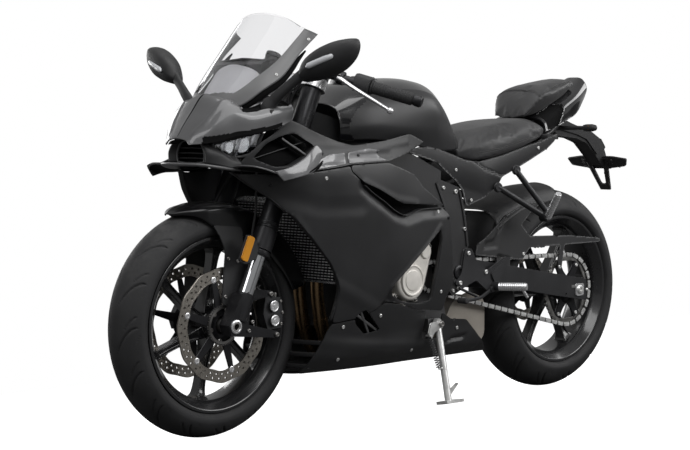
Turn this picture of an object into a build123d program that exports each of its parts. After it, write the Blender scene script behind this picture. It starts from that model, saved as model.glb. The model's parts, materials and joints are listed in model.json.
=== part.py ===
"""Sport motorcycle with full fairing, parked leaning to the left on its side stand.

Every piece is built upright, in millimetres: +X forward, +Y to the rider's left, +Z up, with the
ground at z = 0 and the origin midway between the axles of the standard wheelbase.  At the end the whole machine is leaned over
its tyres onto the side stand and moved so that the origin lies on the ground under its box's centre.
"""

from build123d import *
from math import cos, radians, sin
import os

# ---------------------------------------------------------------- driving dimensions
WHEELBASE = 1390
FRONT_REACH = 695        # front axle ahead of the origin
LEAN = 10                # parked lean, degrees to the left
RAKE = 23.5              # steering axis from the vertical, degrees

RIM_SEAT = 215.9         # 17 inch bead seat radius
RIM_LIP = 229.4          # flange outer radius
FRONT_TYRE_RADIUS = 298
FRONT_TYRE_WIDTH = 122
FRONT_RIM_HALF = 56
REAR_TYRE_RADIUS = 310
REAR_TYRE_WIDTH = 160
REAR_RIM_HALF = 70
SPOKES = 6
AXLE_RADIUS = 12.5
AXLE_BORE = 8            # hollow front axle
SPOOL_HOLE = (43, 300, 3.4, 14)      # stand spool thread in the swingarm: ahead of the axle, z, radius, depth
RUNNING_FIT = 0.05       # radial play of turning fits
REST_GAP = 0.3           # play between pieces that rest near each other

DISC_RADIUS = 150
DISC_THICKNESS = 5
DISC_Y = 68              # middle of a front disc from the centre plane
REAR_DISC_RADIUS = 110
CHAIN_Y = 95
SPROCKET_RADIUS = 108.8  # pitch radius
FRONT_SPROCKET = (-60, 385, 40.7)   # x, z, pitch radius
CHAIN_HEIGHT = 17
CHAIN_WIDTH = 15

FORK_Y = 103
FORK_LEAD = 14           # axle ahead of the fork legs
CLAMP_OFFSET = 24        # fork legs ahead of the steering axis
FORK_OUTER = 27
FORK_INNER = 20.5
FORK_TOP = 738           # lengths up the fork leg from the axle
STANCHION_END = 92
OUTER_TUBE_END = 243
LOWER_CLAMP = (450, 485)
UPPER_CLAMP = (672, 700)
CLIP_ON = (705, 733)
STEM_RADIUS = 14
HEAD_TUBE_RADIUS = 29
BAR_RADIUS = 11
GRIP_RADIUS = 17

WALL = 5                 # body panel thickness
PIVOT = (-130, 396)      # swingarm pivot x, z
SWINGARM_Y = 117
STAND_PIVOT = (-18, 168, 258)
STAND_FOOT = (-10, 221)  # middle of the foot on the ground, x and y
STAND_TUCK = 0.193       # forward tilt of the stand's axis, so that it folds in beside the belly
STAND_PIN = 5
TYRE_SINK = 1.15         # drop of the leaned tyres below the upright ground line
PEG_RADIUS = 11

front_axle_x, rear_axle_x = FRONT_REACH, FRONT_REACH - WHEELBASE
front_axle_z, rear_axle_z = FRONT_TYRE_RADIUS, REAR_TYRE_RADIUS
STAND_AXIS = Vector(-STAND_TUCK, 1, 0).normalized()
rake = radians(RAKE)
STEER_UP = Vector(-sin(rake), 0, cos(rake))
STEER_FORWARD = Vector(cos(rake), 0, sin(rake))
FRONT_AXLE = Vector(front_axle_x, 0, front_axle_z)
FORK_FOOT = FRONT_AXLE - STEER_FORWARD * FORK_LEAD
STEER_FOOT = FORK_FOOT - STEER_FORWARD * CLAMP_OFFSET

pieces = {}


# ---------------------------------------------------------------- shared shapes
def side_plane(y):
    """Sketch plane parallel to the bike's side: local x is X, local y is Z, extruding towards -Y."""
    return Plane.XZ.offset(-y)


def plate(outline, y_outer, y_inner, round_off=0, window=None):
    """Flat plate with a side-view outline between two Y values, y_outer the larger."""
    with BuildPart() as slab:
        with BuildSketch(side_plane(y_outer)) as face:
            with BuildLine():
                Polyline(*outline, close=True)
            make_face()
            if round_off:
                fillet(face.vertices(), round_off)
            if window:
                with BuildLine():
                    Polyline(*window, close=True)
                make_face(mode=Mode.SUBTRACT)
        extrude(amount=y_outer - y_inner)
    return slab.part


def limb(stations, across=Plane.YZ):
    """Ruled loft through rectangles; station = (x, y, z, width, height), standing across X or Z."""
    with BuildPart() as beam:
        for x, y, z, width, height in stations:
            normal, local_x = (across.z_dir, across.x_dir)
            with BuildSketch(Plane(origin=(x, y, z), x_dir=local_x, z_dir=normal)):
                Rectangle(width, height)
        loft(ruled=True)
    return beam.part


def rod(start, end, radius):
    """Round bar between two points."""
    start, end = Vector(*start), Vector(*end)
    with BuildPart() as bar:
        with BuildSketch(Plane(origin=start, z_dir=end - start)):
            Circle(radius)
        extrude(amount=(end - start).length)
    return bar.part


def tube(points, radius, bend):
    """Bent round tube: straight runs joined by arcs of one bend radius."""
    with BuildPart() as pipe:
        with BuildLine() as path:
            FilletPolyline(*points, radius=bend)
        with BuildSketch(Plane(origin=path.line @ 0, z_dir=path.line % 0)):
            Circle(radius)
        sweep()
    return pipe.part


def inward(outline, wall):
    """Outline points moved inwards by the wall, square to the two runs beside each point."""
    moved = []
    for index, (y, z) in enumerate(outline):
        before = outline[max(index - 1, 0)]
        after = outline[min(index + 1, len(outline) - 1)]
        turn = []
        for (y0, z0), (y1, z1) in ((before, (y, z)), ((y, z), after)):
            length = ((y1 - y0) ** 2 + (z1 - z0) ** 2) ** 0.5
            if length:
                turn.append(((z1 - z0) / length, -(y1 - y0) / length))
        ny, nz = sum(t[0] for t in turn), sum(t[1] for t in turn)
        scale = wall * len(turn) / (ny ** 2 + nz ** 2)
        moved.append((y + ny * scale, z + nz * scale))
    return moved


def panel(stations, wall=WALL):
    """Ruled thin panel through open YZ outlines; station = (x, [(y, z), ...]) with the inner side
    on the right hand of the outline's direction."""
    rings = [[(x, y, z) for y, z in outline + inward(outline, wall)[::-1]] for x, outline in stations]
    with BuildPart() as skin:
        loft([Face(Wire.make_polygon(ring)) for ring in rings], ruled=True)
    return skin.part


def over(half):
    """Whole outline over the top, from a left half listed from the centre outwards."""
    return [(-y, z) for y, z in reversed(half[1:])] + half


def under(half):
    """Whole outline round the bottom, from a left half listed from its top edge to the centre."""
    return half + [(-y, z) for y, z in reversed(half[:-1])]


def largest(part):
    """The biggest solid of a trimmed part, without the crumbs that trimming leaves."""
    return part.solids().sort_by(SortBy.VOLUME)[-1]


def mirrored(left_part):
    """The same piece for the right side."""
    with BuildPart() as right:
        mirror(left_part, about=Plane.XZ)
    return right.part


def steer_plane(along, foot=FORK_FOOT):
    """Plane across the steering axis at a length up the fork: local x forward, local y left."""
    return Plane(origin=foot + STEER_UP * along, x_dir=STEER_FORWARD, z_dir=STEER_UP)


def fork_point(along, ahead=0, y=0):
    """Point given along the fork leg, ahead of it and across the bike."""
    point = FORK_FOOT + STEER_UP * along + STEER_FORWARD * ahead
    return (point.X, y, point.Z)


# ---------------------------------------------------------------- wheels
def tyre(axle_x, axle_z, radius, width, rim_half):
    """Tyre ring: beads on the rim seats, round crown, hollow inside."""
    bead, half = rim_half - 6, width / 2
    shoulder = radius - 0.70 * half
    with BuildPart() as ring:
        with BuildSketch(Plane.YZ.offset(axle_x)):
            with BuildLine():
                Line((bead, axle_z + RIM_SEAT), (bead, axle_z + RIM_LIP))
                ThreePointArc((bead, axle_z + RIM_LIP), (half - 1, axle_z + shoulder - 14), (half, axle_z + shoulder))
                ThreePointArc((half, axle_z + shoulder), (0, axle_z + radius), (-half, axle_z + shoulder))
                ThreePointArc((-half, axle_z + shoulder), (1 - half, axle_z + shoulder - 14), (-bead, axle_z + RIM_LIP))
                Line((-bead, axle_z + RIM_LIP), (-bead, axle_z + RIM_SEAT))
                Line((-bead, axle_z + RIM_SEAT), (12 - bead, axle_z + RIM_SEAT))
                Line((12 - bead, axle_z + RIM_SEAT), (12 - half, axle_z + shoulder - 4))
                ThreePointArc((12 - half, axle_z + shoulder - 4), (0, axle_z + radius - 12), (half - 12, axle_z + shoulder - 4))
                Line((half - 12, axle_z + shoulder - 4), (bead - 12, axle_z + RIM_SEAT))
                Line((bead - 12, axle_z + RIM_SEAT), (bead, axle_z + RIM_SEAT))
            make_face()
        revolve(axis=Axis((axle_x, 0, axle_z), (0, 1, 0)))
    return ring.part


SPOKE = [(20, -26), (200, -12), (200, 12), (20, 4)]   # outline pointing along X from the axle
SPOKE_HALF = 15


def turned(outline, angle, x, z):
    """Side-view outline turned about the origin, then moved to x, z."""
    c, s = cos(radians(angle)), sin(radians(angle))
    return [(x + c * u - s * v, z + s * u + c * v) for u, v in outline]


def rim(axle_x, axle_z, rim_half, hub_half, first_spoke):
    """Cast wheel: barrel with flanges, six swept spokes and a hub bored for the axle."""
    profile = [(rim_half, RIM_LIP), (rim_half - 6, RIM_LIP), (rim_half - 6, RIM_SEAT), (rim_half - 22, RIM_SEAT),
               (rim_half - 30, 204), (30 - rim_half, 204), (22 - rim_half, RIM_SEAT), (6 - rim_half, RIM_SEAT),
               (6 - rim_half, RIM_LIP), (-rim_half, RIM_LIP), (-rim_half, 221), (16 - rim_half, 207),
               (26 - rim_half, 197), (rim_half - 26, 197), (rim_half - 16, 207), (rim_half, 221)]
    with BuildPart() as wheel:
        with BuildSketch(Plane.YZ.offset(axle_x)):
            with BuildLine():
                Polyline(*[(y, axle_z + r) for y, r in profile], close=True)
            make_face()
        revolve(axis=Axis((axle_x, 0, axle_z), (0, 1, 0)))
        with BuildSketch(side_plane(hub_half)):
            with Locations((axle_x, axle_z)):
                Circle(34)
        extrude(amount=2 * hub_half)
        for spoke in range(SPOKES):
            turn = first_spoke + spoke * 360 / SPOKES
            add(plate(turned(SPOKE, turn, axle_x, axle_z), SPOKE_HALF, -SPOKE_HALF))
        with BuildSketch(side_plane(hub_half)):
            with Locations((axle_x, axle_z)):
                Circle(AXLE_RADIUS + RUNNING_FIT)
        extrude(amount=2 * hub_half, mode=Mode.SUBTRACT)
    return wheel.part


def brake_disc(axle_x, axle_z, radius, y_mid, hub_face, side):
    """Disc ring on a six-armed carrier, bolted to the hub face; side is 1 left, -1 right."""
    outer = side * y_mid + DISC_THICKNESS / 2
    back = side * (y_mid + DISC_THICKNESS / 2)
    with BuildPart() as disc:
        with BuildSketch(side_plane(outer)):
            with Locations((axle_x, axle_z)):
                Circle(radius)
                Circle(radius - 33, mode=Mode.SUBTRACT)
                Circle(50)
                with PolarLocations((radius - 18 + 36) / 2, SPOKES, start_angle=15):
                    Rectangle(radius - 18 - 36, 18)
                Circle(22, mode=Mode.SUBTRACT)
        extrude(amount=DISC_THICKNESS)
        with BuildSketch(side_plane(max(back, side * hub_face))):
            with Locations((axle_x, axle_z)):
                Circle(34)
                Circle(22, mode=Mode.SUBTRACT)
        extrude(amount=abs(back - side * hub_face))
    return disc.part


HUB_HALF = 50
pieces["front_tyre"] = tyre(front_axle_x, front_axle_z, FRONT_TYRE_RADIUS, FRONT_TYRE_WIDTH, FRONT_RIM_HALF)
pieces["front_rim"] = rim(front_axle_x, front_axle_z, FRONT_RIM_HALF, HUB_HALF, 38)
pieces["front_disc_left"] = brake_disc(front_axle_x, front_axle_z, DISC_RADIUS, DISC_Y, HUB_HALF, 1)
pieces["front_disc_right"] = brake_disc(front_axle_x, front_axle_z, DISC_RADIUS, DISC_Y, HUB_HALF, -1)
pieces["rear_tyre"] = tyre(rear_axle_x, rear_axle_z, REAR_TYRE_RADIUS, REAR_TYRE_WIDTH, REAR_RIM_HALF)
pieces["rear_rim"] = rim(rear_axle_x, rear_axle_z, REAR_RIM_HALF, HUB_HALF + 10, 57)
pieces["rear_disc"] = brake_disc(rear_axle_x, rear_axle_z, REAR_DISC_RADIUS, 72, HUB_HALF + 10, -1)

with BuildPart() as rear_sprocket:
    with BuildSketch(side_plane(CHAIN_Y + 3.5)):
        with Locations((rear_axle_x, rear_axle_z)):
            Circle(SPROCKET_RADIUS - CHAIN_HEIGHT / 2 - REST_GAP)
            Circle(22, mode=Mode.SUBTRACT)
            with PolarLocations(64, 6):
                Circle(17, mode=Mode.SUBTRACT)
    extrude(amount=7)
    with BuildSketch(side_plane(CHAIN_Y - 3.5)):
        with Locations((rear_axle_x, rear_axle_z)):
            Circle(42)
            Circle(22, mode=Mode.SUBTRACT)
    extrude(amount=CHAIN_Y - 3.5 - HUB_HALF - 10)
pieces["rear_sprocket"] = rear_sprocket.part


# ---------------------------------------------------------------- steering
FOOT_OUTER, FOOT_INNER = FORK_Y + 19, FORK_Y - 19
BLADE_OUTER = 78.6          # outer face of the fender's side blades
CALIPER = (front_axle_x - 142, front_axle_z + 24)   # middle of the front caliper, x and z


def fork_leg():
    """Left fork leg: upper outer tube with collar, bright stanchion, casting with axle clamp."""
    foot = side_foot_outline()
    with BuildPart() as leg:
        for radius, low, high in (
            (FORK_INNER, STANCHION_END, OUTER_TUBE_END),
            (FORK_OUTER + 3, OUTER_TUBE_END - 28, OUTER_TUBE_END + 27),
            (FORK_OUTER, OUTER_TUBE_END, FORK_TOP),
            (24, 20, STANCHION_END),
        ):
            with BuildSketch(steer_plane(low)):
                with Locations((0, FORK_Y)):
                    Circle(radius)
            extrude(amount=high - low)
        add(plate(foot, FOOT_OUTER, FOOT_INNER))
        boss_x, boss_z = front_axle_x - 34, front_axle_z + 70
        add(rod((boss_x, FOOT_INNER + 4, boss_z), (boss_x, BLADE_OUTER + REST_GAP, boss_z), 8))
        with BuildSketch(side_plane(FOOT_OUTER)):
            with Locations((front_axle_x, front_axle_z)):
                Circle(AXLE_RADIUS + REST_GAP)
        extrude(amount=FOOT_OUTER - FOOT_INNER, mode=Mode.SUBTRACT)
    return leg.part


def side_foot_outline():
    """Side view of the fork's foot with the two arms that carry the caliper."""
    a = Vector(front_axle_x, 0, front_axle_z)
    corners = [(a.X + 24, a.Z + 4), (a.X + 14, a.Z - 24), (a.X - 14, a.Z - 26), (CALIPER[0] + 10, CALIPER[1] - 62),
               (CALIPER[0] - 4, CALIPER[1] - 46), (a.X - 44, a.Z + 2), (a.X - 52, a.Z + 62),
               (CALIPER[0] + 22, CALIPER[1] + 48), (CALIPER[0] + 22, CALIPER[1] + 62), (a.X - 56, a.Z + 92),
               (a.X - 20, a.Z + 80)]
    return corners


def front_caliper():
    """Left radial caliper: one block slotted for the disc, with two piston caps."""
    x, z = CALIPER
    body = [(x - 30, z + 40), (x + 22, z + 46), (x + 30, z), (x + 14, z - 44), (x - 34, z - 40), (x - 40, z)]
    disc_outer, disc_inner = DISC_Y + DISC_THICKNESS / 2, DISC_Y - DISC_THICKNESS / 2
    with BuildPart() as caliper:
        add(plate(body, FOOT_OUTER - 20, disc_inner - 12))
        with BuildSketch(side_plane(disc_outer + 2)):
            with Locations((front_axle_x, front_axle_z)):
                Circle(DISC_RADIUS + 3)
        extrude(amount=DISC_THICKNESS + 4, mode=Mode.SUBTRACT)
        with BuildSketch(side_plane(FOOT_OUTER - 20)):
            with Locations((x - 2, z + 19), (x - 5, z - 19)):
                Circle(15)
        extrude(amount=-7)
        add(plate(side_foot_outline(), FOOT_OUTER, FOOT_INNER), mode=Mode.SUBTRACT)
    return caliper.part


fork_left = fork_leg()
caliper_left = front_caliper()
pieces["fork_left"], pieces["fork_right"] = fork_left, mirrored(fork_left)
pieces["front_caliper_left"], pieces["front_caliper_right"] = caliper_left, mirrored(caliper_left)

with BuildPart() as front_axle:
    with BuildSketch(side_plane(FOOT_OUTER + 4)):
        with Locations((front_axle_x, front_axle_z)):
            Circle(AXLE_RADIUS)
    extrude(amount=2 * FOOT_OUTER + 8)
    for y_outer, y_inner in ((FOOT_INNER - REST_GAP, HUB_HALF + REST_GAP), (-HUB_HALF - REST_GAP, REST_GAP - FOOT_INNER)):
        with BuildSketch(side_plane(y_outer)):
            with Locations((front_axle_x, front_axle_z)):
                Circle(19)
        extrude(amount=y_outer - y_inner)
    with BuildSketch(side_plane(FOOT_OUTER + 4)):
        with Locations((front_axle_x, front_axle_z)):
            Circle(AXLE_BORE)
    extrude(amount=2 * FOOT_OUTER + 8, mode=Mode.SUBTRACT)
pieces["front_axle"] = front_axle.part

with BuildPart() as triple_clamp:
    for (low, high), reach in ((LOWER_CLAMP, 38), (UPPER_CLAMP, 34)):
        with BuildSketch(steer_plane(low)) as clamp:
            with Locations((0, FORK_Y), (0, -FORK_Y)):
                Circle(FORK_OUTER + 9)
            with Locations((-CLAMP_OFFSET, 0)):
                Circle(reach)
            make_hull()
            with Locations((0, FORK_Y), (0, -FORK_Y)):
                Circle(FORK_OUTER, mode=Mode.SUBTRACT)
        extrude(amount=high - low)
    with BuildSketch(steer_plane(LOWER_CLAMP[0])):
        with Locations((-CLAMP_OFFSET, 0)):
            Circle(STEM_RADIUS)
    extrude(amount=UPPER_CLAMP[1] - LOWER_CLAMP[0] + 12)
pieces["triple_clamp"] = triple_clamp.part

BAR_ROOT = fork_point((CLIP_ON[0] + CLIP_ON[1]) / 2, 0, FORK_Y + FORK_OUTER)
BAR_END = (273, 345, 881)
bar_root, bar_end = Vector(*BAR_ROOT), Vector(*BAR_END)
bar_way = (bar_end - bar_root).normalized()
GRIP_LENGTH = 122
SWITCH_LENGTH = 46


def handlebar():
    """Left clip-on: split clamp on the fork tube, bar, switch housing, grip and bar-end weight."""
    length = (bar_end - bar_root).length
    with BuildPart() as bar:
        with BuildSketch(steer_plane(CLIP_ON[0])):
            with Locations((0, FORK_Y)):
                Circle(FORK_OUTER + 8)
        extrude(amount=CLIP_ON[1] - CLIP_ON[0])
        add(rod(bar_root - bar_way * 6, bar_end, BAR_RADIUS))
        for radius, start, stop in (
            (GRIP_RADIUS, length - GRIP_LENGTH, length - 4),
            (GRIP_RADIUS + 6, length - GRIP_LENGTH - SWITCH_LENGTH, length - GRIP_LENGTH - 2),
            (GRIP_RADIUS - 1, length - 4, length + 20),
        ):
            add(rod(bar_root + bar_way * start, bar_root + bar_way * stop, radius))
        with BuildSketch(steer_plane(CLIP_ON[0])):
            with Locations((0, FORK_Y)):
                Circle(FORK_OUTER)
        extrude(amount=CLIP_ON[1] - CLIP_ON[0], mode=Mode.SUBTRACT)
    return bar.part


LEVER_PERCH = 48         # from the bar's root to the lever perch
LEVER_STATIONS = [       # along the bar, ahead of it, below it, width, height
    (50, 34, 0, 16, 14), (84, 44, 8, 12, 11), (130, 54, 20, 11, 10), (180, 59, 33, 10, 9), (216, 60, 42, 9, 9)]


def bar_frame(along):
    """Plane across the bar: local x ahead, local y down."""
    ahead = Vector(0, 0, 1).cross(bar_way).normalized() * -1
    return Plane(origin=bar_root + bar_way * along, x_dir=ahead, z_dir=bar_way)


def lever():
    """Left hand lever: perch ring round the bar, blade and ball end."""
    with BuildPart() as hand_lever:
        with BuildSketch(bar_frame(LEVER_PERCH - 9)):
            Circle(BAR_RADIUS + 7)
            with Locations((26, 0)):
                Rectangle(34, 16)
            Circle(BAR_RADIUS + REST_GAP, mode=Mode.SUBTRACT)
        extrude(amount=18)
        for along, ahead, below, width, height in LEVER_STATIONS:
            with BuildSketch(bar_frame(along)):
                with Locations((ahead, below)):
                    Rectangle(width, height)
        loft(ruled=True)
        along, ahead, below = LEVER_STATIONS[-1][:3]
        end = bar_frame(along).from_local_coords(Vector(ahead, below, 0))
        with Locations(end):
            Sphere(9)
    return hand_lever.part


handlebar_left = handlebar()
lever_left = lever()
pieces["handlebar_left"], pieces["handlebar_right"] = handlebar_left, mirrored(handlebar_left)
pieces["clutch_lever"] = lever_left

RESERVOIR = (347, -140, 972)
with BuildPart() as brake_lever:
    mirror(lever_left, about=Plane.XZ)
    perch = bar_frame(LEVER_PERCH).from_local_coords(Vector(0, -17, 0))
    foot = (perch.X, -perch.Y, perch.Z)
    add(rod(foot, RESERVOIR, 5))
    with BuildSketch(Plane(origin=RESERVOIR, z_dir=STEER_UP)):
        Circle(22)
    extrude(amount=44)
pieces["brake_lever"] = brake_lever.part

FENDER_GAP = 14
FENDER_WALL = 4
FENDER_HALF = 69
with BuildPart() as front_fender:
    inner = FRONT_TYRE_RADIUS + FENDER_GAP
    side = front_axle_z
    with BuildSketch(Plane.YZ.offset(front_axle_x)):
        with BuildLine():
            Polyline((FENDER_HALF, side + 236), (FENDER_HALF, side + inner - 34), (36, side + inner - 6), (0, side + inner),
                     (-36, side + inner - 6), (-FENDER_HALF, side + inner - 34), (-FENDER_HALF, side + 236),
                     (-FENDER_HALF - FENDER_WALL, side + 236), (-FENDER_HALF - FENDER_WALL, side + inner - 31),
                     (-38, side + inner - 2), (0, side + inner + FENDER_WALL), (38, side + inner - 2),
                     (FENDER_HALF + FENDER_WALL, side + inner - 31), (FENDER_HALF + FENDER_WALL, side + 236), close=True)
        make_face()
    revolve(axis=Axis((front_axle_x, 0, front_axle_z), (0, 1, 0)))
    keep = [(front_axle_x + 142, 580), (front_axle_x + 90, 640), (front_axle_x - 160, 640), (front_axle_x - 262, 520),
            (front_axle_x - 240, 470), (front_axle_x - 130, 500), (front_axle_x - 62, 480), (front_axle_x + 40, 560)]
    with BuildSketch(side_plane(200)):
        with BuildLine():
            Polyline(*keep, close=True)
        make_face()
    extrude(amount=400, mode=Mode.INTERSECT)
    blade = [(-68, 545), (-60, 492), (-80, 470), (-70, 400), (-40, 350), (10, 350), (6, 420), (-6, 490), (24, 556)]
    boss = [(-60, 545), (-50, 500), (-12, 500), (16, 550)]
    for outline, y_outer, y_inner in ((blade, BLADE_OUTER, BLADE_OUTER - 3), (boss, BLADE_OUTER, FENDER_HALF)):
        outline = [(front_axle_x + x, z) for x, z in outline]
        add(plate(outline, y_outer, y_inner))
        add(plate(outline, -y_inner, -y_outer))
pieces["front_fender"] = front_fender.part


# ---------------------------------------------------------------- frame and engine
SPAR = [   # x, y, z, width, height of the left spar from the head tube back
    (388, 30, 812, 20, 96), (330, 64, 792, 30, 96), (200, 118, 742, 34, 90), (60, 132, 690, 30, 84),
    (-50, 134, 640, 26, 96)]
PIVOT_PLATE = [(-30, 668), (-128, 640), (-150, 560), (-168, 470), (-186, 420), (-160, 352), (-104, 330),
               (-76, 360), (-92, 440), (-70, 540), (-30, 600)]
PIVOT_PLATE_Y = 128
HEAD = (LOWER_CLAMP[1] + 6, UPPER_CLAMP[0] - 6)

ENGINE = [(-128, 250), (-60, 205), (150, 200), (230, 250), (240, 380), (322, 500), (262, 640), (130, 650),
          (40, 500), (-60, 470), (-90, 400)]
ENGINE_HALF = 105
COVER_REACH = 53         # from the engine block to the outer face of the panel over the clutch cover

RADIATOR_FOOT = Vector(367, 0, 398)
RADIATOR_TOP = Vector(430, 0, 612)
with BuildPart() as radiator:
    rise = RADIATOR_TOP - RADIATOR_FOOT
    with BuildSketch(Plane(origin=RADIATOR_FOOT, x_dir=(0, 1, 0), z_dir=rise)):
        Rectangle(300, 34)
    extrude(amount=rise.length)
    for y in (-165, 165):
        with BuildSketch(Plane(origin=RADIATOR_FOOT + Vector(0, y, 0), x_dir=(0, 1, 0), z_dir=rise)):
            Rectangle(30, 28)
        extrude(amount=rise.length)
pieces["radiator"] = radiator.part

with BuildPart() as frame:
    add(limb(SPAR))
    add(plate(PIVOT_PLATE, PIVOT_PLATE_Y + 19, PIVOT_PLATE_Y))
    mirror(about=Plane.XZ)
    with BuildSketch(steer_plane(HEAD[0])):
        with Locations((-CLAMP_OFFSET, 0)):
            Circle(HEAD_TUBE_RADIUS)
    extrude(amount=HEAD[1] - HEAD[0])
    add(rod((-140, -130, 610), (-140, 130, 610), 12))
    for y_outer, y_inner in ((120, ENGINE_HALF), (-ENGINE_HALF, -120)):
        add(plate([(60, 600), (130, 600), (130, 700), (60, 700)], y_outer, y_inner))
    with BuildSketch(steer_plane(HEAD[0])):
        with Locations((-CLAMP_OFFSET, 0)):
            Circle(STEM_RADIUS + RUNNING_FIT)
    extrude(amount=HEAD[1] - HEAD[0], mode=Mode.SUBTRACT)
    for y in (-64, 64):
        add(rod((336, y, 760), (425, y, 600), 8))
    add(rod((460, 0, 797), (620, 0, 846), 10))
    add(rod((620, -176, 846), (620, 176, 846), 7))
    add(radiator.part, mode=Mode.SUBTRACT)
pieces["frame"] = frame.part

SPROCKET_POCKET = [(-140, 300), (0, 300), (0, 480), (-140, 480)]
with BuildPart() as engine_block:
    add(plate(ENGINE, ENGINE_HALF, -ENGINE_HALF))
    add(plate(SPROCKET_POCKET, ENGINE_HALF + 1, CHAIN_Y - CHAIN_WIDTH / 2 - 6), mode=Mode.SUBTRACT)
    add(plate([(-40, 238), (6, 238), (6, 272), (-40, 272)], 156, ENGINE_HALF - 1))
    add(rod(Vector(*STAND_PIVOT) - STAND_AXIS * 14, Vector(*STAND_PIVOT) + STAND_AXIS * 10, STAND_PIN))
pieces["engine_block"] = engine_block.part

with BuildPart() as engine_cover_left:
    with BuildSketch(side_plane(ENGINE_HALF + 62)):
        with Locations((78, 385)):
            Circle(62)
        with Locations((24, 462)):
            Circle(34)
        make_hull()
    extrude(amount=62)
    fillet(engine_cover_left.faces().sort_by(Axis.Y)[-1].edges(), 12)
pieces["engine_cover_left"] = engine_cover_left.part

with BuildPart() as clutch_cover_right:
    with BuildSketch(side_plane(-ENGINE_HALF)):
        with Locations((10, 350)):
            Circle(82)
        with Locations((100, 320)):
            Circle(52)
        make_hull()
    extrude(amount=COVER_REACH - WALL)
    fillet(clutch_cover_right.faces().sort_by(Axis.Y)[0].edges(), 12)
pieces["clutch_cover_right"] = clutch_cover_right.part

MUFFLER = [(-128, 196), (-96, 176), (-250, 168), (-352, 190), (-352, 300), (-262, 322), (-190, 300)]
with BuildPart() as exhaust:
    for y in (-36, 36):
        add(tube([(290, y, 560), (322, y, 480), (322, y, 330), (270, y, 192), (120, y, 178), (-60, y, 178), (-150, y, 210)],
                 19, 40))
    add(plate(MUFFLER, 78, -92))
    add(rod((-320, -70, 240), (-420, -118, 230), 26))
    add(engine_block.part, mode=Mode.SUBTRACT)
pieces["exhaust"] = exhaust.part


# ---------------------------------------------------------------- swingarm, chain and rear brake
with BuildPart() as swingarm:
    for side in (1, -1):
        y = side * SWINGARM_Y
        add(limb([(-104, y, PIVOT[1], 18, 44), (-200, y, 400, 22, 62), (-371, y, 368, 24, 66),
                  (rear_axle_x + 135, y, rear_axle_z + 28, 24, 66), (rear_axle_x - 57, y, rear_axle_z - 2, 24, 66)]))
    add(plate([(-205, 408), (-285, 402), (-285, 338), (-205, 346)], SWINGARM_Y, -SWINGARM_Y))
    with BuildSketch(side_plane(SWINGARM_Y + 12)):
        with Locations((rear_axle_x, rear_axle_z)):
            Circle(AXLE_RADIUS)
    extrude(amount=2 * SWINGARM_Y + 24)
    add(rod((PIVOT[0], -PIVOT_PLATE_Y, PIVOT[1]), (PIVOT[0], PIVOT_PLATE_Y, PIVOT[1]), 15))
    for y_mouth, inward_way in ((SWINGARM_Y + 12, 1), (-SWINGARM_Y - 12, -1)):
        with BuildSketch(side_plane(y_mouth)):
            with Locations((rear_axle_x + SPOOL_HOLE[0], SPOOL_HOLE[1])):
                Circle(SPOOL_HOLE[2])
        extrude(amount=inward_way * SPOOL_HOLE[3], mode=Mode.SUBTRACT)
pieces["swingarm"] = swingarm.part

with BuildPart() as chain:
    fx, fz, fr = FRONT_SPROCKET
    with BuildSketch(side_plane(CHAIN_Y + CHAIN_WIDTH / 2)) as loop:
        with Locations((rear_axle_x, rear_axle_z)):
            Circle(SPROCKET_RADIUS + CHAIN_HEIGHT / 2)
        with Locations((fx, fz)):
            Circle(fr + CHAIN_HEIGHT / 2)
        make_hull()
    extrude(amount=CHAIN_WIDTH)
    with BuildSketch(side_plane(CHAIN_Y + CHAIN_WIDTH / 2)):
        with Locations((rear_axle_x, rear_axle_z)):
            Circle(SPROCKET_RADIUS - CHAIN_HEIGHT / 2)
        with Locations((fx, fz)):
            Circle(fr - CHAIN_HEIGHT / 2)
        make_hull()
    extrude(amount=CHAIN_WIDTH, mode=Mode.SUBTRACT)
pieces["chain"] = chain.part


# ---------------------------------------------------------------- tank, seats and tail
TANK = [   # x, then the left half outline (y, z) from the top centre to the bottom centre
    (330, [(0, 872), (70, 868), (112, 850), (126, 806), (118, 772), (0, 772)]),
    (230, [(0, 925), (80, 914), (136, 880), (155, 822), (148, 776), (0, 776)]),
    (100, [(0, 944), (85, 934), (150, 886), (165, 815), (150, 765), (0, 765)]),
    (-20, [(0, 945), (80, 930), (140, 880), (150, 815), (140, 748), (0, 748)]),
    (-110, [(0, 919), (60, 902), (104, 850), (116, 800), (114, 744), (0, 744)]),
    (-186, [(0, 808), (50, 804), (78, 785), (88, 768), (88, 750), (0, 750)])]
TUNNEL_PLAY = 0.3         # between the frame spars and the tank over them
CAP = (150, 58)          # filler cap middle x, radius
CAP_RAISE = 9

with BuildPart() as fuel_tank:
    for x, half in TANK:
        with BuildSketch(Plane.YZ.offset(x)):
            with BuildLine():
                Polyline(*half, *[(-y, z) for y, z in reversed(half[1:-1])], close=True)
            make_face()
    loft(ruled=True)
    add(limb([(x, 0, (z + height / 2 + TUNNEL_PLAY + 700) / 2, 2 * (y + width / 2 + TUNNEL_PLAY),
               z + height / 2 + TUNNEL_PLAY - 700) for x, y, z, width, height in SPAR]), mode=Mode.SUBTRACT)
    with BuildSketch(Plane.XY.offset(1000)):
        with Locations((CAP[0], 0)):
            Circle(CAP[1] + REST_GAP)
    extrude(amount=-75, mode=Mode.SUBTRACT)
    with BuildSketch(Plane.XY.offset(925)):
        with Locations((CAP[0], 0)):
            Circle(CAP[1] - 14)
    extrude(amount=8)
pieces["fuel_tank"] = fuel_tank.part

with BuildPart() as fuel_cap:
    with BuildSketch(Plane.XY.offset(925 + 8 + REST_GAP)):
        with Locations((CAP[0], 0)):
            Circle(CAP[1] - 2)
    extrude(amount=16)
    fillet(fuel_cap.faces().sort_by(Axis.Z)[-1].edges(), 4)
pieces["fuel_cap"] = fuel_cap.part

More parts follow.
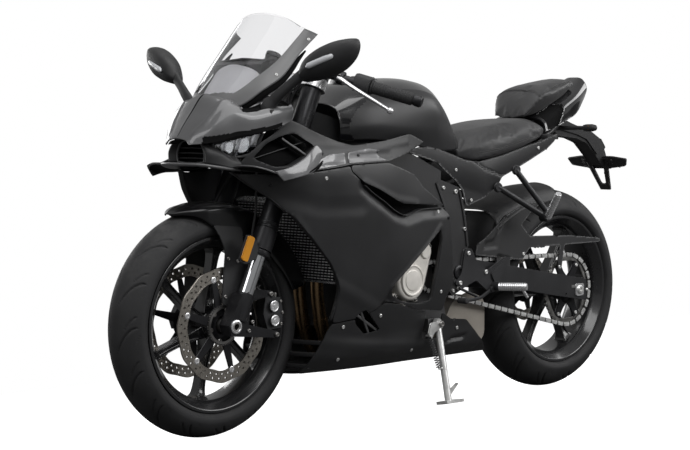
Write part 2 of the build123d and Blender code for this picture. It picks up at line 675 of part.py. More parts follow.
RIDER_SEAT = [   # x, half width, lower edge z, side z, top z
    (-190, 84, 716, 742, 752), (-240, 118, 709, 760, 786), (-320, 136, 724, 786, 812), (-420, 144, 750, 806, 829),
    (-520, 134, 774, 812, 836), (-568, 112, 790, 812, 833)]
PILLION_SEAT = [
    (-506, 66, 838, 850, 864), (-552, 98, 846, 904, 926), (-640, 92, 874, 924, 945), (-716, 80, 904, 943, 959),
    (-772, 60, 930, 952, 967)]


def cushion(stations):
    """Seat block through sections with a crowned top."""
    with BuildPart() as seat:
        for x, half, low, side, top in stations:
            with BuildSketch(Plane.YZ.offset(x)):
                with BuildLine():
                    Polyline((-half, low), (-half, side), (-0.62 * half, top), (0.62 * half, top), (half, side),
                             (half, low), close=True)
                make_face()
        loft(ruled=True)
    return seat.part


rider_seat = cushion(RIDER_SEAT)
pillion_block = cushion(PILLION_SEAT)
with BuildPart() as pillion_seat:
    add(pillion_block)
    add(rider_seat, mode=Mode.SUBTRACT)
pieces["rider_seat"], pieces["pillion_seat"] = rider_seat, pillion_seat.part

RAIL = [(-100, 640), (-300, 690), (-400, 720), (-520, 750), (-640, 800), (-760, 880)]
RAIL_Y = 112
RAIL_RADIUS = 11
with BuildPart() as subframe:
    for side in (1, -1):
        path = [(x, side * (RAIL_Y + (x + 100) * 0.085), z) for x, z in RAIL]
        add(tube(path, RAIL_RADIUS, 30))
    for x, z in ((-300, 690), (-520, 750), (-700, 840)):
        half = RAIL_Y + (x + 100) * 0.085
        add(rod((x, -half, z), (x, half, z), 9))
    add(plate([(-290, 690), (-318, 690), (-318, 628), (-290, 628)], 20, -20))
pieces["subframe"] = subframe.part

TAIL_SIDE = [(-12, 744), (-150, 736), (-188, 712), (-240, 705), (-320, 720), (-420, 746), (-520, 770), (-572, 786),
             (-560, 770), (-440, 706), (-378, 682), (-316, 650), (-240, 604), (-196, 622), (-130, 664), (-34, 708)]
TAIL = [   # x, then the left half outline (y, z) of the rear cowl over the lamp
    (-560, [(0, 842), (70, 838), (100, 826), (112, 800)]),
    (-620, [(0, 873), (60, 868), (92, 850), (98, 812)]),
    (-700, [(0, 905), (56, 900), (82, 884), (86, 838)]),
    (-764, [(0, 931), (50, 926), (72, 908), (70, 862)]),
    (-840, [(0, 970), (30, 966), (48, 940), (40, 912)])]
with BuildPart() as tail_cowl:
    add(plate(TAIL_SIDE, 150, 144))
    add(plate(TAIL_SIDE, -144, -150))
    add(panel([(x, over(half)) for x, half in TAIL]))
    add(plate([(-520, 800), (-580, 800), (-580, 782), (-520, 770)], 146, -146))
    add(pillion_seat.part, mode=Mode.SUBTRACT)
    add(rider_seat, mode=Mode.SUBTRACT)
    add(subframe.part, mode=Mode.SUBTRACT)
pieces["tail_cowl"] = tail_cowl.part

with BuildPart() as tail_light:
    add(limb([(-764, 0, 890, 110, 34), (-838, 0, 938, 56, 26)]))
    add(subframe.part, mode=Mode.SUBTRACT)
    add(tail_cowl.part, mode=Mode.SUBTRACT)
pieces["tail_light"] = tail_light.part

PLATE_ARM = [(-709.5, 806), (-738, 790), (-825, 783), (-877, 768), (-920, 716), (-1003, 614), (-1041, 613), (-1011, 716),
             (-956, 776), (-903, 798), (-800, 824), (-720, 850), (-709.5, 850)]
TURN_LAMP = (-690, 205, 813)    # outer end of the rear indicator stalk
with BuildPart() as plate_holder:
    add(plate(PLATE_ARM, 34, -34))
    add(plate([(-960, 712), (-974, 684), (-988, 684), (-978, 722)], 119, -119))
    for side in (1, -1):
        tip = Vector(TURN_LAMP[0], side * TURN_LAMP[1], TURN_LAMP[2])
        add(rod((-719, side * 30, 809), tip, 8))
        add(rod(tip - Vector(0, side * 40, 1), tip, 12))
    add(tail_light.part, mode=Mode.SUBTRACT)
    add(tail_cowl.part, mode=Mode.SUBTRACT)
    add(subframe.part, mode=Mode.SUBTRACT)
pieces["plate_holder"] = plate_holder.part

with BuildPart() as rear_shock:
    add(rod((-250, 0, 408), (-302, 0, 600), 30))
    add(rod((-297, 0, 580), (-304, 0, 628), 12))
    add(subframe.part, mode=Mode.SUBTRACT)
    add(swingarm.part, mode=Mode.SUBTRACT)
pieces["rear_shock"] = rear_shock.part

HUGGER = [   # ahead of the rear axle, then the left half outline (y, z) of the shell over the tyre
    (355, [(0, 566), (60, 562), (98, 540), (110, 508)]),
    (295, [(0, 586), (60, 582), (98, 568), (110, 540)]),
    (215, [(0, 610), (60, 606), (98, 596), (110, 570)]),
    (135, [(0, 630), (56, 624), (90, 608), (106, 582)]),
    (43, [(0, 638), (50, 630), (78, 614), (92, 594)])]
FLANK = [(452, 438), (443, 470), (408, 486), (316, 550), (223, 586), (135, 590), (195, 560),
         (243, 520), (202, 485), (7, 480), (-147, 466), (-147, 454), (6, 452), (33, 451), (47, 376),
         (69, 376), (55, 451), (201, 450), (238, 414)]
FLANK_Y = 112
with BuildPart() as rear_hugger:
    add(panel([(rear_axle_x + x, over(half)) for x, half in HUGGER], 4))
    for outline in (FLANK, [(355, 440), (295, 430), (295, 385), (355, 390)]):
        add(plate([(rear_axle_x + x, z) for x, z in outline], FLANK_Y, FLANK_Y - 6))
    add(swingarm.part, mode=Mode.SUBTRACT)
pieces["rear_hugger"] = rear_hugger.part

with BuildPart() as rear_caliper:
    body = [(rear_axle_x + 60, 400), (rear_axle_x + 130, 372), (rear_axle_x + 142, 400), (rear_axle_x + 70, 432)]
    add(plate(body, -56, -100))
    with BuildSketch(side_plane(-72 + DISC_THICKNESS / 2 + 2)):
        with Locations((rear_axle_x, rear_axle_z)):
            Circle(REAR_DISC_RADIUS + 2)
    extrude(amount=DISC_THICKNESS + 4, mode=Mode.SUBTRACT)
    add(plate([(rear_axle_x + 70, 400), (rear_axle_x + 130, 380), (rear_axle_x + 130, 350), (rear_axle_x + 70, 350)],
              -96, -SWINGARM_Y + 12))
    add(swingarm.part, mode=Mode.SUBTRACT)
pieces["rear_caliper"] = rear_caliper.part


# ---------------------------------------------------------------- foot rests and side stand
HANGER = [(-150, 462), (-176, 462), (-200, 420), (-250, 392), (-330, 430), (-346, 428), (-330, 400), (-290, 336),
          (-262, 330), (-200, 372), (-140, 352), (-108, 366), (-136, 392)]


def footrest():
    """Left rest: hanger plate bolted to the pivot plate, peg with a feeler and the foot lever."""
    y_in = PIVOT_PLATE_Y + 19
    with BuildPart() as rest:
        add(plate(HANGER, y_in + 8, y_in))
        add(rod((-276, y_in, 348), (-276, 178, 348), 14))
        add(rod((-276, 174, 348), (-306, 256, 351), PEG_RADIUS))
        add(rod((-300, 240, 350), (-322, 246, 318), 4))
        add(tube([(-262, 158, 340), (-200, 166, 318), (-110, 172, 318)], 6, 20))
        add(rod((-110, 166, 318), (-110, 200, 318), 8))
    return rest.part


left_rest = footrest()
pieces["footrest_left"], pieces["footrest_right"] = left_rest, mirrored(left_rest)


def pillion_rest():
    """Left pillion rest: two struts down from the tail to a bracket with a folding peg."""
    with BuildPart() as rest:
        add(rod((-290, 147, 640), (-452, 200, 548), 9))
        add(rod((-372, 147, 690), (-470, 200, 556), 9))
        add(rod((-452, 190, 548), (-452, 214, 548), 16))
        add(rod((-452, 212, 548), (-404, 290, 620), 11))
        add(tail_cowl.part, mode=Mode.SUBTRACT)
    return rest.part


left_pillion = pillion_rest()
pieces["pillion_footrest_left"], pieces["pillion_footrest_right"] = left_pillion, mirrored(left_pillion)

# ---------------------------------------------------------------- fairing
LEVELS = (840, 770, 700, 620, 520, 420, 330, 250, 186, 152)
BODY = [   # x, then the outer half width at each level
    (700, (98, 104, 108, 100, 100, 100, 100, 90, 80, 50)),
    (620, (150, 165, 182, 176, 165, 150, 140, 130, 110, 60)),
    (540, (180, 190, 212, 208, 195, 178, 160, 145, 125, 75)),
    (440, (178, 188, 215, 212, 200, 186, 172, 154, 134, 90)),
    (320, (172, 182, 205, 210, 204, 194, 180, 162, 146, 104)),
    (180, (166, 176, 195, 203, 202, 196, 184, 166, 150, 108)),
    (40, (160, 168, 175, 186, 190, 188, 174, 154, 138, 98)),
    (-100, (156, 160, 164, 168, 172, 170, 160, 146, 130, 92)),
    (-300, (140, 142, 146, 150, 154, 156, 152, 138, 120, 84))]
BELLY_BOTTOM = 144
SIDE_FAIRING = [
    (560, 812), (530, 806), (431, 772), (394, 760), (290, 762), (124, 792), (40, 770), (120, 700), (60, 660),
    (-24, 604), (-70, 560), (-84, 470), (-92, 362), (-54, 286), (60, 300), (209, 338), (300, 322), (398, 292), (372, 377),
    (388, 418), (465, 501), (547, 575), (600, 635), (682, 690), (640, 740), (596, 782)]
BELLY = [(-54, 286), (60, 300), (209, 338), (300, 322), (398, 292), (420, 232), (440, 176), (418, 130), (-286, 130),
         (-286, 160), (-235, 224), (-100, 262)]
COVER_WINDOW = [(2, 330), (60, 312), (150, 330), (156, 420), (90, 500), (20, 512), (-20, 480), (-20, 430)]
VENT = [(230, 660), (180, 640), (90, 590), (50, 560), (120, 560), (200, 600)]
DUCT = [(640, 742), (600, 782), (560, 792), (510, 764), (520, 740), (600, 712)]


def body_skin(first, last, closed):
    """Fairing skin from level number first to last, for the left side or round the bottom."""
    rows = []
    for x, row in BODY:
        half = list(zip(row[first:last], LEVELS[first:last]))
        rows.append((x, under(half + [(0, BELLY_BOTTOM)]) if closed else half))
    return panel(rows)


WINGLET = [   # x, then the outline (y, z) of the blade from the body outwards and up
    (684, [(104, 706), (162, 713), (207, 706), (250, 690), (272, 660)]),
    (640, [(150, 694), (190, 694), (232, 686), (262, 672), (272, 676)]),
    (590, [(184, 684), (214, 680), (244, 678), (264, 690), (268, 720)]),
    (540, [(206, 684), (228, 684), (248, 690), (260, 712), (262, 748)]),
    (500, [(209, 690), (222, 694), (232, 704), (238, 722), (238, 744)])]

with BuildPart() as side_fairing:
    add(body_skin(0, 8, False))
    add(plate(SIDE_FAIRING, 400, 0), mode=Mode.INTERSECT)
    for window in (COVER_WINDOW, VENT, DUCT):
        add(plate(window, 400, 0), mode=Mode.SUBTRACT)
    add(panel(WINGLET, 4))
pieces["side_fairing_left"], pieces["side_fairing_right"] = side_fairing.part, mirrored(side_fairing.part)

STAND_NOTCH = [(-54, 214), (22, 214), (22, 320), (-54, 320)]
with BuildPart() as belly_pan:
    add(body_skin(5, 10, True))
    add(plate(BELLY, 400, -400), mode=Mode.INTERSECT)
    add(plate(STAND_NOTCH, 400, 0), mode=Mode.SUBTRACT)
pieces["belly_pan"] = belly_pan.part

NOSE = [   # x, then the left half outline (y, z) from the ridge to the brow over the lamp
    (788, [(0, 776), (20, 774), (34, 770), (44, 760)]),
    (740, [(0, 838), (46, 832), (86, 810), (98, 768)]),
    (700, [(0, 884), (66, 872), (112, 840), (126, 782)]),
    (660, [(0, 872), (92, 864), (144, 838), (158, 790)]),
    (612, [(0, 864), (120, 868), (174, 850), (184, 806)]),
    (568, [(0, 884), (140, 882), (190, 860), (188, 826)])]
CHIN = [   # x, then the left half outline (y, z) from the lamp's lower edge to the centre
    (788, [(44, 760), (54, 736), (54, 716), (0, 712)]),
    (768, [(66, 758), (80, 736), (78, 714), (0, 710)]),
    (716, [(86, 730), (118, 722), (120, 700), (0, 700)]),
    (690, [(104, 728), (132, 716), (132, 697), (0, 696)])]
LAMP = [(736, 80, 742, 766), (700, 98, 732, 780), (640, 132, 736, 790)]   # x, mid y, low z, high z
SCREEN = [   # x, then the left half outline (y, z) from the middle to the side edge
    (702, [(0, 884), (20, 882), (40, 875), (60, 862)]),
    (668, [(0, 923), (40, 915), (75, 893), (94, 858)]),
    (612, [(0, 988), (60, 972), (105, 938), (128, 900)]),
    (560, [(0, 1048), (70, 1028), (122, 980), (146, 937)]),
    (505, [(0, 1112), (78, 1088), (130, 1030), (152, 982)]),
    (440, [(0, 1187), (85, 1155), (140, 1085), (156, 1020)])]
SCREEN_SIDE = [(710, 860), (640, 1010), (505, 1113), (446, 1044), (436, 1020), (560, 920), (668, 850)]

with BuildPart() as nose_fairing:
    add(panel([(x, over(half)) for x, half in NOSE]))
    add(panel([(x, under(half)) for x, half in CHIN]))
    add(side_fairing.part, mode=Mode.SUBTRACT)
    add(mirrored(side_fairing.part), mode=Mode.SUBTRACT)
    add(frame.part, mode=Mode.SUBTRACT)
pieces["nose_fairing"] = nose_fairing.part

with BuildPart() as windscreen:
    add(panel([(x, over(half)) for x, half in SCREEN], 3))
    add(plate(SCREEN_SIDE, 300, -300), mode=Mode.INTERSECT)
    add(nose_fairing.part, mode=Mode.SUBTRACT)
pieces["windscreen"] = largest(windscreen.part)

with BuildPart() as headlight:
    add(limb([(x, y, (low + high) / 2, 40, high - low) for x, y, low, high in LAMP]))
    add(nose_fairing.part, mode=Mode.SUBTRACT)
    add(side_fairing.part, mode=Mode.SUBTRACT)
pieces["headlight_left"], pieces["headlight_right"] = headlight.part, mirrored(headlight.part)

with BuildPart() as instrument_panel:
    add(limb([(560, 0, 940, 190, 90), (590, 0, 925, 190, 90)]))
    add(plate([(600, 900), (572, 900), (572, 883), (600, 870.5)], 60, -60))
    add(windscreen.part, mode=Mode.SUBTRACT)
    add(nose_fairing.part, mode=Mode.SUBTRACT)
pieces["instrument_panel"] = instrument_panel.part

MIRROR_FACE = [(240, 940), (262, 978), (328, 1020), (408, 1032), (414, 1004), (382, 964), (320, 934), (252, 924)]


def mirror_unit():
    """Left mirror: stalk from the nose deck and the shell around the glass."""
    with BuildPart() as unit:
        with BuildSketch(Plane.YZ.offset(556)):
            with BuildLine():
                Polyline(*MIRROR_FACE, close=True)
            make_face()
        extrude(amount=36)
        fillet(unit.faces().sort_by(Axis.X)[-1].edges(), 14)
        add(rod((613, 150, 856), (590, 262, 946), 11))
        add(nose_fairing.part, mode=Mode.SUBTRACT)
        add(windscreen.part, mode=Mode.SUBTRACT)
        add(frame.part, mode=Mode.SUBTRACT)
    return largest(unit.part)


left_mirror = mirror_unit()
pieces["mirror_left"], pieces["mirror_right"] = left_mirror, mirrored(left_mirror)

# side stand, standing at its stop
STAND_EYE = 12           # length of the hinge eye
pivot = Vector(*STAND_PIVOT)
foot_z = (STAND_FOOT[1] * sin(radians(LEAN)) - TYRE_SINK) / cos(radians(LEAN))
eye = Plane(origin=pivot - STAND_AXIS * STAND_EYE / 2, z_dir=STAND_AXIS)
with BuildPart() as side_stand:
    with BuildSketch(eye):
        Circle(15)
    extrude(amount=STAND_EYE)
    add(rod(pivot, (STAND_FOOT[0], STAND_FOOT[1], foot_z + 5), 10))
    with BuildSketch(eye.offset(-20)):
        Circle(STAND_PIN + RUNNING_FIT)
    extrude(amount=STAND_EYE + 40, mode=Mode.SUBTRACT)
    ground = Plane(origin=(STAND_FOOT[0] - 8, STAND_FOOT[1], foot_z), x_dir=(1, 0, 0),
                   z_dir=(0, -sin(radians(LEAN)), cos(radians(LEAN))))
    with BuildSketch(ground):
        Rectangle(70, 42)
    extrude(amount=9)
pieces["side_stand"] = side_stand.part

# ---------------------------------------------------------------- lean, place and write
LEAN_OVER = Rotation(-LEAN, 0, 0)
leaned = {name: piece.moved(LEAN_OVER) for name, piece in pieces.items()}
box = Compound(list(leaned.values())).bounding_box()
HOME = Pos(-(box.min.X + box.max.X) / 2, -(box.min.Y + box.max.Y) / 2, -box.min.Z)
print("home", *HOME.position)

os.makedirs("parts", exist_ok=True)
for name, piece in leaned.items():
    placed = piece.moved(HOME)
    placed.label = name
    export_step(placed, f"parts/{name}.step")
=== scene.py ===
# %% [markdown]
# # A full-fairing sport motorcycle, leaning on its side stand
# The metalwork, wheels and body panels come from a solid model that is already packed. This
# lesson gives each of them the surface, the small hardware and the finish that a plain solid lacks. Every
# new piece is worked out in numpy in the machine's own upright frame, in millimetres, and is leaned over
# only when it is turned into a mesh. That way a number here means the same as a number on the workshop
# drawing.

# %% Load the imported machine
import json
import math

import bmesh
import bpy
import numpy as np
from mathutils import Matrix

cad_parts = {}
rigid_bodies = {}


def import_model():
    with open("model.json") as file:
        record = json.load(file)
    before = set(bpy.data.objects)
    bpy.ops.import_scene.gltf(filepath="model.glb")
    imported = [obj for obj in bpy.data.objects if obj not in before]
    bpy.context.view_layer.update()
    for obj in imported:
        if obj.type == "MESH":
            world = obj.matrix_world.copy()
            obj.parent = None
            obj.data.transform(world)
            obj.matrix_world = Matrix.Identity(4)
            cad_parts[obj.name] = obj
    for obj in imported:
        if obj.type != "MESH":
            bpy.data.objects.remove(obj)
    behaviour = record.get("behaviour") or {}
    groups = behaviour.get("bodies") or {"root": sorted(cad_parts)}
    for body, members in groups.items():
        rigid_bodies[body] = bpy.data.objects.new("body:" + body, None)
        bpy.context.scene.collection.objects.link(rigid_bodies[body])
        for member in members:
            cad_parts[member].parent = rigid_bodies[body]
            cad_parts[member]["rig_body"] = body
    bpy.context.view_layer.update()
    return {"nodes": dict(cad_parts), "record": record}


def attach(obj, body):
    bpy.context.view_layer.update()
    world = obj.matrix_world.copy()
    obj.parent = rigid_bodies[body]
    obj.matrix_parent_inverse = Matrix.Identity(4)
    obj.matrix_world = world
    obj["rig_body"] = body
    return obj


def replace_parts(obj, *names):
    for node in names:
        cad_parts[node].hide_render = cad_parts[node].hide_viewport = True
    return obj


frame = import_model()
record = frame["record"]
print("packed nodes", len(frame["nodes"]))

# %% [markdown]
# ## The upright frame
# The parked machine leans ten degrees to its left, so nothing on it is square to the world. Modelling in the
# leaned position would make every dimension awkward. Instead one function leans and moves whole arrays of
# points, and it takes its offset from the rear wheel's axle, whose upright place is known.

# %% Lean and place
LEAN = math.radians(10)
LEAN_TURN = np.array([[1, 0, 0],
                      [0, math.cos(LEAN), math.sin(LEAN)],
                      [0, -math.sin(LEAN), math.cos(LEAN)]])
REAR_AXLE = np.array([-695.0, 0, 310])
FRONT_AXLE = np.array([695.0, 0, 298])
spin = next(joint for joint in record["behaviour"]["joints"] if joint["name"] == "rear_wheel_spin")
HOME = np.array(spin["pos_m"]) - LEAN_TURN @ REAR_AXLE / 1000


def placed(points):
    """Upright millimetres to leaned metres: turn about the X axis by the lean, divide by 1000, add the
    offset."""
    return np.asarray(points, float) @ LEAN_TURN.T / 1000 + HOME


print("offset of the upright frame, m", HOME.round(4))

# %% [markdown]
# ## Shapes as arrays
# A shape here is a pair: an array of points and a list of face arrays. Small functions make them, copy them
# along patterns and join them, and one function at the end turns a shape into a Blender mesh. Working with
# plain arrays keeps a hundred chain links as quick as one, and nothing depends on what is selected.

# %% Grids and joins
def grid(points, wrap_u=False, wrap_v=False, flip=False):
    """A grid of points (rows, columns, 3) as a shape: cell (i, j) is the quad i,j - i+1,j - i+1,j+1 -
    i,j+1."""
    points = np.asarray(points, float)
    rows, cols = points.shape[:2]
    i = np.arange(rows if wrap_u else rows - 1)
    j = np.arange(cols if wrap_v else cols - 1)
    i, j = np.meshgrid(i, j, indexing="ij")
    corners = [(a % rows) * cols + b % cols for a, b in ((i, j), (i + 1, j), (i + 1, j + 1), (i, j + 1))]
    quads = np.stack(corners, -1).reshape(-1, 4)
    return points.reshape(-1, 3), [quads[:, ::-1] if flip else quads]


def join(*shapes):
    """Several shapes as one: points stacked, and each shape's face numbers moved up past the points
    before it."""
    points, faces, start = [], [], 0
    for p, f in shapes:
        points.append(p)
        faces += [block + start for block in f]
        start += len(p)
    return np.concatenate(points), faces


def cap(ring, flip=False):
    """A closed ring of points filled by one flat face."""
    ring = np.asarray(ring, float)
    order = np.arange(len(ring))
    return ring, [(order[::-1] if flip else order)[None]]


def mirror(shape):
    """The shape on the other side of the centre plane: Y changes sign, and each face runs the other way
    round."""
    points, faces = shape
    return points * (1, -1, 1), [block[:, ::-1] for block in faces]


def unchanged(shape):
    """The shape as it was drawn, on the left."""
    return shape


SIDES = ("left", unchanged), ("right", mirror)


def copies(shape, turns, shifts):
    """The shape once for each turn (k, 3, 3) and shift (k, 3): every point is turned, then moved."""
    points, faces = shape
    turns, shifts = np.asarray(turns, float), np.asarray(shifts, float)
    many = np.einsum("kij,nj->kni", turns, points) + shifts[:, None]
    count, size = many.shape[:2]
    start = (np.arange(count) * size)[:, None, None]
    return many.reshape(-1, 3), [(block[None] + start).reshape(-1, block.shape[1]) for block in faces]


def unit(v):
    """Vectors scaled to length one."""
    v = np.asarray(v, float)
    return v / np.maximum(np.linalg.norm(v, axis=-1, keepdims=True), 1e-9)


def basis(axis, side=(0, 0, 1)):
    """Right-handed frames whose third axis points along each given axis, first axis near the side
    direction."""
    w = unit(np.atleast_2d(np.asarray(axis, float)))
    side = np.broadcast_to(np.asarray(side, float), w.shape)
    near = np.abs((unit(side) * w).sum(-1, keepdims=True)) > 0.95
    side = np.where(near, np.array([1.0, 0, 0]), side)
    u = unit(side - (side * w).sum(-1, keepdims=True) * w)
    return np.stack([u, np.cross(w, u), w], -1)


# %% Smooth lines and surfaces through a few points
def smooth(values, count, axis=0, closed=False):
    """Evenly resamples an array along one axis with a Catmull-Rom curve: between two points the curve is
    a cubic whose slope at each end is half the difference of the neighbours."""
    v = np.moveaxis(np.asarray(values, float), axis, 0)
    n = len(v)
    t = np.arange(count) * n / count if closed else np.linspace(0, n - 1, count)
    k = np.minimum(t.astype(int), n - 1 if closed else n - 2)
    f = (t - k).reshape((-1,) + (1,) * (v.ndim - 1))
    if closed:
        a, b, c, d = v[(k - 1) % n], v[k % n], v[(k + 1) % n], v[(k + 2) % n]
    else:
        wide = np.concatenate([2 * v[:1] - v[1:2], v, 2 * v[-1:] - v[-2:-1]])
        a, b, c, d = wide[k], wide[k + 1], wide[k + 2], wide[k + 3]
    out = b + 0.5 * f * (c - a + f * (2 * a - 5 * b + 4 * c - d + f * (3 * (b - c) + d - a)))
    return np.moveaxis(out, 0, axis)


def rounded(corners, radius=8.0, steps=5, closed=True):
    """A polygon with rounded corners: each corner becomes a quadratic curve that starts and ends a radius
    away along its two sides, or less where a side is short."""
    p = np.asarray(corners, float)
    before, after = np.roll(p, 1, 0), np.roll(p, -1, 0)
    reach = np.minimum(radius, 0.45 * np.minimum(np.linalg.norm(before - p, axis=1),
                                                 np.linalg.norm(after - p, axis=1)))
    start, end = p + unit(before - p) * reach[:, None], p + unit(after - p) * reach[:, None]
    t = np.linspace(0, 1, steps)[None, :, None]
    curve = (1 - t) ** 2 * start[:, None] + 2 * t * (1 - t) * p[:, None] + t ** 2 * end[:, None]
    if closed:
        return curve.reshape(-1, p.shape[1])
    return np.concatenate([p[:1], curve[1:-1].reshape(-1, p.shape[1]), p[-1:]])


def hermite(stations, values, at):
    """Cubic interpolation of values (..., k) over k rising stations at positions (...): slopes are the
    average of the two neighbouring runs."""
    xs, ys = np.asarray(stations, float), np.asarray(values, float)
    run = np.diff(ys, axis=-1) / np.diff(xs)
    slope = np.concatenate([run[..., :1], (run[..., 1:] + run[..., :-1]) / 2, run[..., -1:]], -1)
    at = np.clip(at, xs[0], xs[-1])
    k = np.clip(np.searchsorted(xs, at, "right") - 1, 0, len(xs) - 2)

    def pick(a, i):
        return np.take_along_axis(np.broadcast_to(a, at.shape + a.shape[-1:]), i[..., None], -1)[..., 0]

    h = xs[k + 1] - xs[k]
    t = (at - xs[k]) / h
    y0, y1, m0, m1 = pick(ys, k), pick(ys, k + 1), pick(slope, k) * h, pick(slope, k + 1) * h
    return y0 + t * (m0 + t * (3 * (y1 - y0) - 2 * m0 - m1 + t * (2 * (y0 - y1) + m0 + m1)))


# %% Turned, swept and cut shapes
def turned(profile, centre, axis=(0, 1, 0), count=64, closed=False, start=(0, 0, 1)):
    """A profile of (radius, distance along the axis) turned about the axis: point = centre + axis *
    distance + radius * (cos, sin) across it. An open profile should run from the low end to the high
    end."""
    profile = np.asarray(profile, float)
    frame_ = basis(axis, start)[0]
    angle = np.linspace(0, 2 * np.pi, count, endpoint=False)
    ring = np.cos(angle)[:, None] * frame_[:, 0] + np.sin(angle)[:, None] * frame_[:, 1]
    points = (np.asarray(centre, float) + profile[None, :, 1:2] * frame_[:, 2]
              + profile[None, :, 0:1] * ring[:, None])
    shape = grid(points, wrap_u=True, wrap_v=closed)
    if not closed:
        ends = [cap(points[:, -1])] if profile[-1, 0] > 1e-3 else []
        ends += [cap(points[:, 0], flip=True)] if profile[0, 0] > 1e-3 else []
        shape = join(shape, *ends)
    return shape


def swept(path, section, up=(0, 0, 1), scale=None, closed=False, capped=True):
    """A closed section of (across, up) carried along a path: at each path point the frame is the tangent, the
    across direction tangent x up, and their cross product."""
    path, section = np.asarray(path, float), np.asarray(section, float)
    if closed:
        tangent = unit(np.roll(path, -1, 0) - np.roll(path, 1, 0))
    else:
        tangent = unit(np.gradient(path, axis=0))
    side = unit(np.cross(tangent, np.broadcast_to(np.asarray(up, float), tangent.shape)))
    rise = np.cross(side, tangent)
    scale = np.ones(len(path)) if scale is None else np.asarray(scale, float)
    section = section[None] if section.ndim == 2 else section
    across, upward = section[..., 0:1] * scale[:, None, None], section[..., 1:2] * scale[:, None, None]
    points = path[:, None] + across * side[:, None] + upward * rise[:, None]
    shape = grid(points, wrap_u=closed, wrap_v=True)
    if capped and not closed:
        shape = join(shape, cap(points[-1]), cap(points[0], flip=True))
    return shape


def circle(radius, count=12, squash=1.0):
    """Points round a circle, anticlockwise, with the second direction squashed."""
    angle = np.linspace(0, 2 * np.pi, count, endpoint=False)
    return np.stack([radius * np.cos(angle), radius * squash * np.sin(angle)], -1)


def bar(start, end, radius, count=16, edge=1.0):
    """A round bar between two points with slightly rounded ends."""
    start, end = np.asarray(start, float), np.asarray(end, float)
    length = np.linalg.norm(end - start)
    profile = [(radius - edge, 0), (radius, edge), (radius, length - edge), (radius - edge, length)]
    return turned(profile, start, end - start, count)


def slab(outline, y_low, y_high, edge=1.5):
    """A side-view outline (x, z) as a flat plate between two Y values, with a chamfer of the given edge. The
    outline runs anticlockwise seen from the left (+Y towards the eye, X to the left)."""
    o = np.asarray(outline, float)
    area = 0.5 * (o[:, 0] * np.roll(o[:, 1], -1) - np.roll(o[:, 0], -1) * o[:, 1]).sum()
    o = o[::-1] if area > 0 else o
    along = unit(np.roll(o, -1, 0) - np.roll(o, 1, 0))
    inset = o - np.stack([-along[:, 1], along[:, 0]], -1) * -edge
    rings = [(inset, y_low), (o, y_low + edge), (o, y_high - edge), (inset, y_high)]
    points = np.stack([np.stack([r[:, 0], np.full(len(r), y), r[:, 1]], -1) for r, y in rings], 1)
    return join(grid(points, wrap_u=True), cap(points[:, -1]), cap(points[:, 0], flip=True))

# %% [markdown]
# ## From shape to piece
# One function makes the Blender mesh, gives it its finish, and lets it ride on a body of the packed
# machine. It can also add a wall, round its edges and subdivide. The wall comes from Solidify and the
# soft edges from Bevel, because a moulded panel or a casting never has a knife edge, and a rounded edge
# is what catches light.

# %% Make a piece
made = {}


def piece(name, parts, body, bevel=0.0, angle=35, wall=0.0, subdivide=0, weld=0.0, smooth_by=40):
    """Mesh object from (shape, material) pairs in upright millimetres. wall thickens an open skin
    inwards, bevel rounds edges sharper than angle, both in millimetres."""
    parts = parts if isinstance(parts, list) else [parts]
    points, faces = join(*[shape for shape, _ in parts])
    mesh = bpy.data.meshes.new(name)
    sizes = np.concatenate([np.full(len(block), block.shape[1]) for block in faces])
    corners = np.concatenate([block.ravel() for block in faces])
    mesh.vertices.add(len(points))
    mesh.vertices.foreach_set("co", placed(points).astype(np.float32).ravel())
    mesh.loops.add(len(corners))
    mesh.loops.foreach_set("vertex_index", corners.astype(np.int32))
    mesh.polygons.add(len(sizes))
    mesh.polygons.foreach_set("loop_start", np.concatenate([[0], np.cumsum(sizes)[:-1]]).astype(np.int32))
    materials = []
    for _, material in parts:
        if material not in materials:
            materials.append(material)
            mesh.materials.append(material)
    slots = np.concatenate([np.full(sum(len(b) for b in shape[1]), materials.index(m))
                            for shape, m in parts])
    mesh.polygons.foreach_set("material_index", slots.astype(np.int32))
    mesh.update(calc_edges=True)
    mesh.validate()
    if weld:
        grown = bmesh.new()
        grown.from_mesh(mesh)
        bmesh.ops.remove_doubles(grown, verts=grown.verts, dist=weld / 1000)
        grown.to_mesh(mesh)
        grown.free()
    return finish_piece(bpy.data.objects.new(name, mesh), body, bevel, angle, wall,
                        subdivide, smooth_by)


def finish_piece(obj, body, bevel=0.0, angle=35, wall=0.0, subdivide=0, smooth_by=40):
    """Links the object, shades it smooth up to an angle, adds its modifiers and lets it ride on its body."""
    bpy.context.scene.collection.objects.link(obj)
    obj.data.shade_smooth()
    obj.data.set_sharp_from_angle(angle=math.radians(smooth_by))
    if wall:
        skin = obj.modifiers.new("wall", "SOLIDIFY")
        skin.thickness, skin.offset, skin.use_even_offset = wall / 1000, -1, False
    if bevel:
        soft = obj.modifiers.new("soft edges", "BEVEL")
        soft.width, soft.segments, soft.limit_method = bevel / 1000, 2, "ANGLE"
        soft.angle_limit, soft.harden_normals = math.radians(angle), False
        soft.use_clamp_overlap = True
    if subdivide:
        finer = obj.modifiers.new("smoother", "SUBSURF")
        finer.levels = finer.render_levels = subdivide
    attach(obj, body)
    made[obj.name] = obj
    return obj


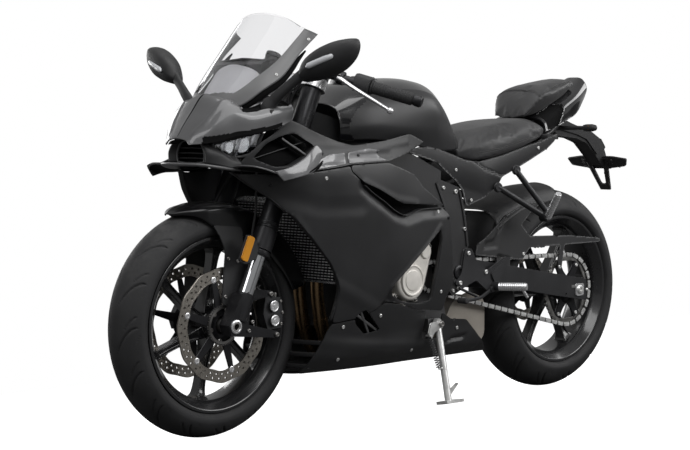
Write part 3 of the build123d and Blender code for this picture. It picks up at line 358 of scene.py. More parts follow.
def soften(node, material, width, angle=30, flat=3, also=()):
    """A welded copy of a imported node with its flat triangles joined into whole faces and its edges
    rounded. It stands for the node, so the solid and the look stay the same size."""
    source = frame["nodes"][node]
    mesh = source.data.copy()
    grown = bmesh.new()
    grown.from_mesh(mesh)
    bmesh.ops.remove_doubles(grown, verts=grown.verts, dist=1e-5)
    bmesh.ops.dissolve_limit(grown, angle_limit=math.radians(flat), verts=grown.verts, edges=grown.edges)
    grown.to_mesh(mesh)
    grown.free()
    mesh.materials.clear()
    mesh.materials.append(material)
    mesh.polygons.foreach_set("material_index", np.zeros(len(mesh.polygons), np.int32))
    if "custom_normal" in mesh.attributes:
        mesh.attributes.remove(mesh.attributes["custom_normal"])
    obj = bpy.data.objects.new(node + "_finished", mesh)
    finish_piece(obj, source["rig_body"], bevel=width, angle=angle)
    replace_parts(obj, node, *also)
    return obj


# %% [markdown]
# ## Finishes
# A finish is a Principled shader plus a little variation that the eye reads as the real thing: cast grain,
# moulding grain, drawn scratches, fine dust on upward faces. Those effects are shared by many finishes, so
# each is a node group with named sockets, and every material feeds it its own numbers. The shader itself and
# its plain numbers stay in the material.

# %% Node helpers
def node_group(name, inputs, outputs):
    """An empty shader node group with float or colour sockets; inputs and outputs are name: default."""
    tree = bpy.data.node_groups.new(name, "ShaderNodeTree")
    for direction, sockets in (("INPUT", inputs), ("OUTPUT", outputs)):
        for label, default in sockets.items():
            if default == "vector":
                tree.interface.new_socket(label, in_out=direction, socket_type="NodeSocketVector")
            elif isinstance(default, tuple):
                socket = tree.interface.new_socket(label, in_out=direction, socket_type="NodeSocketColor")
                if direction == "INPUT":
                    socket.default_value = (*default, 1)
            else:
                socket = tree.interface.new_socket(label, in_out=direction, socket_type="NodeSocketFloat")
                if direction == "INPUT":
                    socket.default_value = default
    return tree, tree.nodes.new("NodeGroupInput"), tree.nodes.new("NodeGroupOutput")


def add_node(tree, kind, values=(), links=()):
    """A node with socket values {name or number: value}, settings {"_name": value} and links {socket:
    source}."""
    made_node = tree.nodes.new(kind)
    for key, value in dict(values).items():
        if isinstance(key, str) and key.startswith("_"):
            setattr(made_node, key[1:], value)
    for key, value in dict(values).items():
        if not (isinstance(key, str) and key.startswith("_")):
            made_node.inputs[key].default_value = value
    for key, source in dict(links).items():
        tree.links.new(source, made_node.inputs[key])
    return made_node


def mapped(tree, value, low, high, out_low=0.0, out_high=1.0):
    """A value carried from one range to another, held at the ends."""
    return add_node(tree, "ShaderNodeMapRange", {1: low, 2: high, 3: out_low, 4: out_high},
                    {0: value}).outputs[0]


# %% Shared effects
grain, g_in, g_out = node_group("moulded grain",
                                {"Place": "vector", "Grain size": 900.0, "Patch size": 6.0},
                                {"Grain": 0.0, "Patches": 0.0})
fine = add_node(grain, "ShaderNodeTexNoise", {"Detail": 3.0, "Roughness": 0.6},
                {"Vector": g_in.outputs["Place"], "Scale": g_in.outputs["Grain size"]})
broad = add_node(grain, "ShaderNodeTexNoise", {"Detail": 4.0, "Roughness": 0.55},
                 {"Vector": g_in.outputs["Place"], "Scale": g_in.outputs["Patch size"]})
grain.links.new(fine.outputs[0], g_out.inputs["Grain"])
grain.links.new(mapped(grain, broad.outputs[0], 0.3, 0.7), g_out.inputs["Patches"])

drawn, d_in, d_out = node_group("drawn scratches",
                                {"Place": "vector", "Stretch along": 14.0, "Stretch across": 900.0},
                                {"Scratches": 0.0})
split = add_node(drawn, "ShaderNodeSeparateXYZ", {}, {0: d_in.outputs["Place"]})
along = add_node(drawn, "ShaderNodeMath", {"_operation": "MULTIPLY"},
                 {0: split.outputs[0], 1: d_in.outputs["Stretch along"]})
over_y = add_node(drawn, "ShaderNodeMath", {"_operation": "MULTIPLY"},
                  {0: split.outputs[1], 1: d_in.outputs["Stretch across"]})
over_z = add_node(drawn, "ShaderNodeMath", {"_operation": "MULTIPLY"},
                  {0: split.outputs[2], 1: d_in.outputs["Stretch across"]})
stretched = add_node(drawn, "ShaderNodeCombineXYZ", {},
                     {0: along.outputs[0], 1: over_y.outputs[0], 2: over_z.outputs[0]})
lines = add_node(drawn, "ShaderNodeTexNoise", {"Scale": 1.0, "Detail": 2.0},
                 {"Vector": stretched.outputs[0]})
drawn.links.new(mapped(drawn, lines.outputs[0], 0.3, 0.7), d_out.inputs["Scratches"])

dust, u_in, u_out = node_group("settled dust",
                               {"Place": "vector", "Amount": 0.1, "Clean": (0.02, 0.02, 0.02),
                                "Dust": (0.16, 0.155, 0.15)}, {"Colour": (0, 0, 0), "Mask": 0.0})
facing = add_node(dust, "ShaderNodeNewGeometry")
upward = add_node(dust, "ShaderNodeSeparateXYZ", {}, {0: facing.outputs["Normal"]})
cloud = add_node(dust, "ShaderNodeTexNoise", {"Scale": 22.0, "Detail": 6.0, "Roughness": 0.7},
                 {"Vector": u_in.outputs["Place"]})
lying = add_node(dust, "ShaderNodeMath", {"_operation": "MULTIPLY"},
                 {0: mapped(dust, upward.outputs[2], 0.1, 1.0),
                  1: mapped(dust, cloud.outputs[0], 0.42, 0.75)})
lying = add_node(dust, "ShaderNodeMath", {"_operation": "MULTIPLY"},
                 {0: lying.outputs[0], 1: u_in.outputs["Amount"]})
tinted = add_node(dust, "ShaderNodeMix", {"_data_type": "RGBA"},
                  {0: lying.outputs[0], 6: u_in.outputs["Clean"], 7: u_in.outputs["Dust"]})
dust.links.new(tinted.outputs[2], u_out.inputs["Colour"])
dust.links.new(lying.outputs[0], u_out.inputs["Mask"])


# %% One recipe for most finishes
def finish(name, colour, rough=0.5, metal=0.0, coat=0.0, coat_rough=0.05, spread=0.15, grain_size=900.0,
           bump=0.05, patch=6.0, rough_spread=0.08, scratches=None, dusty=0.0, sheen=0.0, specular=0.5,
           bump_depth=0.0004):
    """Principled finish: colour varies by +-spread in broad patches, roughness by rough_spread, fine
    grain is a small bump, optional drawn scratches (along, across) and dust on upward faces."""
    material = bpy.data.materials.new(name)
    material.use_nodes = True
    tree = material.node_tree
    shader = tree.nodes["Principled BSDF"]
    place = tree.nodes.new("ShaderNodeTexCoord").outputs["Object"]
    speckle = add_node(tree, "ShaderNodeGroup", {"_node_tree": grain}, {})
    tree.links.new(place, speckle.inputs["Place"])
    speckle.inputs["Grain size"].default_value, speckle.inputs["Patch size"].default_value = grain_size, patch
    c = np.array(colour)
    tone = add_node(tree, "ShaderNodeMix",
                    {"_data_type": "RGBA", 6: (*(c * (1 - spread)), 1),
                     7: (*np.minimum(c * (1 + spread), 1), 1)}, {0: speckle.outputs["Patches"]})
    hue, rough_by = tone.outputs[2], speckle.outputs["Patches"]
    height = speckle.outputs["Grain"]
    if scratches:
        marks = add_node(tree, "ShaderNodeGroup", {"_node_tree": drawn}, {})
        tree.links.new(place, marks.inputs["Place"])
        marks.inputs["Stretch along"].default_value, marks.inputs["Stretch across"].default_value = scratches
        rough_by = height = marks.outputs["Scratches"]
    if dusty:
        film = add_node(tree, "ShaderNodeGroup", {"_node_tree": dust}, {})
        tree.links.new(place, film.inputs["Place"])
        tree.links.new(hue, film.inputs["Clean"])
        film.inputs["Amount"].default_value = dusty
        hue = film.outputs["Colour"]
    tree.links.new(hue, shader.inputs["Base Color"])
    tree.links.new(mapped(tree, rough_by, 0, 1, max(rough - rough_spread, 0.02), rough + rough_spread),
                   shader.inputs["Roughness"])
    if bump:
        lift = add_node(tree, "ShaderNodeBump", {"Strength": bump, "Distance": bump_depth},
                        {"Height": height})
        tree.links.new(lift.outputs[0], shader.inputs["Normal"])
    shader.inputs["Metallic"].default_value = metal
    shader.inputs["Coat Weight"].default_value = coat
    shader.inputs["Coat Roughness"].default_value = coat_rough
    shader.inputs["Sheen Weight"].default_value = sheen
    shader.inputs["Specular IOR Level"].default_value = specular
    return material


# %% [markdown]
# The machine is nearly all black, so what separates its pieces is gloss. Lacquered parts mirror the lights in
# thin bright streaks, the big side panels are a satin that spreads light into soft grey, moulded parts are
# duller again with a visible grain, and rubber is the dullest. Bare metals are few and stand out.

# %% The finishes
fender_paint = finish("near black lacquer", (0.003, 0.003, 0.0035), rough=0.3, coat=0.35, coat_rough=0.1,
                      bump=0.006, spread=0.2, specular=0.3)
gloss = finish("gloss black lacquer", (0.006, 0.006, 0.007), rough=0.16, coat=1.0, coat_rough=0.03,
               bump=0.006, spread=0.2, rough_spread=0.03, dusty=0.05)
# Partly painted highlight: a metallic copy of the black lacquer with a far lighter base, so the nose, the cowl
# bands and the winglet read as lit; it is also a real coated paint that mirrors the lights.
lightened_lacquer = finish("dark metallic lacquer", (0.095, 0.095, 0.098), rough=0.38, metal=0.35, coat=0.8,
                    coat_rough=0.06, grain_size=2200, bump=0.01, spread=0.06)
satin = finish("satin charcoal lacquer", (0.018, 0.018, 0.019), rough=0.42, coat=0.1, coat_rough=0.35,
               grain_size=1500, specular=0.32, bump=0.06, rough_spread=0.05, dusty=0.1)
moulded = finish("moulded black plastic", (0.014, 0.014, 0.015), rough=0.58, grain_size=1300, bump=0.25,
                 spread=0.2, dusty=0.15)
# Painted shade: a near-black, barely reflecting finish put in recesses, openings and interiors so that they
# read as the shade that falls there.
painted_shade_black = finish("unlit dark plastic", (0.003, 0.003, 0.0032), rough=0.85, bump=0.1, spread=0.2,
                   specular=0.12)
rubber = finish("tyre rubber", (0.020, 0.020, 0.021), rough=0.72, grain_size=700, bump=0.35, spread=0.22,
                patch=16, dusty=0.35, specular=0.35)
grip_rubber = finish("grip rubber", (0.018, 0.018, 0.019), rough=0.75, grain_size=1400, bump=0.3)
wheel_paint = finish("wheel gloss black", (0.012, 0.012, 0.013), rough=0.26, coat=0.6, coat_rough=0.1,
                     grain_size=1200, bump=0.05, dusty=0.12)
frame_paint = finish("frame powder coat", (0.018, 0.018, 0.019), rough=0.45, grain_size=1100,
                     bump=0.2, dusty=0.12)
cast_black = finish("black cast alloy", (0.035, 0.035, 0.037), rough=0.5, metal=0.6, grain_size=750,
                    bump=0.4, dusty=0.1)
cast_grey = finish("grey cast alloy", (0.12, 0.12, 0.122), rough=0.52, metal=0.85, grain_size=650,
                   bump=0.45, dusty=0.15)
anodised = finish("black anodised tube", (0.020, 0.020, 0.022), rough=0.3, metal=0.5,
                  grain_size=1500, bump=0.04)
chrome = finish("hard chrome", (0.66, 0.67, 0.69), rough=0.1, metal=1.0, scratches=(700.0, 20.0),
                bump=0.02, spread=0.04, rough_spread=0.05)
polished = finish("polished alloy", (0.82, 0.82, 0.83), rough=0.26, metal=0.85, scratches=(40.0, 700.0),
                  bump=0.05, spread=0.06)
zinc = finish("zinc plated steel", (0.72, 0.72, 0.71), rough=0.36, metal=0.8, grain_size=900, bump=0.15,
              spread=0.18, patch=30)
steel = finish("bare steel", (0.36, 0.35, 0.34), rough=0.36, metal=1.0, grain_size=1100, bump=0.12,
               spread=0.15, patch=25)
disc_steel = finish("ground disc steel", (0.36, 0.335, 0.30), rough=0.34, metal=1.0,
                    scratches=(260.0, 260.0), bump=0.08, spread=0.1)
chain_steel = finish("oiled chain steel", (0.28, 0.275, 0.265), rough=0.35, metal=1.0, bump=0.2,
                     spread=0.3, patch=40)
bronze = finish("heat tinted header", (0.30, 0.20, 0.11), rough=0.32, metal=1.0, bump=0.1, spread=0.35,
                patch=14, scratches=(60.0, 500.0))
muffler_skin = finish("satin muffler shell", (0.36, 0.33, 0.29), rough=0.5, metal=0.5, bump=0.15,
                      spread=0.12, patch=12)
alloy_fin = finish("radiator fin alloy", (0.80, 0.80, 0.80), rough=0.4, metal=0.3, bump=0.15)
vinyl = finish("seat vinyl", (0.022, 0.022, 0.023), rough=0.52, grain_size=520, bump=0.55, spread=0.15,
               sheen=0.1, dusty=0.1, bump_depth=0.0006)
amber = finish("amber reflector", (0.62, 0.25, 0.008), rough=0.2, coat=0.8, grain_size=500,
               bump=0.4, spread=0.1)
red_lens = finish("red lamp lens", (0.30, 0.006, 0.008), rough=0.12, coat=1.0, grain_size=300, bump=0.1)
mirror_face = finish("mirror glass", (0.78, 0.79, 0.80), rough=0.03, metal=1.0, bump=0.0, spread=0.02,
                     rough_spread=0.01)
chrome_bowl = finish("lamp reflector", (0.34, 0.345, 0.355), rough=0.16, metal=1.0, bump=0.03, spread=0.05)
display = finish("instrument glass", (0.010, 0.012, 0.014), rough=0.08, coat=1.0, bump=0.0)
spring_paint = finish("spring enamel", (0.035, 0.035, 0.038), rough=0.3, coat=0.5, bump=0.05)
print("finishes", len(bpy.data.materials))

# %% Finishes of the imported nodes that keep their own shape
by_slot = {"tyre": rubber, "wheel_black": wheel_paint, "disc_steel": disc_steel, "sprocket": steel,
           "fork": anodised, "caliper": cast_black, "axle": steel, "clamp_silver": polished,
           "bar_black": anodised, "lever_silver": polished, "gloss_black": gloss, "tank_black": gloss,
           "cap": anodised, "frame_grey": frame_paint, "engine": cast_grey, "radiator": alloy_fin,
           "exhaust": bronze, "swingarm": cast_black, "chain": chain_steel, "seat": vinyl,
           "lamp_red": red_lens, "matt_black": moulded, "shock": steel, "rearset": cast_grey,
           "satin_panel": satin, "screen": moulded, "lamp_clear": chrome_bowl, "mirror_shell": moulded,
           "stand_steel": zinc}
for entry in record["subparts"]:
    shown = frame["nodes"][entry["node"]].data
    shown.materials.clear()
    shown.materials.append(by_slot[entry["material_slot"]])

# %% [markdown]
# ## Small hardware
# Bolts, washers and caps repeat all over the machine. One bolt is a turned profile with a hexagon socket,
# made once at the origin and then copied to wherever an array of places and directions puts it.

# %% Bolts
def socket_bolt(radius=5.0, height=4.0):
    """A round head on +Z with a six-sided socket: rings from the rim inwards, the inner ones hexagonal."""
    count = 12
    angle = np.linspace(0, 2 * np.pi, count, endpoint=False)
    ring = np.stack([np.cos(angle), np.sin(angle), np.zeros(count)], -1)
    hexagon = ring * (0.5 * np.cos(np.pi / 6)
                      / np.cos((angle + np.pi / 6) % (np.pi / 3) - np.pi / 6))[:, None]
    levels = [(ring * 1.0, 0), (ring * 1.0, height * 0.7), (ring * 0.82, height), (hexagon * 1.02, height),
              (hexagon * 0.96, height * 0.35)]
    points = np.stack([shape * radius + (0, 0, z) for shape, z in levels], 1)
    return join(grid(points, wrap_u=True, flip=False), cap(points[:, -1]))


def at_places(shape, places, directions):
    """Copies of a shape made along +Z, moved to places and turned to point along directions."""
    places = np.atleast_2d(np.asarray(places, float))
    directions = np.broadcast_to(np.asarray(directions, float), places.shape)
    return copies(shape, basis(directions), places)


def ring_of(count, radius, centre, y, start=0.0):
    """Places on a circle in side view round a centre (x, z), at one Y."""
    angle = np.radians(start) + np.arange(count) * 2 * np.pi / count
    return np.stack([centre[0] + radius * np.cos(angle), np.full(count, float(y)),
                     centre[1] + radius * np.sin(angle)], -1)


def side_turns(degrees):
    """Rotation matrices that turn side-view shapes by angles: X towards Z."""
    a = np.radians(np.atleast_1d(degrees))
    zero, one = np.zeros_like(a), np.ones_like(a)
    return np.stack([np.stack([np.cos(a), zero, -np.sin(a)], -1), np.stack([zero, one, zero], -1),
                     np.stack([np.sin(a), zero, np.cos(a)], -1)], 1)


# %% [markdown]
# ## Tyres
# A sport tyre is a round-crowned ring with long slanting water grooves on each side of a plain centre
# band. The grooves could be painted as bump, but at the edge of the tyre they show in the outline. So the
# whole tyre is one fine grid, and the depth of every groove is a formula in the distance round the tyre
# and the distance from its crown, taken off each point along the surface's own normal.

# %% Tyre profile and tread
def arc_through(a, b, c, count):
    """Points on the circle through three points, from the first to the last."""
    a, b, c = (np.asarray(p, float) for p in (a, b, c))
    m = np.array([b - a, c - a])
    centre = a + np.linalg.solve(m, 0.5 * (m ** 2).sum(1))
    angles = [np.arctan2(*(p - centre)[::-1]) for p in (a, b, c)]
    first = np.unwrap([angles[0], angles[1]])[1] - angles[0]
    last = np.unwrap([angles[1], angles[2]])[1] - angles[1]
    t = angles[0] + np.linspace(0, 1, count) * (first + last)
    return centre + np.linalg.norm(a - centre) * np.stack([np.cos(t), np.sin(t)], -1)


def tread_depth(around, across, pitch, reach):
    """Groove depth in mm: each side has long grooves, whose middle line bends backwards with the distance
    from the crown, and a short sipe between two of them; the two sides are half a pitch apart."""
    depth = np.zeros_like(around)
    for start, end, lean_a, lean_b, shift, width, deep in ((0.10, 0.92, 1.15, -0.55, 0.0, 3.4, 3.2),
                                                           (0.42, 0.86, 0.55, -0.2, 0.5, 2.3, 2.2),
                                                           (0.84, 0.99, 0.2, 0, 0.25, 1.6, 1.2)):
        t = (np.abs(across) / reach - start) / (end - start)
        inside = (t > 0) & (t < 1)
        middle = pitch * (lean_a * t + lean_b * t * t + shift + np.where(across > 0, 0.0, 0.5))
        off = (around - middle + pitch / 2) % pitch - pitch / 2
        half = width * np.clip(np.minimum(5 * t, 5 * (1 - t)), 0, 1) + 0.2
        depth = np.maximum(depth, np.where(inside, deep * np.clip(1.6 - 1.2 * np.abs(off) / half, 0, 1), 0))
    return depth


def tyre(axle, radius, half, bead, pitches, count=840):
    """The tyre as one closed grid: round the axle by the profile, with grooves and two raised sidewall
    lines."""
    shoulder = radius - 0.70 * half
    side = arc_through((bead, 229.4), (half - 1, shoulder - 14), (half, shoulder), 10)[:-1]
    crown = arc_through((half, shoulder), (0, radius), (-half, shoulder), 57)
    outer = np.concatenate([side, crown, side[::-1] * (-1, 1)])
    line = np.concatenate([[(bead - 8, 218), (bead, 219)], outer, [(-bead, 219), (8 - bead, 218)]])
    normal = unit(np.gradient(line, axis=0))[:, ::-1] * (1, -1)
    step = np.linalg.norm(np.diff(line, axis=0), axis=1)
    across = np.concatenate([[0], np.cumsum(step)])
    across -= across[len(across) // 2]
    angle = np.arange(count) * 2 * np.pi / count
    reach = 0.97 * np.abs(across[len(side) + 2])
    depth = tread_depth((angle * radius)[:, None] + 0 * across, across + 0 * angle[:, None],
                        2 * np.pi * radius / pitches, reach)
    ridge = 0.5 * (np.abs(line[:, 1] - 236) < 2.2) + 0.4 * (np.abs(line[:, 1] - (shoulder - 9)) < 2.0)
    sink = depth[..., None] - ridge[:, None]
    flat = line[None] + normal * -np.sign((normal * (line - (0, 200))).sum(-1, keepdims=True)) * sink
    flat[..., 1] = np.minimum(flat[..., 1], radius)
    points = np.stack([axle[0] + flat[..., 1] * np.cos(angle)[:, None], axle[1] + flat[..., 0],
                       axle[2] + flat[..., 1] * np.sin(angle)[:, None]], -1)
    return grid(points, wrap_u=True, wrap_v=True, flip=False)


front_tyre = piece("front_tyre_treaded", (tyre(FRONT_AXLE, 298, 61, 50, 15), rubber), "front_wheel",
                   smooth_by=50)
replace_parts(front_tyre, "front_tyre")
rear_tyre = piece("rear_tyre_treaded", (tyre(REAR_AXLE, 310, 80, 64, 14), rubber), "rear_wheel",
                  smooth_by=50)
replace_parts(rear_tyre, "rear_tyre")
print("tyre faces", len(front_tyre.data.polygons), len(rear_tyre.data.polygons))

# %% [markdown]
# ## Wheels
# Each wheel is one casting: a barrel, six channel-section spokes that trail the direction of travel, and
# a hub. The spoke is a grid from hub to rim whose section is a flat U on each face, wide where it joins
# the hub and the barrel. Cast corners are rounded by a bevel at the end.

# %% Cast wheel
def spoke():
    """One spoke along +X: sections across it at rising radius, each an H shape with rounded-off flanges."""
    radius = np.array([26, 40, 60, 90, 130, 165, 186, 199.0])
    width = np.array([34, 31, 26, 21.5, 19.5, 21, 27, 44])
    middle = np.array([-10, -10, -8.6, -6.4, -3.6, -1.6, -0.6, 0])
    high = np.array([24, 21, 17.5, 15.2, 14.4, 15, 17.5, 26])
    groove = np.array([0, 1, 5, 7, 7.5, 6.5, 2.5, 0])
    w, h, g = width / 2, high, groove
    corner = [(-w, -h), (-w * 0.72, -h), (-w * 0.5, -h + g), (w * 0.5, -h + g), (w * 0.72, -h), (w, -h),
              (w, -h * 0.35), (w, h * 0.35), (w, h), (w * 0.72, h), (w * 0.5, h - g), (-w * 0.5, h - g),
              (-w * 0.72, h), (-w, h), (-w, h * 0.35), (-w, -h * 0.35)]
    section = np.array([[u, v] for u, v in corner]).transpose(2, 0, 1)
    points = np.stack([np.broadcast_to(radius[:, None], section.shape[:2]), section[..., 1],
                       section[..., 0] + middle[:, None]], -1)
    points = smooth(points, 22)
    return join(grid(points, wrap_v=True), cap(points[-1]), cap(points[0], flip=True))


def wheel(axle, half, hub_half, first):
    """Barrel, hub and six spokes about an axle."""
    barrel = [(229.4, -half), (229.4, 6 - half), (216, 7 - half), (216, 22 - half), (204, 30 - half),
              (204, half - 30), (216, half - 22), (216, half - 7), (229.4, half - 6), (229.4, half),
              (226, half), (221, half), (213, half - 9), (207, half - 16), (199, half - 25),
              (197, half - 30), (197, 30 - half), (199, 25 - half), (207, 16 - half), (213, 9 - half),
              (221, -half), (226, -half)]
    hub = [(24, -hub_half), (34, -hub_half), (34, 12 - hub_half), (30, 16 - hub_half), (30, -26),
           (33, -22), (33, 22), (30, 26), (30, hub_half - 16), (34, hub_half - 12), (34, hub_half),
           (24, hub_half), (22, hub_half - 4), (22, 4 - hub_half)]
    ring = turned(barrel[::-1], axle, count=120, closed=True)
    middle = turned(hub[::-1], axle, count=64, closed=True)
    arms = copies(spoke(), side_turns(first + 60 * np.arange(6)), np.broadcast_to(axle, (6, 3)))
    return join(ring, middle, arms)


for name, axle, half, hub_half, first, body in (("front_rim", FRONT_AXLE, 56, 50, 38, "front_wheel"),
                                                ("rear_rim", REAR_AXLE, 70, 60, 57, "rear_wheel")):
    valve = join(bar(axle + (-185, 0, 70), axle + (-160, 4, 62), 3.2),
                 bar(axle + (-166, 3, 64), axle + (-158, 4.3, 61.4), 4.2))
    cast = piece(name + "_cast", [(wheel(axle, half, hub_half, first), wheel_paint), (valve, steel)],
                 body, bevel=1.6, angle=30, smooth_by=35)
    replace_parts(cast, name)
    print(name, "faces", len(cast.data.polygons))

# %% [markdown]
# ## Brake discs
# A disc is a thin ground ring with a wavy edge and rows of cooling holes. Each hole sits in its own tile:
# a ring of quads from the hole's edge out to the tile's border. Rows of tiles are bent round the axle, so
# eighty holes cost a few dozen faces each and no boolean is needed. A black star carries the ring on
# bright bobbins.

# %% Drilled ring, carrier and bobbins
def tile_row(radius, depth, count, hole, y_low, y_high, shift):
    """Tiles round a circle, each a 16-sided hole joined to the tile's border on both faces, with the
    hole's wall."""
    angle = np.linspace(0, 2 * np.pi, 16, endpoint=False)
    way = np.stack([np.cos(angle), np.sin(angle)], -1)
    border = way / np.abs(way).max(-1, keepdims=True) * 0.5
    width = 2 * np.pi * radius / count
    edge = way * hole / np.array([width, depth])
    rings = [(border, y_low), (edge, y_low), (edge, y_high), (border, y_high)]
    tile = np.stack([np.concatenate([flat, np.full((16, 1), y)], -1) for flat, y in rings], 1)
    a = (np.arange(count) + shift)[:, None, None] * 2 * np.pi / count + tile[..., 0] * 2 * np.pi / count
    r = radius + tile[..., 1] * depth + 0 * a
    points = np.stack([r * np.cos(a), tile[..., 2] + 0 * a, r * np.sin(a)], -1)
    shapes = grid(points[0], wrap_u=True, flip=True)[1][0]
    start = (np.arange(count) * 64)[:, None, None]
    return points.reshape(-1, 3), [(shapes[None] + start).reshape(-1, 4)]


def plain_ring(inner, outer, y_low, y_high, count=216):
    """A flat ring whose inner and outer radius are functions of the angle, closed on its two edges and
    faces."""
    angle = np.arange(count) * 2 * np.pi / count
    r_in, r_out = inner(angle), outer(angle)
    edge = 0.6
    rings = [(r_in, y_low), (r_out - edge, y_low), (r_out, y_low + edge), (r_out, y_high - edge),
             (r_out - edge, y_high), (r_in, y_high)]
    points = np.stack([np.stack([r * np.cos(angle), np.full(count, y), r * np.sin(angle)], -1)
                       for r, y in rings], 1)
    return grid(points, wrap_u=True, wrap_v=True, flip=True)


def steady(radius):
    """A radius that is the same at every angle, for plain_ring."""
    return lambda angle: radius + 0 * angle


def drilled_ring(radius, y_mid, thick=5.0, waves=12):
    """Inner strip, two staggered rows of holes and an outer strip with a wavy edge."""
    low, high = y_mid - thick / 2, y_mid + thick / 2
    mid = radius - 18.5
    inner = plain_ring(lambda a: radius - 33 + 1.3 * np.cos(waves * a), steady(mid - 10.5), low, high)
    outer = plain_ring(steady(mid + 11.5), lambda a: radius - 1.8 + 1.8 * np.cos(waves * a), low, high)
    return join(inner, tile_row(mid - 5, 11, 40, 3.3, low, high, 0.0),
                tile_row(mid + 6, 11, 40, 3.3, low, high, 0.5), outer)


def brake_disc(name, axle, radius, y_mid, hub_face, side, body, arms_from=15):
    """Ring, star carrier, hub flange with bolts, and bobbins, about one axle."""
    out = y_mid + side * 2.5
    arm = rounded([(30, -14), (50, -11), (radius - 33, -6), (radius - 26, -8), (radius - 26, 8),
                   (radius - 33, 6), (50, 11), (30, 14)], 5, 4)
    low, high = sorted((y_mid - side * 2.3, y_mid + side * 2.3))
    star = copies(slab(arm, low, high, 0.8), side_turns(arms_from + 60 * np.arange(6)), np.zeros((6, 3)))
    eye = turned([(24, low), (50, low), (52, low + 1), (52, high - 1), (50, high), (24, high)][::-1],
                 (0, 0, 0), count=64, closed=True)
    flange = turned([(22.4, 0), (34, 0), (34, abs(y_mid - side * 2.4 - hub_face)),
                     (22.4, abs(y_mid - side * 2.4 - hub_face))][::-1], (0, hub_face, 0),
                    axis=(0, side, 0), count=48, closed=True)
    lug_at = ring_of(6, radius - 28.5, (0, 0), out - side * 1.2, arms_from)
    lug = turned([(8.5, 0), (8.5, 1.6), (7.2, 2.2), (4.4, 2.2), (4.0, 1.4)], (0, 0, 0), (0, 0, 1), 20)
    bolts = at_places(socket_bolt(6, 3.6), ring_of(6, 41, (0, 0), out - side * 0.4, arms_from + 30),
                      (0, side, 0))
    shapes = [(drilled_ring(radius, y_mid), disc_steel), (join(star, eye, flange), anodised),
              (at_places(lug, lug_at, (0, side, 0)), polished), (bolts, steel)]
    shapes = [((points + (axle[0], 0, axle[2]), faces), material) for (points, faces), material in shapes]
    disc = piece(name + "_drilled", shapes, body, smooth_by=30)
    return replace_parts(disc, name) or disc


brake_disc("front_disc_left", FRONT_AXLE, 150, 68, 50, 1, "front_wheel")
brake_disc("front_disc_right", FRONT_AXLE, 150, -68, -50, -1, "front_wheel")
brake_disc("rear_disc", REAR_AXLE, 110, -72, -60, -1, "rear_wheel")

teeth = at_places((np.array([(x, y, z) for x in (-2.1, 2.1) for y in (-3.5, 3.5) for z in (0, 1.6)],
                            float), [np.array([(0, 1, 3, 2), (4, 6, 7, 5), (0, 4, 5, 1), (2, 3, 7, 6),
                                               (1, 5, 7, 3), (0, 2, 6, 4)])]),
                  np.zeros((1, 3)), (0, 0, 1))
tooth_angle = np.arange(48) * 7.5
comb = copies((teeth[0] @ np.array([[0, 0, 1], [0, 1, 0], [1, 0, 0]]) + (50.5, 0, 0), teeth[1]),
              side_turns(tooth_angle), np.zeros((48, 3)))
tone = [((comb[0] * (1, 0.45, 1) + (FRONT_AXLE[0], 72.2, FRONT_AXLE[2]), comb[1]), steel),
        (turned([(42, 71), (49, 71), (49, 73.6), (42, 73.6)][::-1], (FRONT_AXLE[0], 0, FRONT_AXLE[2]),
                count=64, closed=True), steel)]
piece("wheel_speed_ring", tone, "front_wheel")

# %% [markdown]
# ## Fork, clamps and caliper
# The fork legs are simple turned parts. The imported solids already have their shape, so they get rounded edges
# and a black anodised finish. What they lack is the bright sliding tube, its dust seal, the collars and the
# pinch bolts, which are turned profiles about the steering-parallel axis of each leg.

# %% The steering's own frame
RAKE = math.radians(23.5)
STEER_UP = np.array([-math.sin(RAKE), 0, math.cos(RAKE)])
STEER_AHEAD = np.array([math.cos(RAKE), 0, math.sin(RAKE)])
FORK_FOOT = FRONT_AXLE - STEER_AHEAD * 14
FORK_Y = 103


def on_fork(along, ahead=0.0, y=0.0):
    """A point so far up the fork from its foot, ahead of it and to the left."""
    return FORK_FOOT + STEER_UP * along + STEER_AHEAD * ahead + (0, y, 0)


def both(shape):
    """The shape and its mirror image."""
    return join(shape, mirror(shape))


# %% Fork legs
for side in ("left", "right"):
    soften(f"fork_{side}", anodised, 2.5)
sleeve = turned([(20.75, 0), (20.75, 120)], on_fork(93, 0, FORK_Y), STEER_UP, 40)
seal = turned([(26.6, 0), (29.4, 1), (30.2, 5), (30.2, 9), (27.4, 11), (27.2, 15), (22, 17)],
              on_fork(198, 0, FORK_Y), STEER_UP * 1.0, 40)
collar = turned([(27, 0), (29.0, 1), (29.0, 6), (28.2, 7), (28.2, 10), (29.0, 11), (29.0, 16), (27, 17)],
                on_fork(274, 0, FORK_Y), STEER_UP, 40)
foot_nut = at_places(socket_bolt(9, 5), [on_fork(18, -2, FORK_Y)], -STEER_UP)
top_nut = at_places(turned([(24, 0), (24, 5), (22, 7), (13, 7), (12, 4), (4, 4)], (0, 0, 0), (0, 0, 1),
                           32), [on_fork(737, 0, FORK_Y)], STEER_UP)
pinch = at_places(socket_bolt(5, 5), [on_fork(5, -30, 122.2), on_fork(30, -32, 122.2)], (0, 1, 0))
piece("fork_tubes_bright", [(both(sleeve), chrome)], "steering", smooth_by=50)
piece("fork_seals", [(both(join(seal, collar)), anodised), (both(join(foot_nut, pinch)), steel),
                     (both(top_nut), anodised)], "steering", bevel=0.5)

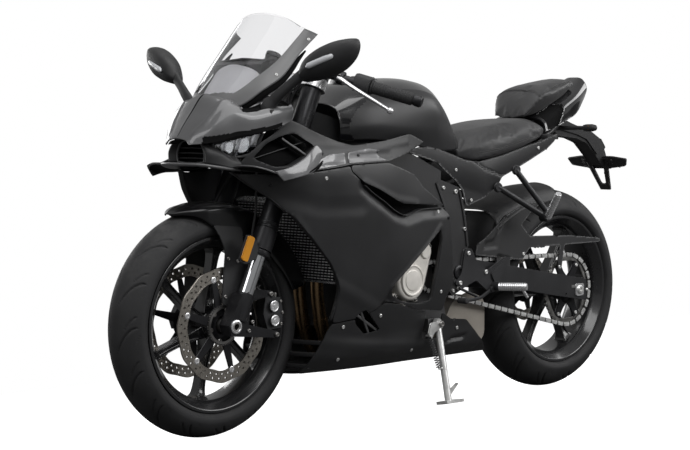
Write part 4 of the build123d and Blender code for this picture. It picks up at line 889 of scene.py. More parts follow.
reflector = slab(rounded([(-10, -32), (10, -32), (10, 32), (-10, 32)], 5, 4), 0, 6, 1.2)
holder = slab(rounded([(-38, -14), (-12, -38), (13, -38), (13, 34), (-12, 34), (-38, 14)], 6, 4),
              -4, 0.6, 0.6)
tilt = side_turns(math.degrees(RAKE))
pair = []
for y, way in ((122, 1), (-122, -1)):
    place = on_fork(197, 60, y)
    for shape, material in ((reflector, amber), (holder, moulded)):
        shape = shape if way > 0 else (shape[0] * (1, -1, 1), [f[:, ::-1] for f in shape[1]])
        pair.append((copies(shape, tilt, [place]), material))
    pair.append((bar(on_fork(197, 24, way * FORK_Y), on_fork(197, 30, way * 121), 6), moulded))
piece("fork_reflectors", pair, "steering", bevel=0.5)

# %% [markdown]
# The calipers are radial four-pot blocks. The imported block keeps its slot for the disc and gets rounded
# edges; pale piston caps, mounting bolts, a bleed nipple and a banjo bolt for the hose make it a caliper.

# %% Calipers
CALIPER = (553.0, 322.0)
for side in ("left", "right"):
    soften(f"front_caliper_{side}", cast_black, 3.5)
soften("rear_caliper", cast_black, 3)
pot = turned([(15.2, 0), (15.2, 1.6), (13.4, 3.2), (12.4, 3.2), (11.6, 1.8), (5, 1.8), (4.4, 3.0)],
             (0, 0, 0), (0, 0, 1), 36)
hardware = [(both(at_places(pot,
                            [(CALIPER[0] - 2, 109, CALIPER[1] + 19),
                             (CALIPER[0] - 5, 109, CALIPER[1] - 19)], (0, 1, 0))), polished),
            (both(at_places(socket_bolt(6.5, 6),
                            [(CALIPER[0] + 24, 122.2, CALIPER[1] + 54),
                             (CALIPER[0] + 2, 122.2, CALIPER[1] - 54)], (0, 1, 0))), steel),
            (both(at_places(socket_bolt(4, 3),
                            [(CALIPER[0] - 30, 102.3, CALIPER[1] + 30),
                             (CALIPER[0] - 32, 102.3, CALIPER[1] - 30),
                             (CALIPER[0] - 36, 102.3, CALIPER[1])], (0, 1, 0))), steel),
            (both(bar((CALIPER[0] - 20, 92, CALIPER[1] + 40), (CALIPER[0] - 20, 92, CALIPER[1] + 52),
                      3.4)), steel),
            (both(turned([(7.5, 0), (7.5, 3), (5.5, 4), (5.5, 11)], (CALIPER[0] + 6, 92, CALIPER[1] + 44),
                         (0, 0, 1), 20)), polished)]
piece("caliper_hardware", hardware, "steering", bevel=0.4)
piece("rear_caliper_hardware",
      [(at_places(socket_bolt(5, 4), [(-612, -100.5, 402), (-572, -100.5, 392)], (0, -1, 0)), steel)],
      "chassis")

# %% [markdown]
# ## Front axle and fender
# The axle is hollow with a bright collar at each end. The fender is a thin shell in near-black lacquer that
# follows the tyre to a point in front, with a blade on each side that reaches down to the fork.

# %% Axle ends
axle_end = turned([(8.3, 0), (12, 0), (17, -1), (18, 0), (18, 3), (16, 4.5), (13, 4.5), (12.2, 3.8),
                   (8.3, 3.8)][::-1], (695, 122, 298), (0, 1, 0), 40, closed=True)
soften("front_axle", steel, 0.8)
piece("axle_collars", [(both(axle_end), polished)], "steering")


# %% Front fender
def fender_shell():
    """A grid round the wheel (front tip to rear edge) by across it: the section is a rounded box that narrows
    towards the pointed front, and its side edges rise along a curve."""
    angle = np.linspace(66, 163, 72)
    turn = np.radians(angle)
    drop = np.interp(angle, [66, 70, 74, 77, 81, 85, 92, 118, 141, 163],
                     [7, 13, 22, 33, 52, 69, 79, 80, 78, 60])
    half = np.interp(angle, [66, 68, 72, 76, 80, 86, 96, 163], [10, 25, 46, 60, 68, 71, 72, 72])
    s = np.linspace(-1, 1, 41)
    a = np.abs(s)[None]
    h, d = half[:, None], drop[:, None]
    over = np.clip(a / 0.55, 0, 1)
    y = h * np.where(a < 0.55, 0.83 * over,
                     0.83 + 0.17 * np.sin(np.clip((a - 0.55) / 0.2, 0, 1) * np.pi / 2))
    fall = np.where(a < 0.55, 7 * over ** 2,
                    7 + 12 * (1 - np.cos(np.clip((a - 0.55) / 0.2, 0, 1) * np.pi / 2))) * h / 72
    fall = fall + np.clip((a - 0.75) / 0.25, 0, 1) * np.maximum(d - 19 * h / 72, 0)
    crease = 1.6 * np.exp(-((a - 0.3) / 0.05) ** 2)
    r = 316 - fall + crease * h / 72
    y = np.sign(s)[None] * y
    return grid(np.stack([695 + r * np.cos(turn)[:, None], y, 298 + r * np.sin(turn)[:, None]], -1),
                flip=True)


blade = rounded([(638, 548), (634, 500), (612, 470), (622, 405), (650, 352), (702, 350), (698, 418),
                 (691, 490), (711, 530), (733, 556)], 12, 6)
blade_left = slab(blade, 74.4, 78.4, 1.4)
rivets = at_places(socket_bolt(5, 3),
                   [(660, 78.4, 372), (694, 78.4, 372), (652, 78.4, 462), (684, 78.4, 470)], (0, 1, 0))
fender = piece("front_fender_shell", [(fender_shell(), fender_paint)], "steering",
               wall=3.2, bevel=1.0, smooth_by=50)
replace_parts(fender, "front_fender")
piece("front_fender_blades", [(both(blade_left), moulded), (both(rivets), steel)], "steering",
      bevel=0.6)

# %% [markdown]
# ## Clamps, bars and levers
# The top clamp is a bright machined casting with weight-saving windows, and it shows from behind the
# screen. The bars are black tubes with ribbed rubber grips; the levers are forged and polished, so they
# are lofts with an oval section and a ball at the end.

# %% Clamp details
soften("triple_clamp", polished, 2.0)
pocket = rounded([(-34, 30), (-6, 34), (6, 70), (-10, 78), (-34, 46)], 6, 4)
pocket_left = np.array([on_fork(700.3, ahead, y) for ahead, y in pocket])
# The clamp's windows are flat caps in painted-shade black: painted shade for the depth of the holes.
windows = join(cap(pocket_left, flip=True), mirror(cap(pocket_left, flip=True)))
stem_nut = turned([(20, 0), (20, 10), (17, 13), (9, 13), (8, 8)], on_fork(712, -24), STEER_UP, 6)
lock = turned([(19, 0), (19, 14), (15, 16), (12, 16), (11, 12)], on_fork(700, 18), STEER_UP, 32)
piece("clamp_details", [(windows, painted_shade_black), (stem_nut, steel), (lock, anodised)], "steering",
      bevel=0.5)

BAR_ROOT = on_fork(719, 0, 130)
BAR_END = np.array([273.0, 345, 881])
BAR_WAY = unit(BAR_END - BAR_ROOT)
BAR_AHEAD = -unit(np.cross((0, 0, 1), BAR_WAY))
BAR_DOWN = np.cross(BAR_WAY, BAR_AHEAD)
BAR_LENGTH = np.linalg.norm(BAR_END - BAR_ROOT)


def at_bar(along, ahead=0.0, below=0.0):
    """A point so far out along the left bar, ahead of it and below it."""
    return BAR_ROOT + BAR_WAY * along + BAR_AHEAD * ahead + BAR_DOWN * below


def handlebar():
    """Bar, ribbed grip, switch pod with buttons and bar-end weight, all turned about the bar's line."""
    start = BAR_LENGTH - 122
    ribs = np.linspace(start + 2, BAR_LENGTH - 8, 150)
    wave = 16.2 + 0.8 * (np.sin((ribs - start) * 2 * np.pi / 6) > -0.2)
    grip = [(12, start), (20, start), (20.5, start + 3),
            (17, start + 5)] + list(zip(wave[4:], ribs[4:])) + [(12, BAR_LENGTH - 4)]
    end = [(8, BAR_LENGTH - 4), (14, BAR_LENGTH - 3), (16, BAR_LENGTH + 3), (16, BAR_LENGTH + 15),
           (12, BAR_LENGTH + 20), (5, BAR_LENGTH + 20)]
    tube = turned([(11, -6), (11, start)], BAR_ROOT, BAR_WAY, 28)
    pod = swept([at_bar(a) for a in (start - 47, start - 45, start - 24, start - 4, start - 2)],
                rounded([(-21, -24), (18, -26), (25, 0), (18, 22), (-21, 22), (-26, 0)], 8, 4), BAR_DOWN,
                scale=[0.86, 1, 1, 1, 0.86])
    clamp = turned([(27, 0), (35, 0), (35, 28), (27, 28)][::-1], on_fork(705, 0, FORK_Y), STEER_UP,
                   40, closed=True)
    ear = swept([at_bar(a) for a in (-14, 4, 14)], circle(15, 20), BAR_DOWN, scale=[1, 1, 0.8])
    buttons = at_places(turned([(5, 0), (5, 3), (3.5, 4)], (0, 0, 0), (0, 0, 1), 16),
                        [at_bar(start - 34, -21, 6), at_bar(start - 22, -22, -4),
                         at_bar(start - 12, -21, 8)], -BAR_AHEAD)
    split = at_places(socket_bolt(4.5, 4), [on_fork(719, -30, 118), on_fork(719, 30, 118)], (0, 1, 0))
    return [(join(tube, clamp, ear), anodised), (turned(grip, BAR_ROOT, BAR_WAY, 32), grip_rubber),
            (turned(end, BAR_ROOT, BAR_WAY, 32), anodised), (pod, moulded), (buttons, red_lens),
            (split, steel)]


def mirrored_parts(parts):
    """The same (shape, material) pairs on the right side."""
    return [(mirror(shape), material) for shape, material in parts]


def hand_lever():
    """Blade through stations along the bar with a flat oval section, ball end, and a perch clamped to the
    bar."""
    stations = np.array([(50, 34, 0, 8, 7), (64, 38, 2, 8, 6), (84, 44, 8, 6, 5.5),
                         (130, 54, 20, 7.4, 5.4), (180, 62, 32, 6.8, 5), (216, 60, 42, 6, 4.8)])
    fine = smooth(stations, 40)
    path = np.array([at_bar(a, b, c) for a, b, c in fine[:, :3]])
    flat = circle(1, 16)[None] * fine[:, None, 3:5]
    ball = at_bar(216, 60, 42)
    profile = [(9 * math.cos(a), 9 * math.sin(a))
               for a in np.linspace(-math.pi / 2 + 0.05, math.pi / 2 - 0.05, 14)]
    perch = join(turned([(11.4, 0), (18, 0), (18.5, 2), (18.5, 16), (18, 18), (11.4, 18)][::-1],
                        at_bar(39), BAR_WAY, 32, closed=True),
                 swept([at_bar(48, 10, 0), at_bar(48, 26, 0), at_bar(50, 40, 0)],
                       rounded([(-8, -8), (8, -8), (8, 8), (-8, 8)], 3, 3), BAR_DOWN))
    hinge = at_places(socket_bolt(6, 3), [at_bar(50, 36, -8)], -BAR_DOWN)
    return [(join(swept(path, flat, BAR_DOWN), turned(profile, ball, BAR_WAY, 24)), polished),
            (perch, anodised), (hinge, steel)]


left_bar, left_lever = handlebar(), hand_lever()
for name, parts in (("handlebar_left", left_bar), ("handlebar_right", mirrored_parts(left_bar))):
    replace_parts(piece(name + "_grips", parts, "steering", bevel=0.4), name)
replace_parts(piece("clutch_lever_forged", left_lever, "steering", bevel=0.4), "clutch_lever")

RESERVOIR = np.array([347.0, -140, 972])
stalk = bar(at_bar(48, 0, -17) * (1, -1, 1), RESERVOIR, 5)
cup = [(turned([(3, 0), (19, 0), (21, 3), (21, 30), (19, 31)], RESERVOIR, STEER_UP, 36), moulded),
       (turned([(19, 31), (22, 31.5), (22, 42), (20.5, 44), (4, 44)], RESERVOIR, STEER_UP, 36), anodised)]
parts = mirrored_parts(left_lever) + [(stalk, anodised)] + cup
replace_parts(piece("brake_lever_forged", parts, "steering", bevel=0.4), "brake_lever")

# %% [markdown]
# ## Side panels
# The side of the fairing is one smooth body cut into panels. Its shape is a table of half widths at stations
# along the machine and levels up it, joined by cubics. Each panel is then cut from that surface by an outline
# in side view. A square net of points is laid over the outline, the points near the border are moved onto it,
# and only the cells inside are kept, so any outline or window works and the surface stays even.

# %% The body's half width
LEVELS = [152, 186, 250, 330, 420, 520, 620, 700, 770, 840]
STATIONS = [-300, -100, 40, 180, 320, 440, 540, 620, 700]
HALF_WIDTHS = [   # a row for each station, from the lowest level to the highest
    (84, 120, 138, 152, 156, 154, 150, 146, 142, 140), (92, 130, 146, 160, 170, 172, 168, 164, 160, 156),
    (98, 138, 154, 174, 188, 190, 186, 175, 168, 160), (108, 150, 166, 184, 196, 202, 203, 195, 176, 166),
    (104, 146, 162, 180, 194, 204, 210, 205, 182, 172), (90, 134, 154, 172, 186, 200, 212, 215, 188, 178),
    (75, 125, 145, 160, 178, 195, 208, 212, 190, 180), (60, 110, 130, 140, 150, 165, 176, 182, 165, 150),
    (50, 80, 90, 100, 100, 100, 100, 108, 104, 98)]


def half_width(x, z):
    """Distance of the body's surface from the centre plane: cubic along the stations, then up the levels."""
    x, z = np.asarray(x, float), np.asarray(z, float)
    table = np.array(HALF_WIDTHS, float).T
    columns = hermite(STATIONS, np.broadcast_to(table, x.shape + table.shape),
                      np.broadcast_to(x[..., None], x.shape + (10,)))
    return hermite(LEVELS, columns, z)


# %% Cutting a panel
def nearest_on(polygon, points):
    """Nearest border point of a polygon to each point, its distance, and whether the point is inside."""
    a, b = polygon, np.roll(polygon, -1, 0)
    run = b - a
    t = ((points[:, None] - a) * run).sum(-1) / np.maximum((run ** 2).sum(-1), 1e-9)
    foot = a + np.clip(t, 0, 1)[..., None] * run
    gap = np.linalg.norm(points[:, None] - foot, axis=-1)
    best = gap.argmin(1)
    rise = (a[:, 1] > points[:, 1:2]) != (b[:, 1] > points[:, 1:2])
    cross = a[:, 0] + (points[:, 1:2] - a[:, 1]) * run[:, 0] / np.where(run[:, 1] == 0, 1e-9, run[:, 1])
    inside = (rise & (points[:, :1] < cross)).sum(1) % 2 == 1
    pick = np.arange(len(points))
    return foot[pick, best], gap[pick, best], inside


def cut_net(outline, windows=(), pitch=5.0):
    """A net of quads and triangles inside a plane outline and outside its windows. Points nearer to a border
    than about half a cell are moved onto it."""
    outline = np.asarray(outline, float)
    low, high = outline.min(0) - pitch, outline.max(0) + pitch
    u, v = np.arange(low[0], high[0] + pitch, pitch), np.arange(low[1], high[1] + pitch, pitch)
    flat = np.stack(np.meshgrid(u, v, indexing="ij"), -1)
    points = flat.reshape(-1, 2)
    foot, gap, inside = nearest_on(outline, points)
    depth = np.where(inside, gap, -gap)
    for window in windows:
        other, space, within = nearest_on(np.asarray(window, float), points)
        room = np.where(within, -space, space)
        nearer = room < depth
        foot, depth = np.where(nearer[:, None], other, foot), np.where(nearer, room, depth)
    snap = np.abs(depth) < 0.55 * pitch
    points = np.where(snap[:, None], foot, points)
    good = (depth > 0) | snap
    rows, cols = len(u), len(v)
    i, j = np.meshgrid(np.arange(rows - 1), np.arange(cols - 1), indexing="ij")
    cell = np.stack([i * cols + j, (i + 1) * cols + j, (i + 1) * cols + j + 1, i * cols + j + 1],
                    -1).reshape(-1, 4)
    count = good[cell].sum(1)
    quads = cell[count == 4]
    part = cell[count == 3]
    keep = good[part]
    triangles = part[keep].reshape(-1, 3)
    used = np.zeros(len(points), bool)
    used[quads.ravel()], used[triangles.ravel()] = True, True
    number = np.cumsum(used) - 1
    return points[used], [number[quads], number[triangles]]


def side_panel(outline, windows=(), pitch=5.0, sink=None, lift=0.0):
    """A panel cut from the body's left side; sink(x, z) gives how far the surface goes in, in mm."""
    flat, faces = cut_net(outline, windows, pitch)
    x, z = flat[:, 0], flat[:, 1]
    y = half_width(x, z) + lift - (sink(x, z) if sink else 0)
    return np.stack([x, y, z], -1), [block[:, ::-1] for block in faces]


def near_line(x, z, line, width):
    """One on a line through points in side view, falling smoothly to zero at a distance of width."""
    points = np.stack([x, z], -1)
    line = np.asarray(line, float)
    a, b = line[:-1], line[1:]
    t = np.clip(((points[:, None] - a) * (b - a)).sum(-1) / ((b - a) ** 2).sum(-1), 0, 1)
    gap = np.linalg.norm(points[:, None] - (a + t[..., None] * (b - a)), axis=-1).min(1)
    f = np.clip(1 - gap / width, 0, 1)
    return f * f * (3 - 2 * f)


def within(x, z, polygon, soft):
    """One inside a polygon, falling smoothly to zero towards its border over the given width."""
    _, gap, inside = nearest_on(np.asarray(polygon, float), np.stack([x, z], -1))
    f = np.clip(gap / soft, 0, 1) * inside
    return f * f * (3 - 2 * f)


# %% [markdown]
# The panels follow the seams of the real one: a satin upper cowl with a duct beside the lamp and two
# gloss bands, whose lighter metallic lacquer paints in part of their highlight, a satin vent panel, the big
# satin lower panel with a window for the engine cover, and a belly pan. The openings are backed by sheets in
# painted-shade black. The lower panel dips behind the vent, and shallow facets and creases catch light the
# way stamped lines do.

# %% Panel outlines
FRONT_EDGE = [(699, 692), (658, 653), (625, 628), (592, 597), (568, 582), (535, 549), (490, 512),
              (426, 454), (397, 410), (386, 378), (388, 345), (399, 294)]
DUCT = rounded([(662, 728), (630, 766), (590, 786), (553, 794), (524, 777), (489, 760), (533, 730),
                (576, 709), (618, 705)], 12, 5)
UPPER = rounded([(697, 697), (672, 734), (636, 772), (596, 800), (560, 826), (528, 814), (491, 799),
                 (439, 783), (398, 771), (346, 761), (309, 763), (210, 773), (102, 792), (44, 770),
                 (120, 740), (212, 718), (372, 711), (391, 708), (501, 697), (590, 688), (650, 692)],
                8, 4)
VENT_PANEL = rounded([(368, 708), (214, 714), (108, 683), (78, 660), (70, 648), (-30, 592), (100, 600),
                      (156, 602), (190, 612), (262, 644), (316, 661), (368, 693)], 7, 4)
LOWER = rounded([(690, 686), (650, 688), (590, 684), (501, 693), (391, 704), (373, 706), (371, 691),
                 (316, 656), (280, 633), (235, 609), (189, 583), (166, 575), (140, 570), (71, 584),
                 (-34, 586), (-58, 560), (-64, 521), (-72, 450), (-86, 372), (-60, 330), (-50, 292),
                 (60, 304), (150, 328), (209, 337), (272, 306), (315, 296), (396, 289)]
                + FRONT_EDGE[::-1][1:], 9, 4)
COVER_WINDOW = rounded([(-12, 529), (100, 448), (193, 376), (190, 350), (141, 329), (60, 318), (10, 326),
                        (4, 385), (-22, 500)], 14, 5)
BELLY_VENT = rounded([(314, 303), (281, 320), (258, 300), (211, 257), (272, 250), (313, 284)], 8, 4)
BELLY = rounded([(396, 285), (315, 292), (271, 302), (209, 333), (150, 324), (60, 300), (22, 296),
                 (22, 214), (-54, 214), (-54, 286), (-100, 264), (-170, 258), (-237, 205), (-312, 158),
                 (-316, 150), (446, 150), (444, 190), (423, 232)], 8, 4)
FACET = [(200, 372), (244, 316), (156, 331), (186, 350)]
LIP = [(-34, 586), (71, 584), (140, 570), (189, 583), (235, 609), (280, 633), (316, 656)]


def lower_sink(x, z):
    """The lower panel dips at the vent and in the facet, and is creased along two lines."""
    return (11 * near_line(x, z, LIP, 34) + 7 * within(x, z, FACET, 16)
            - 3.0 * near_line(x, z, [(560, 560), (420, 400), (245, 318)], 30)
            + 3.0 * near_line(x, z, [(640, 640), (480, 600), (330, 600)], 34)
            - 2.5 * near_line(x, z, [(190, 374), (40, 486), (-12, 532)], 16))


def upper_sink(x, z):
    """The upper cowl has a shallow trough along its lower edge and a crest above it."""
    return (2.5 * near_line(x, z, [(500, 716), (330, 730), (200, 735)], 16)
            - 1.5 * near_line(x, z, [(520, 752), (300, 748), (120, 770)], 14))


def belly_sink(x, z):
    """The belly has a scoop at its rear and a crease along its side."""
    scoop = [(-60, 186), (-110, 216), (-190, 222), (-176, 196)]
    return (9 * within(x, z, scoop, 14)
            - 3.0 * near_line(x, z, [(410, 240), (240, 214), (40, 196), (-240, 176)], 26))


upper_left = side_panel(UPPER, [DUCT], sink=upper_sink)
# The bands take the lighter metallic lacquer: a real gloss panel whose lighter base is in part a painted
# highlight.
BANDS = [rounded([(377, 714), (371, 741), (349, 745), (285, 753), (238, 748), (262, 739), (222, 721)],
                 5, 3),
         rounded([(502, 701), (500, 718), (446, 738), (384, 742), (390, 713)], 5, 3)]
gloss_highlight_bands = [side_panel(band, sink=upper_sink, lift=1.4) for band in BANDS]
vent_left = side_panel(
    VENT_PANEL, sink=lambda x, z: -2.0 * near_line(x, z, [(316, 661), (190, 612), (100, 600)], 18))
lower_left = side_panel(LOWER, [COVER_WINDOW, BELLY_VENT], pitch=5.0, sink=lower_sink)
belly_left = side_panel(BELLY, [BELLY_VENT], sink=belly_sink, lift=-1.0)


# %% Winglet, returns and painted-shade liners
def strip(line, inward, back=0.0, rows=4):
    """A return edge: the line of (x, z) points on the body turned inwards by a distance and back along X."""
    x, z = np.asarray(line, float).T
    y = half_width(x, z)
    t = np.linspace(0, 1, rows)[:, None]
    return grid(np.stack([x - back * t, y - 1.0 - inward * t, z + 0 * t], -1), flip=True)


BLADE = [   # rows from the leading edge backwards, each from the body out to the end plate
    [(700, 104, 706), (714, 150, 712), (713, 198, 712), (702, 233, 706), (682, 255, 696)],
    [(655, 140, 697), (660, 188, 700), (656, 224, 698), (650, 248, 692), (646, 264, 684)],
    [(600, 176, 690), (602, 208, 690), (602, 234, 688), (600, 252, 687), (600, 266, 689)],
    [(550, 196, 690), (552, 218, 692), (552, 238, 695), (552, 250, 699), (552, 261, 706)],
    [(508, 206, 694), (510, 218, 699), (510, 228, 705), (508, 236, 714), (506, 239, 724)]]
PLATE = [   # the end plate: its lower, middle and upper points from the front backwards
    [(661, 263, 673), (674, 260, 686), (684, 256, 698)],
    [(628, 269, 680), (634, 267, 695), (640, 262, 708)],
    [(590, 268, 687), (590, 265, 708), (588, 257, 729)],
    [(556, 262, 696), (556, 258, 722), (553, 249, 749)],
    [(528, 250, 713), (528, 246, 738), (526, 238, 762)],
    [(505, 238, 736), (504, 236, 746), (506, 233, 754)]]
blade, (blade_faces,) = grid(smooth(smooth(np.array(BLADE, float), 36), 30, axis=1), flip=True)
# Only the two leading rows of the blade keep the lacquer; the rest of its top is painted-shade black, painted
# shade for the inside of the scoop.
lead = blade_faces[:, 0] // 30 < 2
plate = grid(smooth(smooth(np.array(PLATE, float), 46), 14, axis=1))
winglet_left = [((blade, [blade_faces[lead]]), lightened_lacquer), ((blade, [blade_faces[~lead]]), painted_shade_black),
                (plate, lightened_lacquer)]
inner_front = strip(smooth(FRONT_EDGE, 60), 16, 6)
duct_wall = strip(np.concatenate([DUCT, DUCT[:1]])[::-1], 34, 10)
vent_wall = strip(smooth(LIP, 40)[::-1], 26, 0)
cover_wall = strip(np.concatenate([COVER_WINDOW, COVER_WINDOW[:1]])[::-1], 10, 0)


def shade_liner(outline, inward, pitch=14.0):
    """A sheet in painted-shade black behind an opening, so far inside the body's surface: painted shade for the
    dark inside.
    """
    flat, faces = cut_net(outline, (), pitch)
    x, z = flat.T
    return np.stack([x, half_width(x, z) - inward, z], -1), [block[:, ::-1] for block in faces]


vent_liner = shade_liner([(424, 704), (424, 662), (330, 634), (190, 560), (-30, 560), (-40, 600), (100, 640),
                    (230, 676), (330, 704)], 30)
duct_liner = shade_liner([(668, 722), (636, 778), (590, 800), (550, 806), (480, 764), (530, 716), (600, 694)], 40)
belly_liner = shade_liner([(330, 320), (270, 330), (200, 262), (200, 240), (280, 240), (326, 280)], 26)


def slats(places, tip, root, inward, width):
    """Flat bars across an opening, each from a side-view point to another, at a depth inside the surface."""
    bars = []
    for (x0, z0), (x1, z1) in places:
        ends = np.array([(x0, half_width(x0, z0) - inward, z0), (x1, half_width(x1, z1) - inward, z1)])
        bars.append(swept(smooth(ends, 6),
                          rounded([(-width, -tip), (width, -tip), (width, root), (-width, root)], 1.5, 3),
                          (0, 1, 0)))
    return join(*bars)


duct_bars = join(slats([((578, 778), (543, 753)), ((545, 756), (508, 730))], 9, 9, 22, 3),
                 slats([((672, 719), (509, 772))], 1.2, 1.2, 12, 1.2))
belly_bars = slats([((306, 306), (222, 258)), ((292, 314), (250, 252))], 3, 3, 9, 4)


def bolt_heads(spots, radius, lift=0.0):
    """Bolts on the body's surface at side-view places, pointing along the surface's outward way."""
    spots = np.asarray(spots, float)
    x, z = spots.T
    y = half_width(x, z)
    dx = (half_width(x + 2, z) - half_width(x - 2, z)) / 4
    dz = (half_width(x, z + 2) - half_width(x, z - 2)) / 4
    way = unit(np.stack([-dx, np.ones_like(x), -dz], -1))
    return at_places(socket_bolt(radius, 2.6), np.stack([x, y + lift - 0.4, z], -1), way)


bright_bolts = bolt_heads([(354, 276), (222, 298), (-30, 348), (-130, 236), (351, 186), (60, 188),
                           (0, 575), (470, 676)], 5.2)
small_bolts = bolt_heads([(-50, 556), (330, 735), (470, 740), (250, 745), (628, 660)], 4.2)

for side, flip in SIDES:
    cowl = [(flip(upper_left), satin), (flip(vent_left), satin)]
    cowl += [(flip(band), lightened_lacquer) for band in gloss_highlight_bands]
    piece(f"upper_cowl_{side}", cowl, "chassis", wall=3.5, bevel=1.1, smooth_by=50)
    wing = [(flip(shape), paint) for shape, paint in winglet_left]
    piece(f"winglet_{side}", wing, "chassis", wall=4.0, bevel=1.5, smooth_by=60)
    lower = piece(f"lower_panel_{side}", [(flip(lower_left), satin)], "chassis", wall=3.5,
                  bevel=1.2, smooth_by=50)
    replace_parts(lower, f"side_fairing_{side}")
    returns = [(flip(join(inner_front, duct_wall, vent_wall, cover_wall)), moulded)]
    piece(f"panel_returns_{side}", returns, "chassis", wall=1.6)
    # Painted shade: black sheets behind the vent, duct and belly openings.
    shade_liners = [(flip(join(vent_liner, duct_liner, belly_liner)), painted_shade_black)]
    piece(f"panel_shade_liners_{side}", shade_liners, "chassis", wall=1.5)
    piece(f"panel_bars_{side}", [(flip(join(duct_bars, belly_bars)), cast_grey)], "chassis",
          bevel=0.6)
    piece(f"panel_bolts_{side}", [(flip(bright_bolts), zinc), (flip(small_bolts), anodised)],
          "chassis")

# %% Belly pan
def belly_floor():
    """The pan's underside: from edge to edge across, dished downwards, along the whole belly."""
    x = np.linspace(444, -314, 90)
    w = half_width(x, np.full_like(x, 152.0)) - 1.5
    s = np.linspace(-1, 1, 25)
    z = 151 - 6.5 * (1 - s[None] ** 2) + 0 * x[:, None]
    return grid(np.stack([x[:, None] + 0 * s, w[:, None] * s, z], -1))


front_bars = [swept(smooth([(x, -half_width(x, z) + 6, z), (x + 18, 0, z - 4),
                            (x, half_width(x, z) - 6, z)], 24),
                    rounded([(-7, -6), (7, -6), (7, 6), (-7, 6)], 3, 3))
              for x, z in ((416, 236), (424, 204), (430, 172))]
belly = piece("belly_panels", [(join(belly_left, mirror(belly_left), belly_floor()), satin)], "chassis",
              wall=3.2, bevel=1.1, smooth_by=50)
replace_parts(belly, "belly_pan")
piece("belly_front_bars", [(join(*front_bars), moulded)], "chassis", bevel=0.8)
print("side panel faces", len(lower.data.polygons), "belly", len(belly.data.polygons))

# %% [markdown]
# ## Nose, intake and lamps
# The nose is a shell in metallic lacquer, lofted through cross sections, with a soft ridge on each side
# that runs back from its tip; the lacquer's base is lighter than the black elsewhere, which paints in part of
# the nose's lit look. A hollow beside the screen and the faces under the brow are painted-shade black,
# standing for the shade in them. Under its brow sit the lamps: a clear lens over a dark housing with two
# bright bowls. Between them the central air intake opens above a grey chin lip; its throat is painted-shade
# black for the shade inside.

# %% Nose shell
def half_loft(table, rows, cols, ridge=0.0, at=0.6, wide=0.07):
    """A symmetrical shell through half outlines listed from the centre out: smoothed both ways, raised along
    one line, and mirrored to the other side as part of the same grid."""
    points = np.array([[(x, y, z) for y, z in half] for x, half in table], float)
    whole = np.concatenate([points[:, :0:-1] * (1, -1, 1), points], 1)
    skin = smooth(smooth(whole, rows), 2 * cols - 1, axis=1)
    s = np.abs(np.linspace(-1, 1, 2 * cols - 1))
    crest_line = ridge * np.exp(-((s - at) / wide) ** 2)[None]
    skin[..., 2] += crest_line * np.clip(np.linspace(0, 6, rows), 0, 1)[:, None]
    return skin


NOSE = [(788, [(0, 776), (20, 774), (34, 770), (44, 760)]),
        (740, [(0, 838), (46, 832), (86, 810), (98, 768)]),
        (700, [(0, 884), (66, 872), (112, 840), (126, 782)]),
        (660, [(0, 872), (92, 864), (144, 838), (158, 790)]),
        (612, [(0, 864), (120, 868), (174, 850), (184, 806)]),
        (568, [(0, 884), (140, 882), (190, 860), (188, 826)])]
RECESS = [(674, 86), (678, 108), (682, 126), (655, 144), (612, 168), (577, 187), (566, 187), (566, 134),
          (598, 128), (640, 100)]
CREST = [(772, 48), (750, 63), (700, 77), (664, 86)]
BROW = ([600, 652, 698, 750], [819, 804, 794, 783])
nose_points = half_loft(NOSE, 90, 58)
crest = near_line(nose_points[..., 0].ravel(), np.abs(nose_points[..., 1]).ravel(), CREST, 12)
crest = crest.reshape(nose_points.shape[:2])
nose_points[..., 2] += 3.5 * crest
beak = np.clip((nose_points[..., 0] - 640) / 60, 0, 1) * np.clip((788 - nose_points[..., 0]) / 20, 0, 1)
nose_points[..., 2] += beak * (4.5 * np.exp(-np.abs(nose_points[..., 1]) / 14)
                               - 1.5 * np.exp(-(nose_points[..., 1] / 1.5) ** 2))
hollow = within(nose_points[..., 0].ravel(), np.abs(nose_points[..., 1]).ravel(), RECESS, 5)
nose_points[..., 2] -= 12 * hollow.reshape(nose_points.shape[:2])
points, (quads,) = grid(nose_points)
middle_of = points[quads].mean(1)
seam = (np.abs(quads[:, 0] % 115 - 56.5) < 1) & (middle_of[:, 0] > 700) & (middle_of[:, 0] < 785)
brow = ((middle_of[:, 2] < np.interp(middle_of[:, 0], *BROW)) & (middle_of[:, 0] > 600)
        & (np.abs(middle_of[:, 1]) > 70))
# Faces in the recess and under the brow take painted-shade black as painted shade; the seam faces take it as a
# dark joint.
deep = (hollow[quads].mean(1) > 0.55) | seam | brow
nose = piece("nose_shell", [((points, [quads[~deep]]), lightened_lacquer), ((points, [quads[deep]]), painted_shade_black)],
             "chassis", wall=4.0, bevel=1.0, smooth_by=60, weld=0.01)
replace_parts(nose, "nose_fairing")

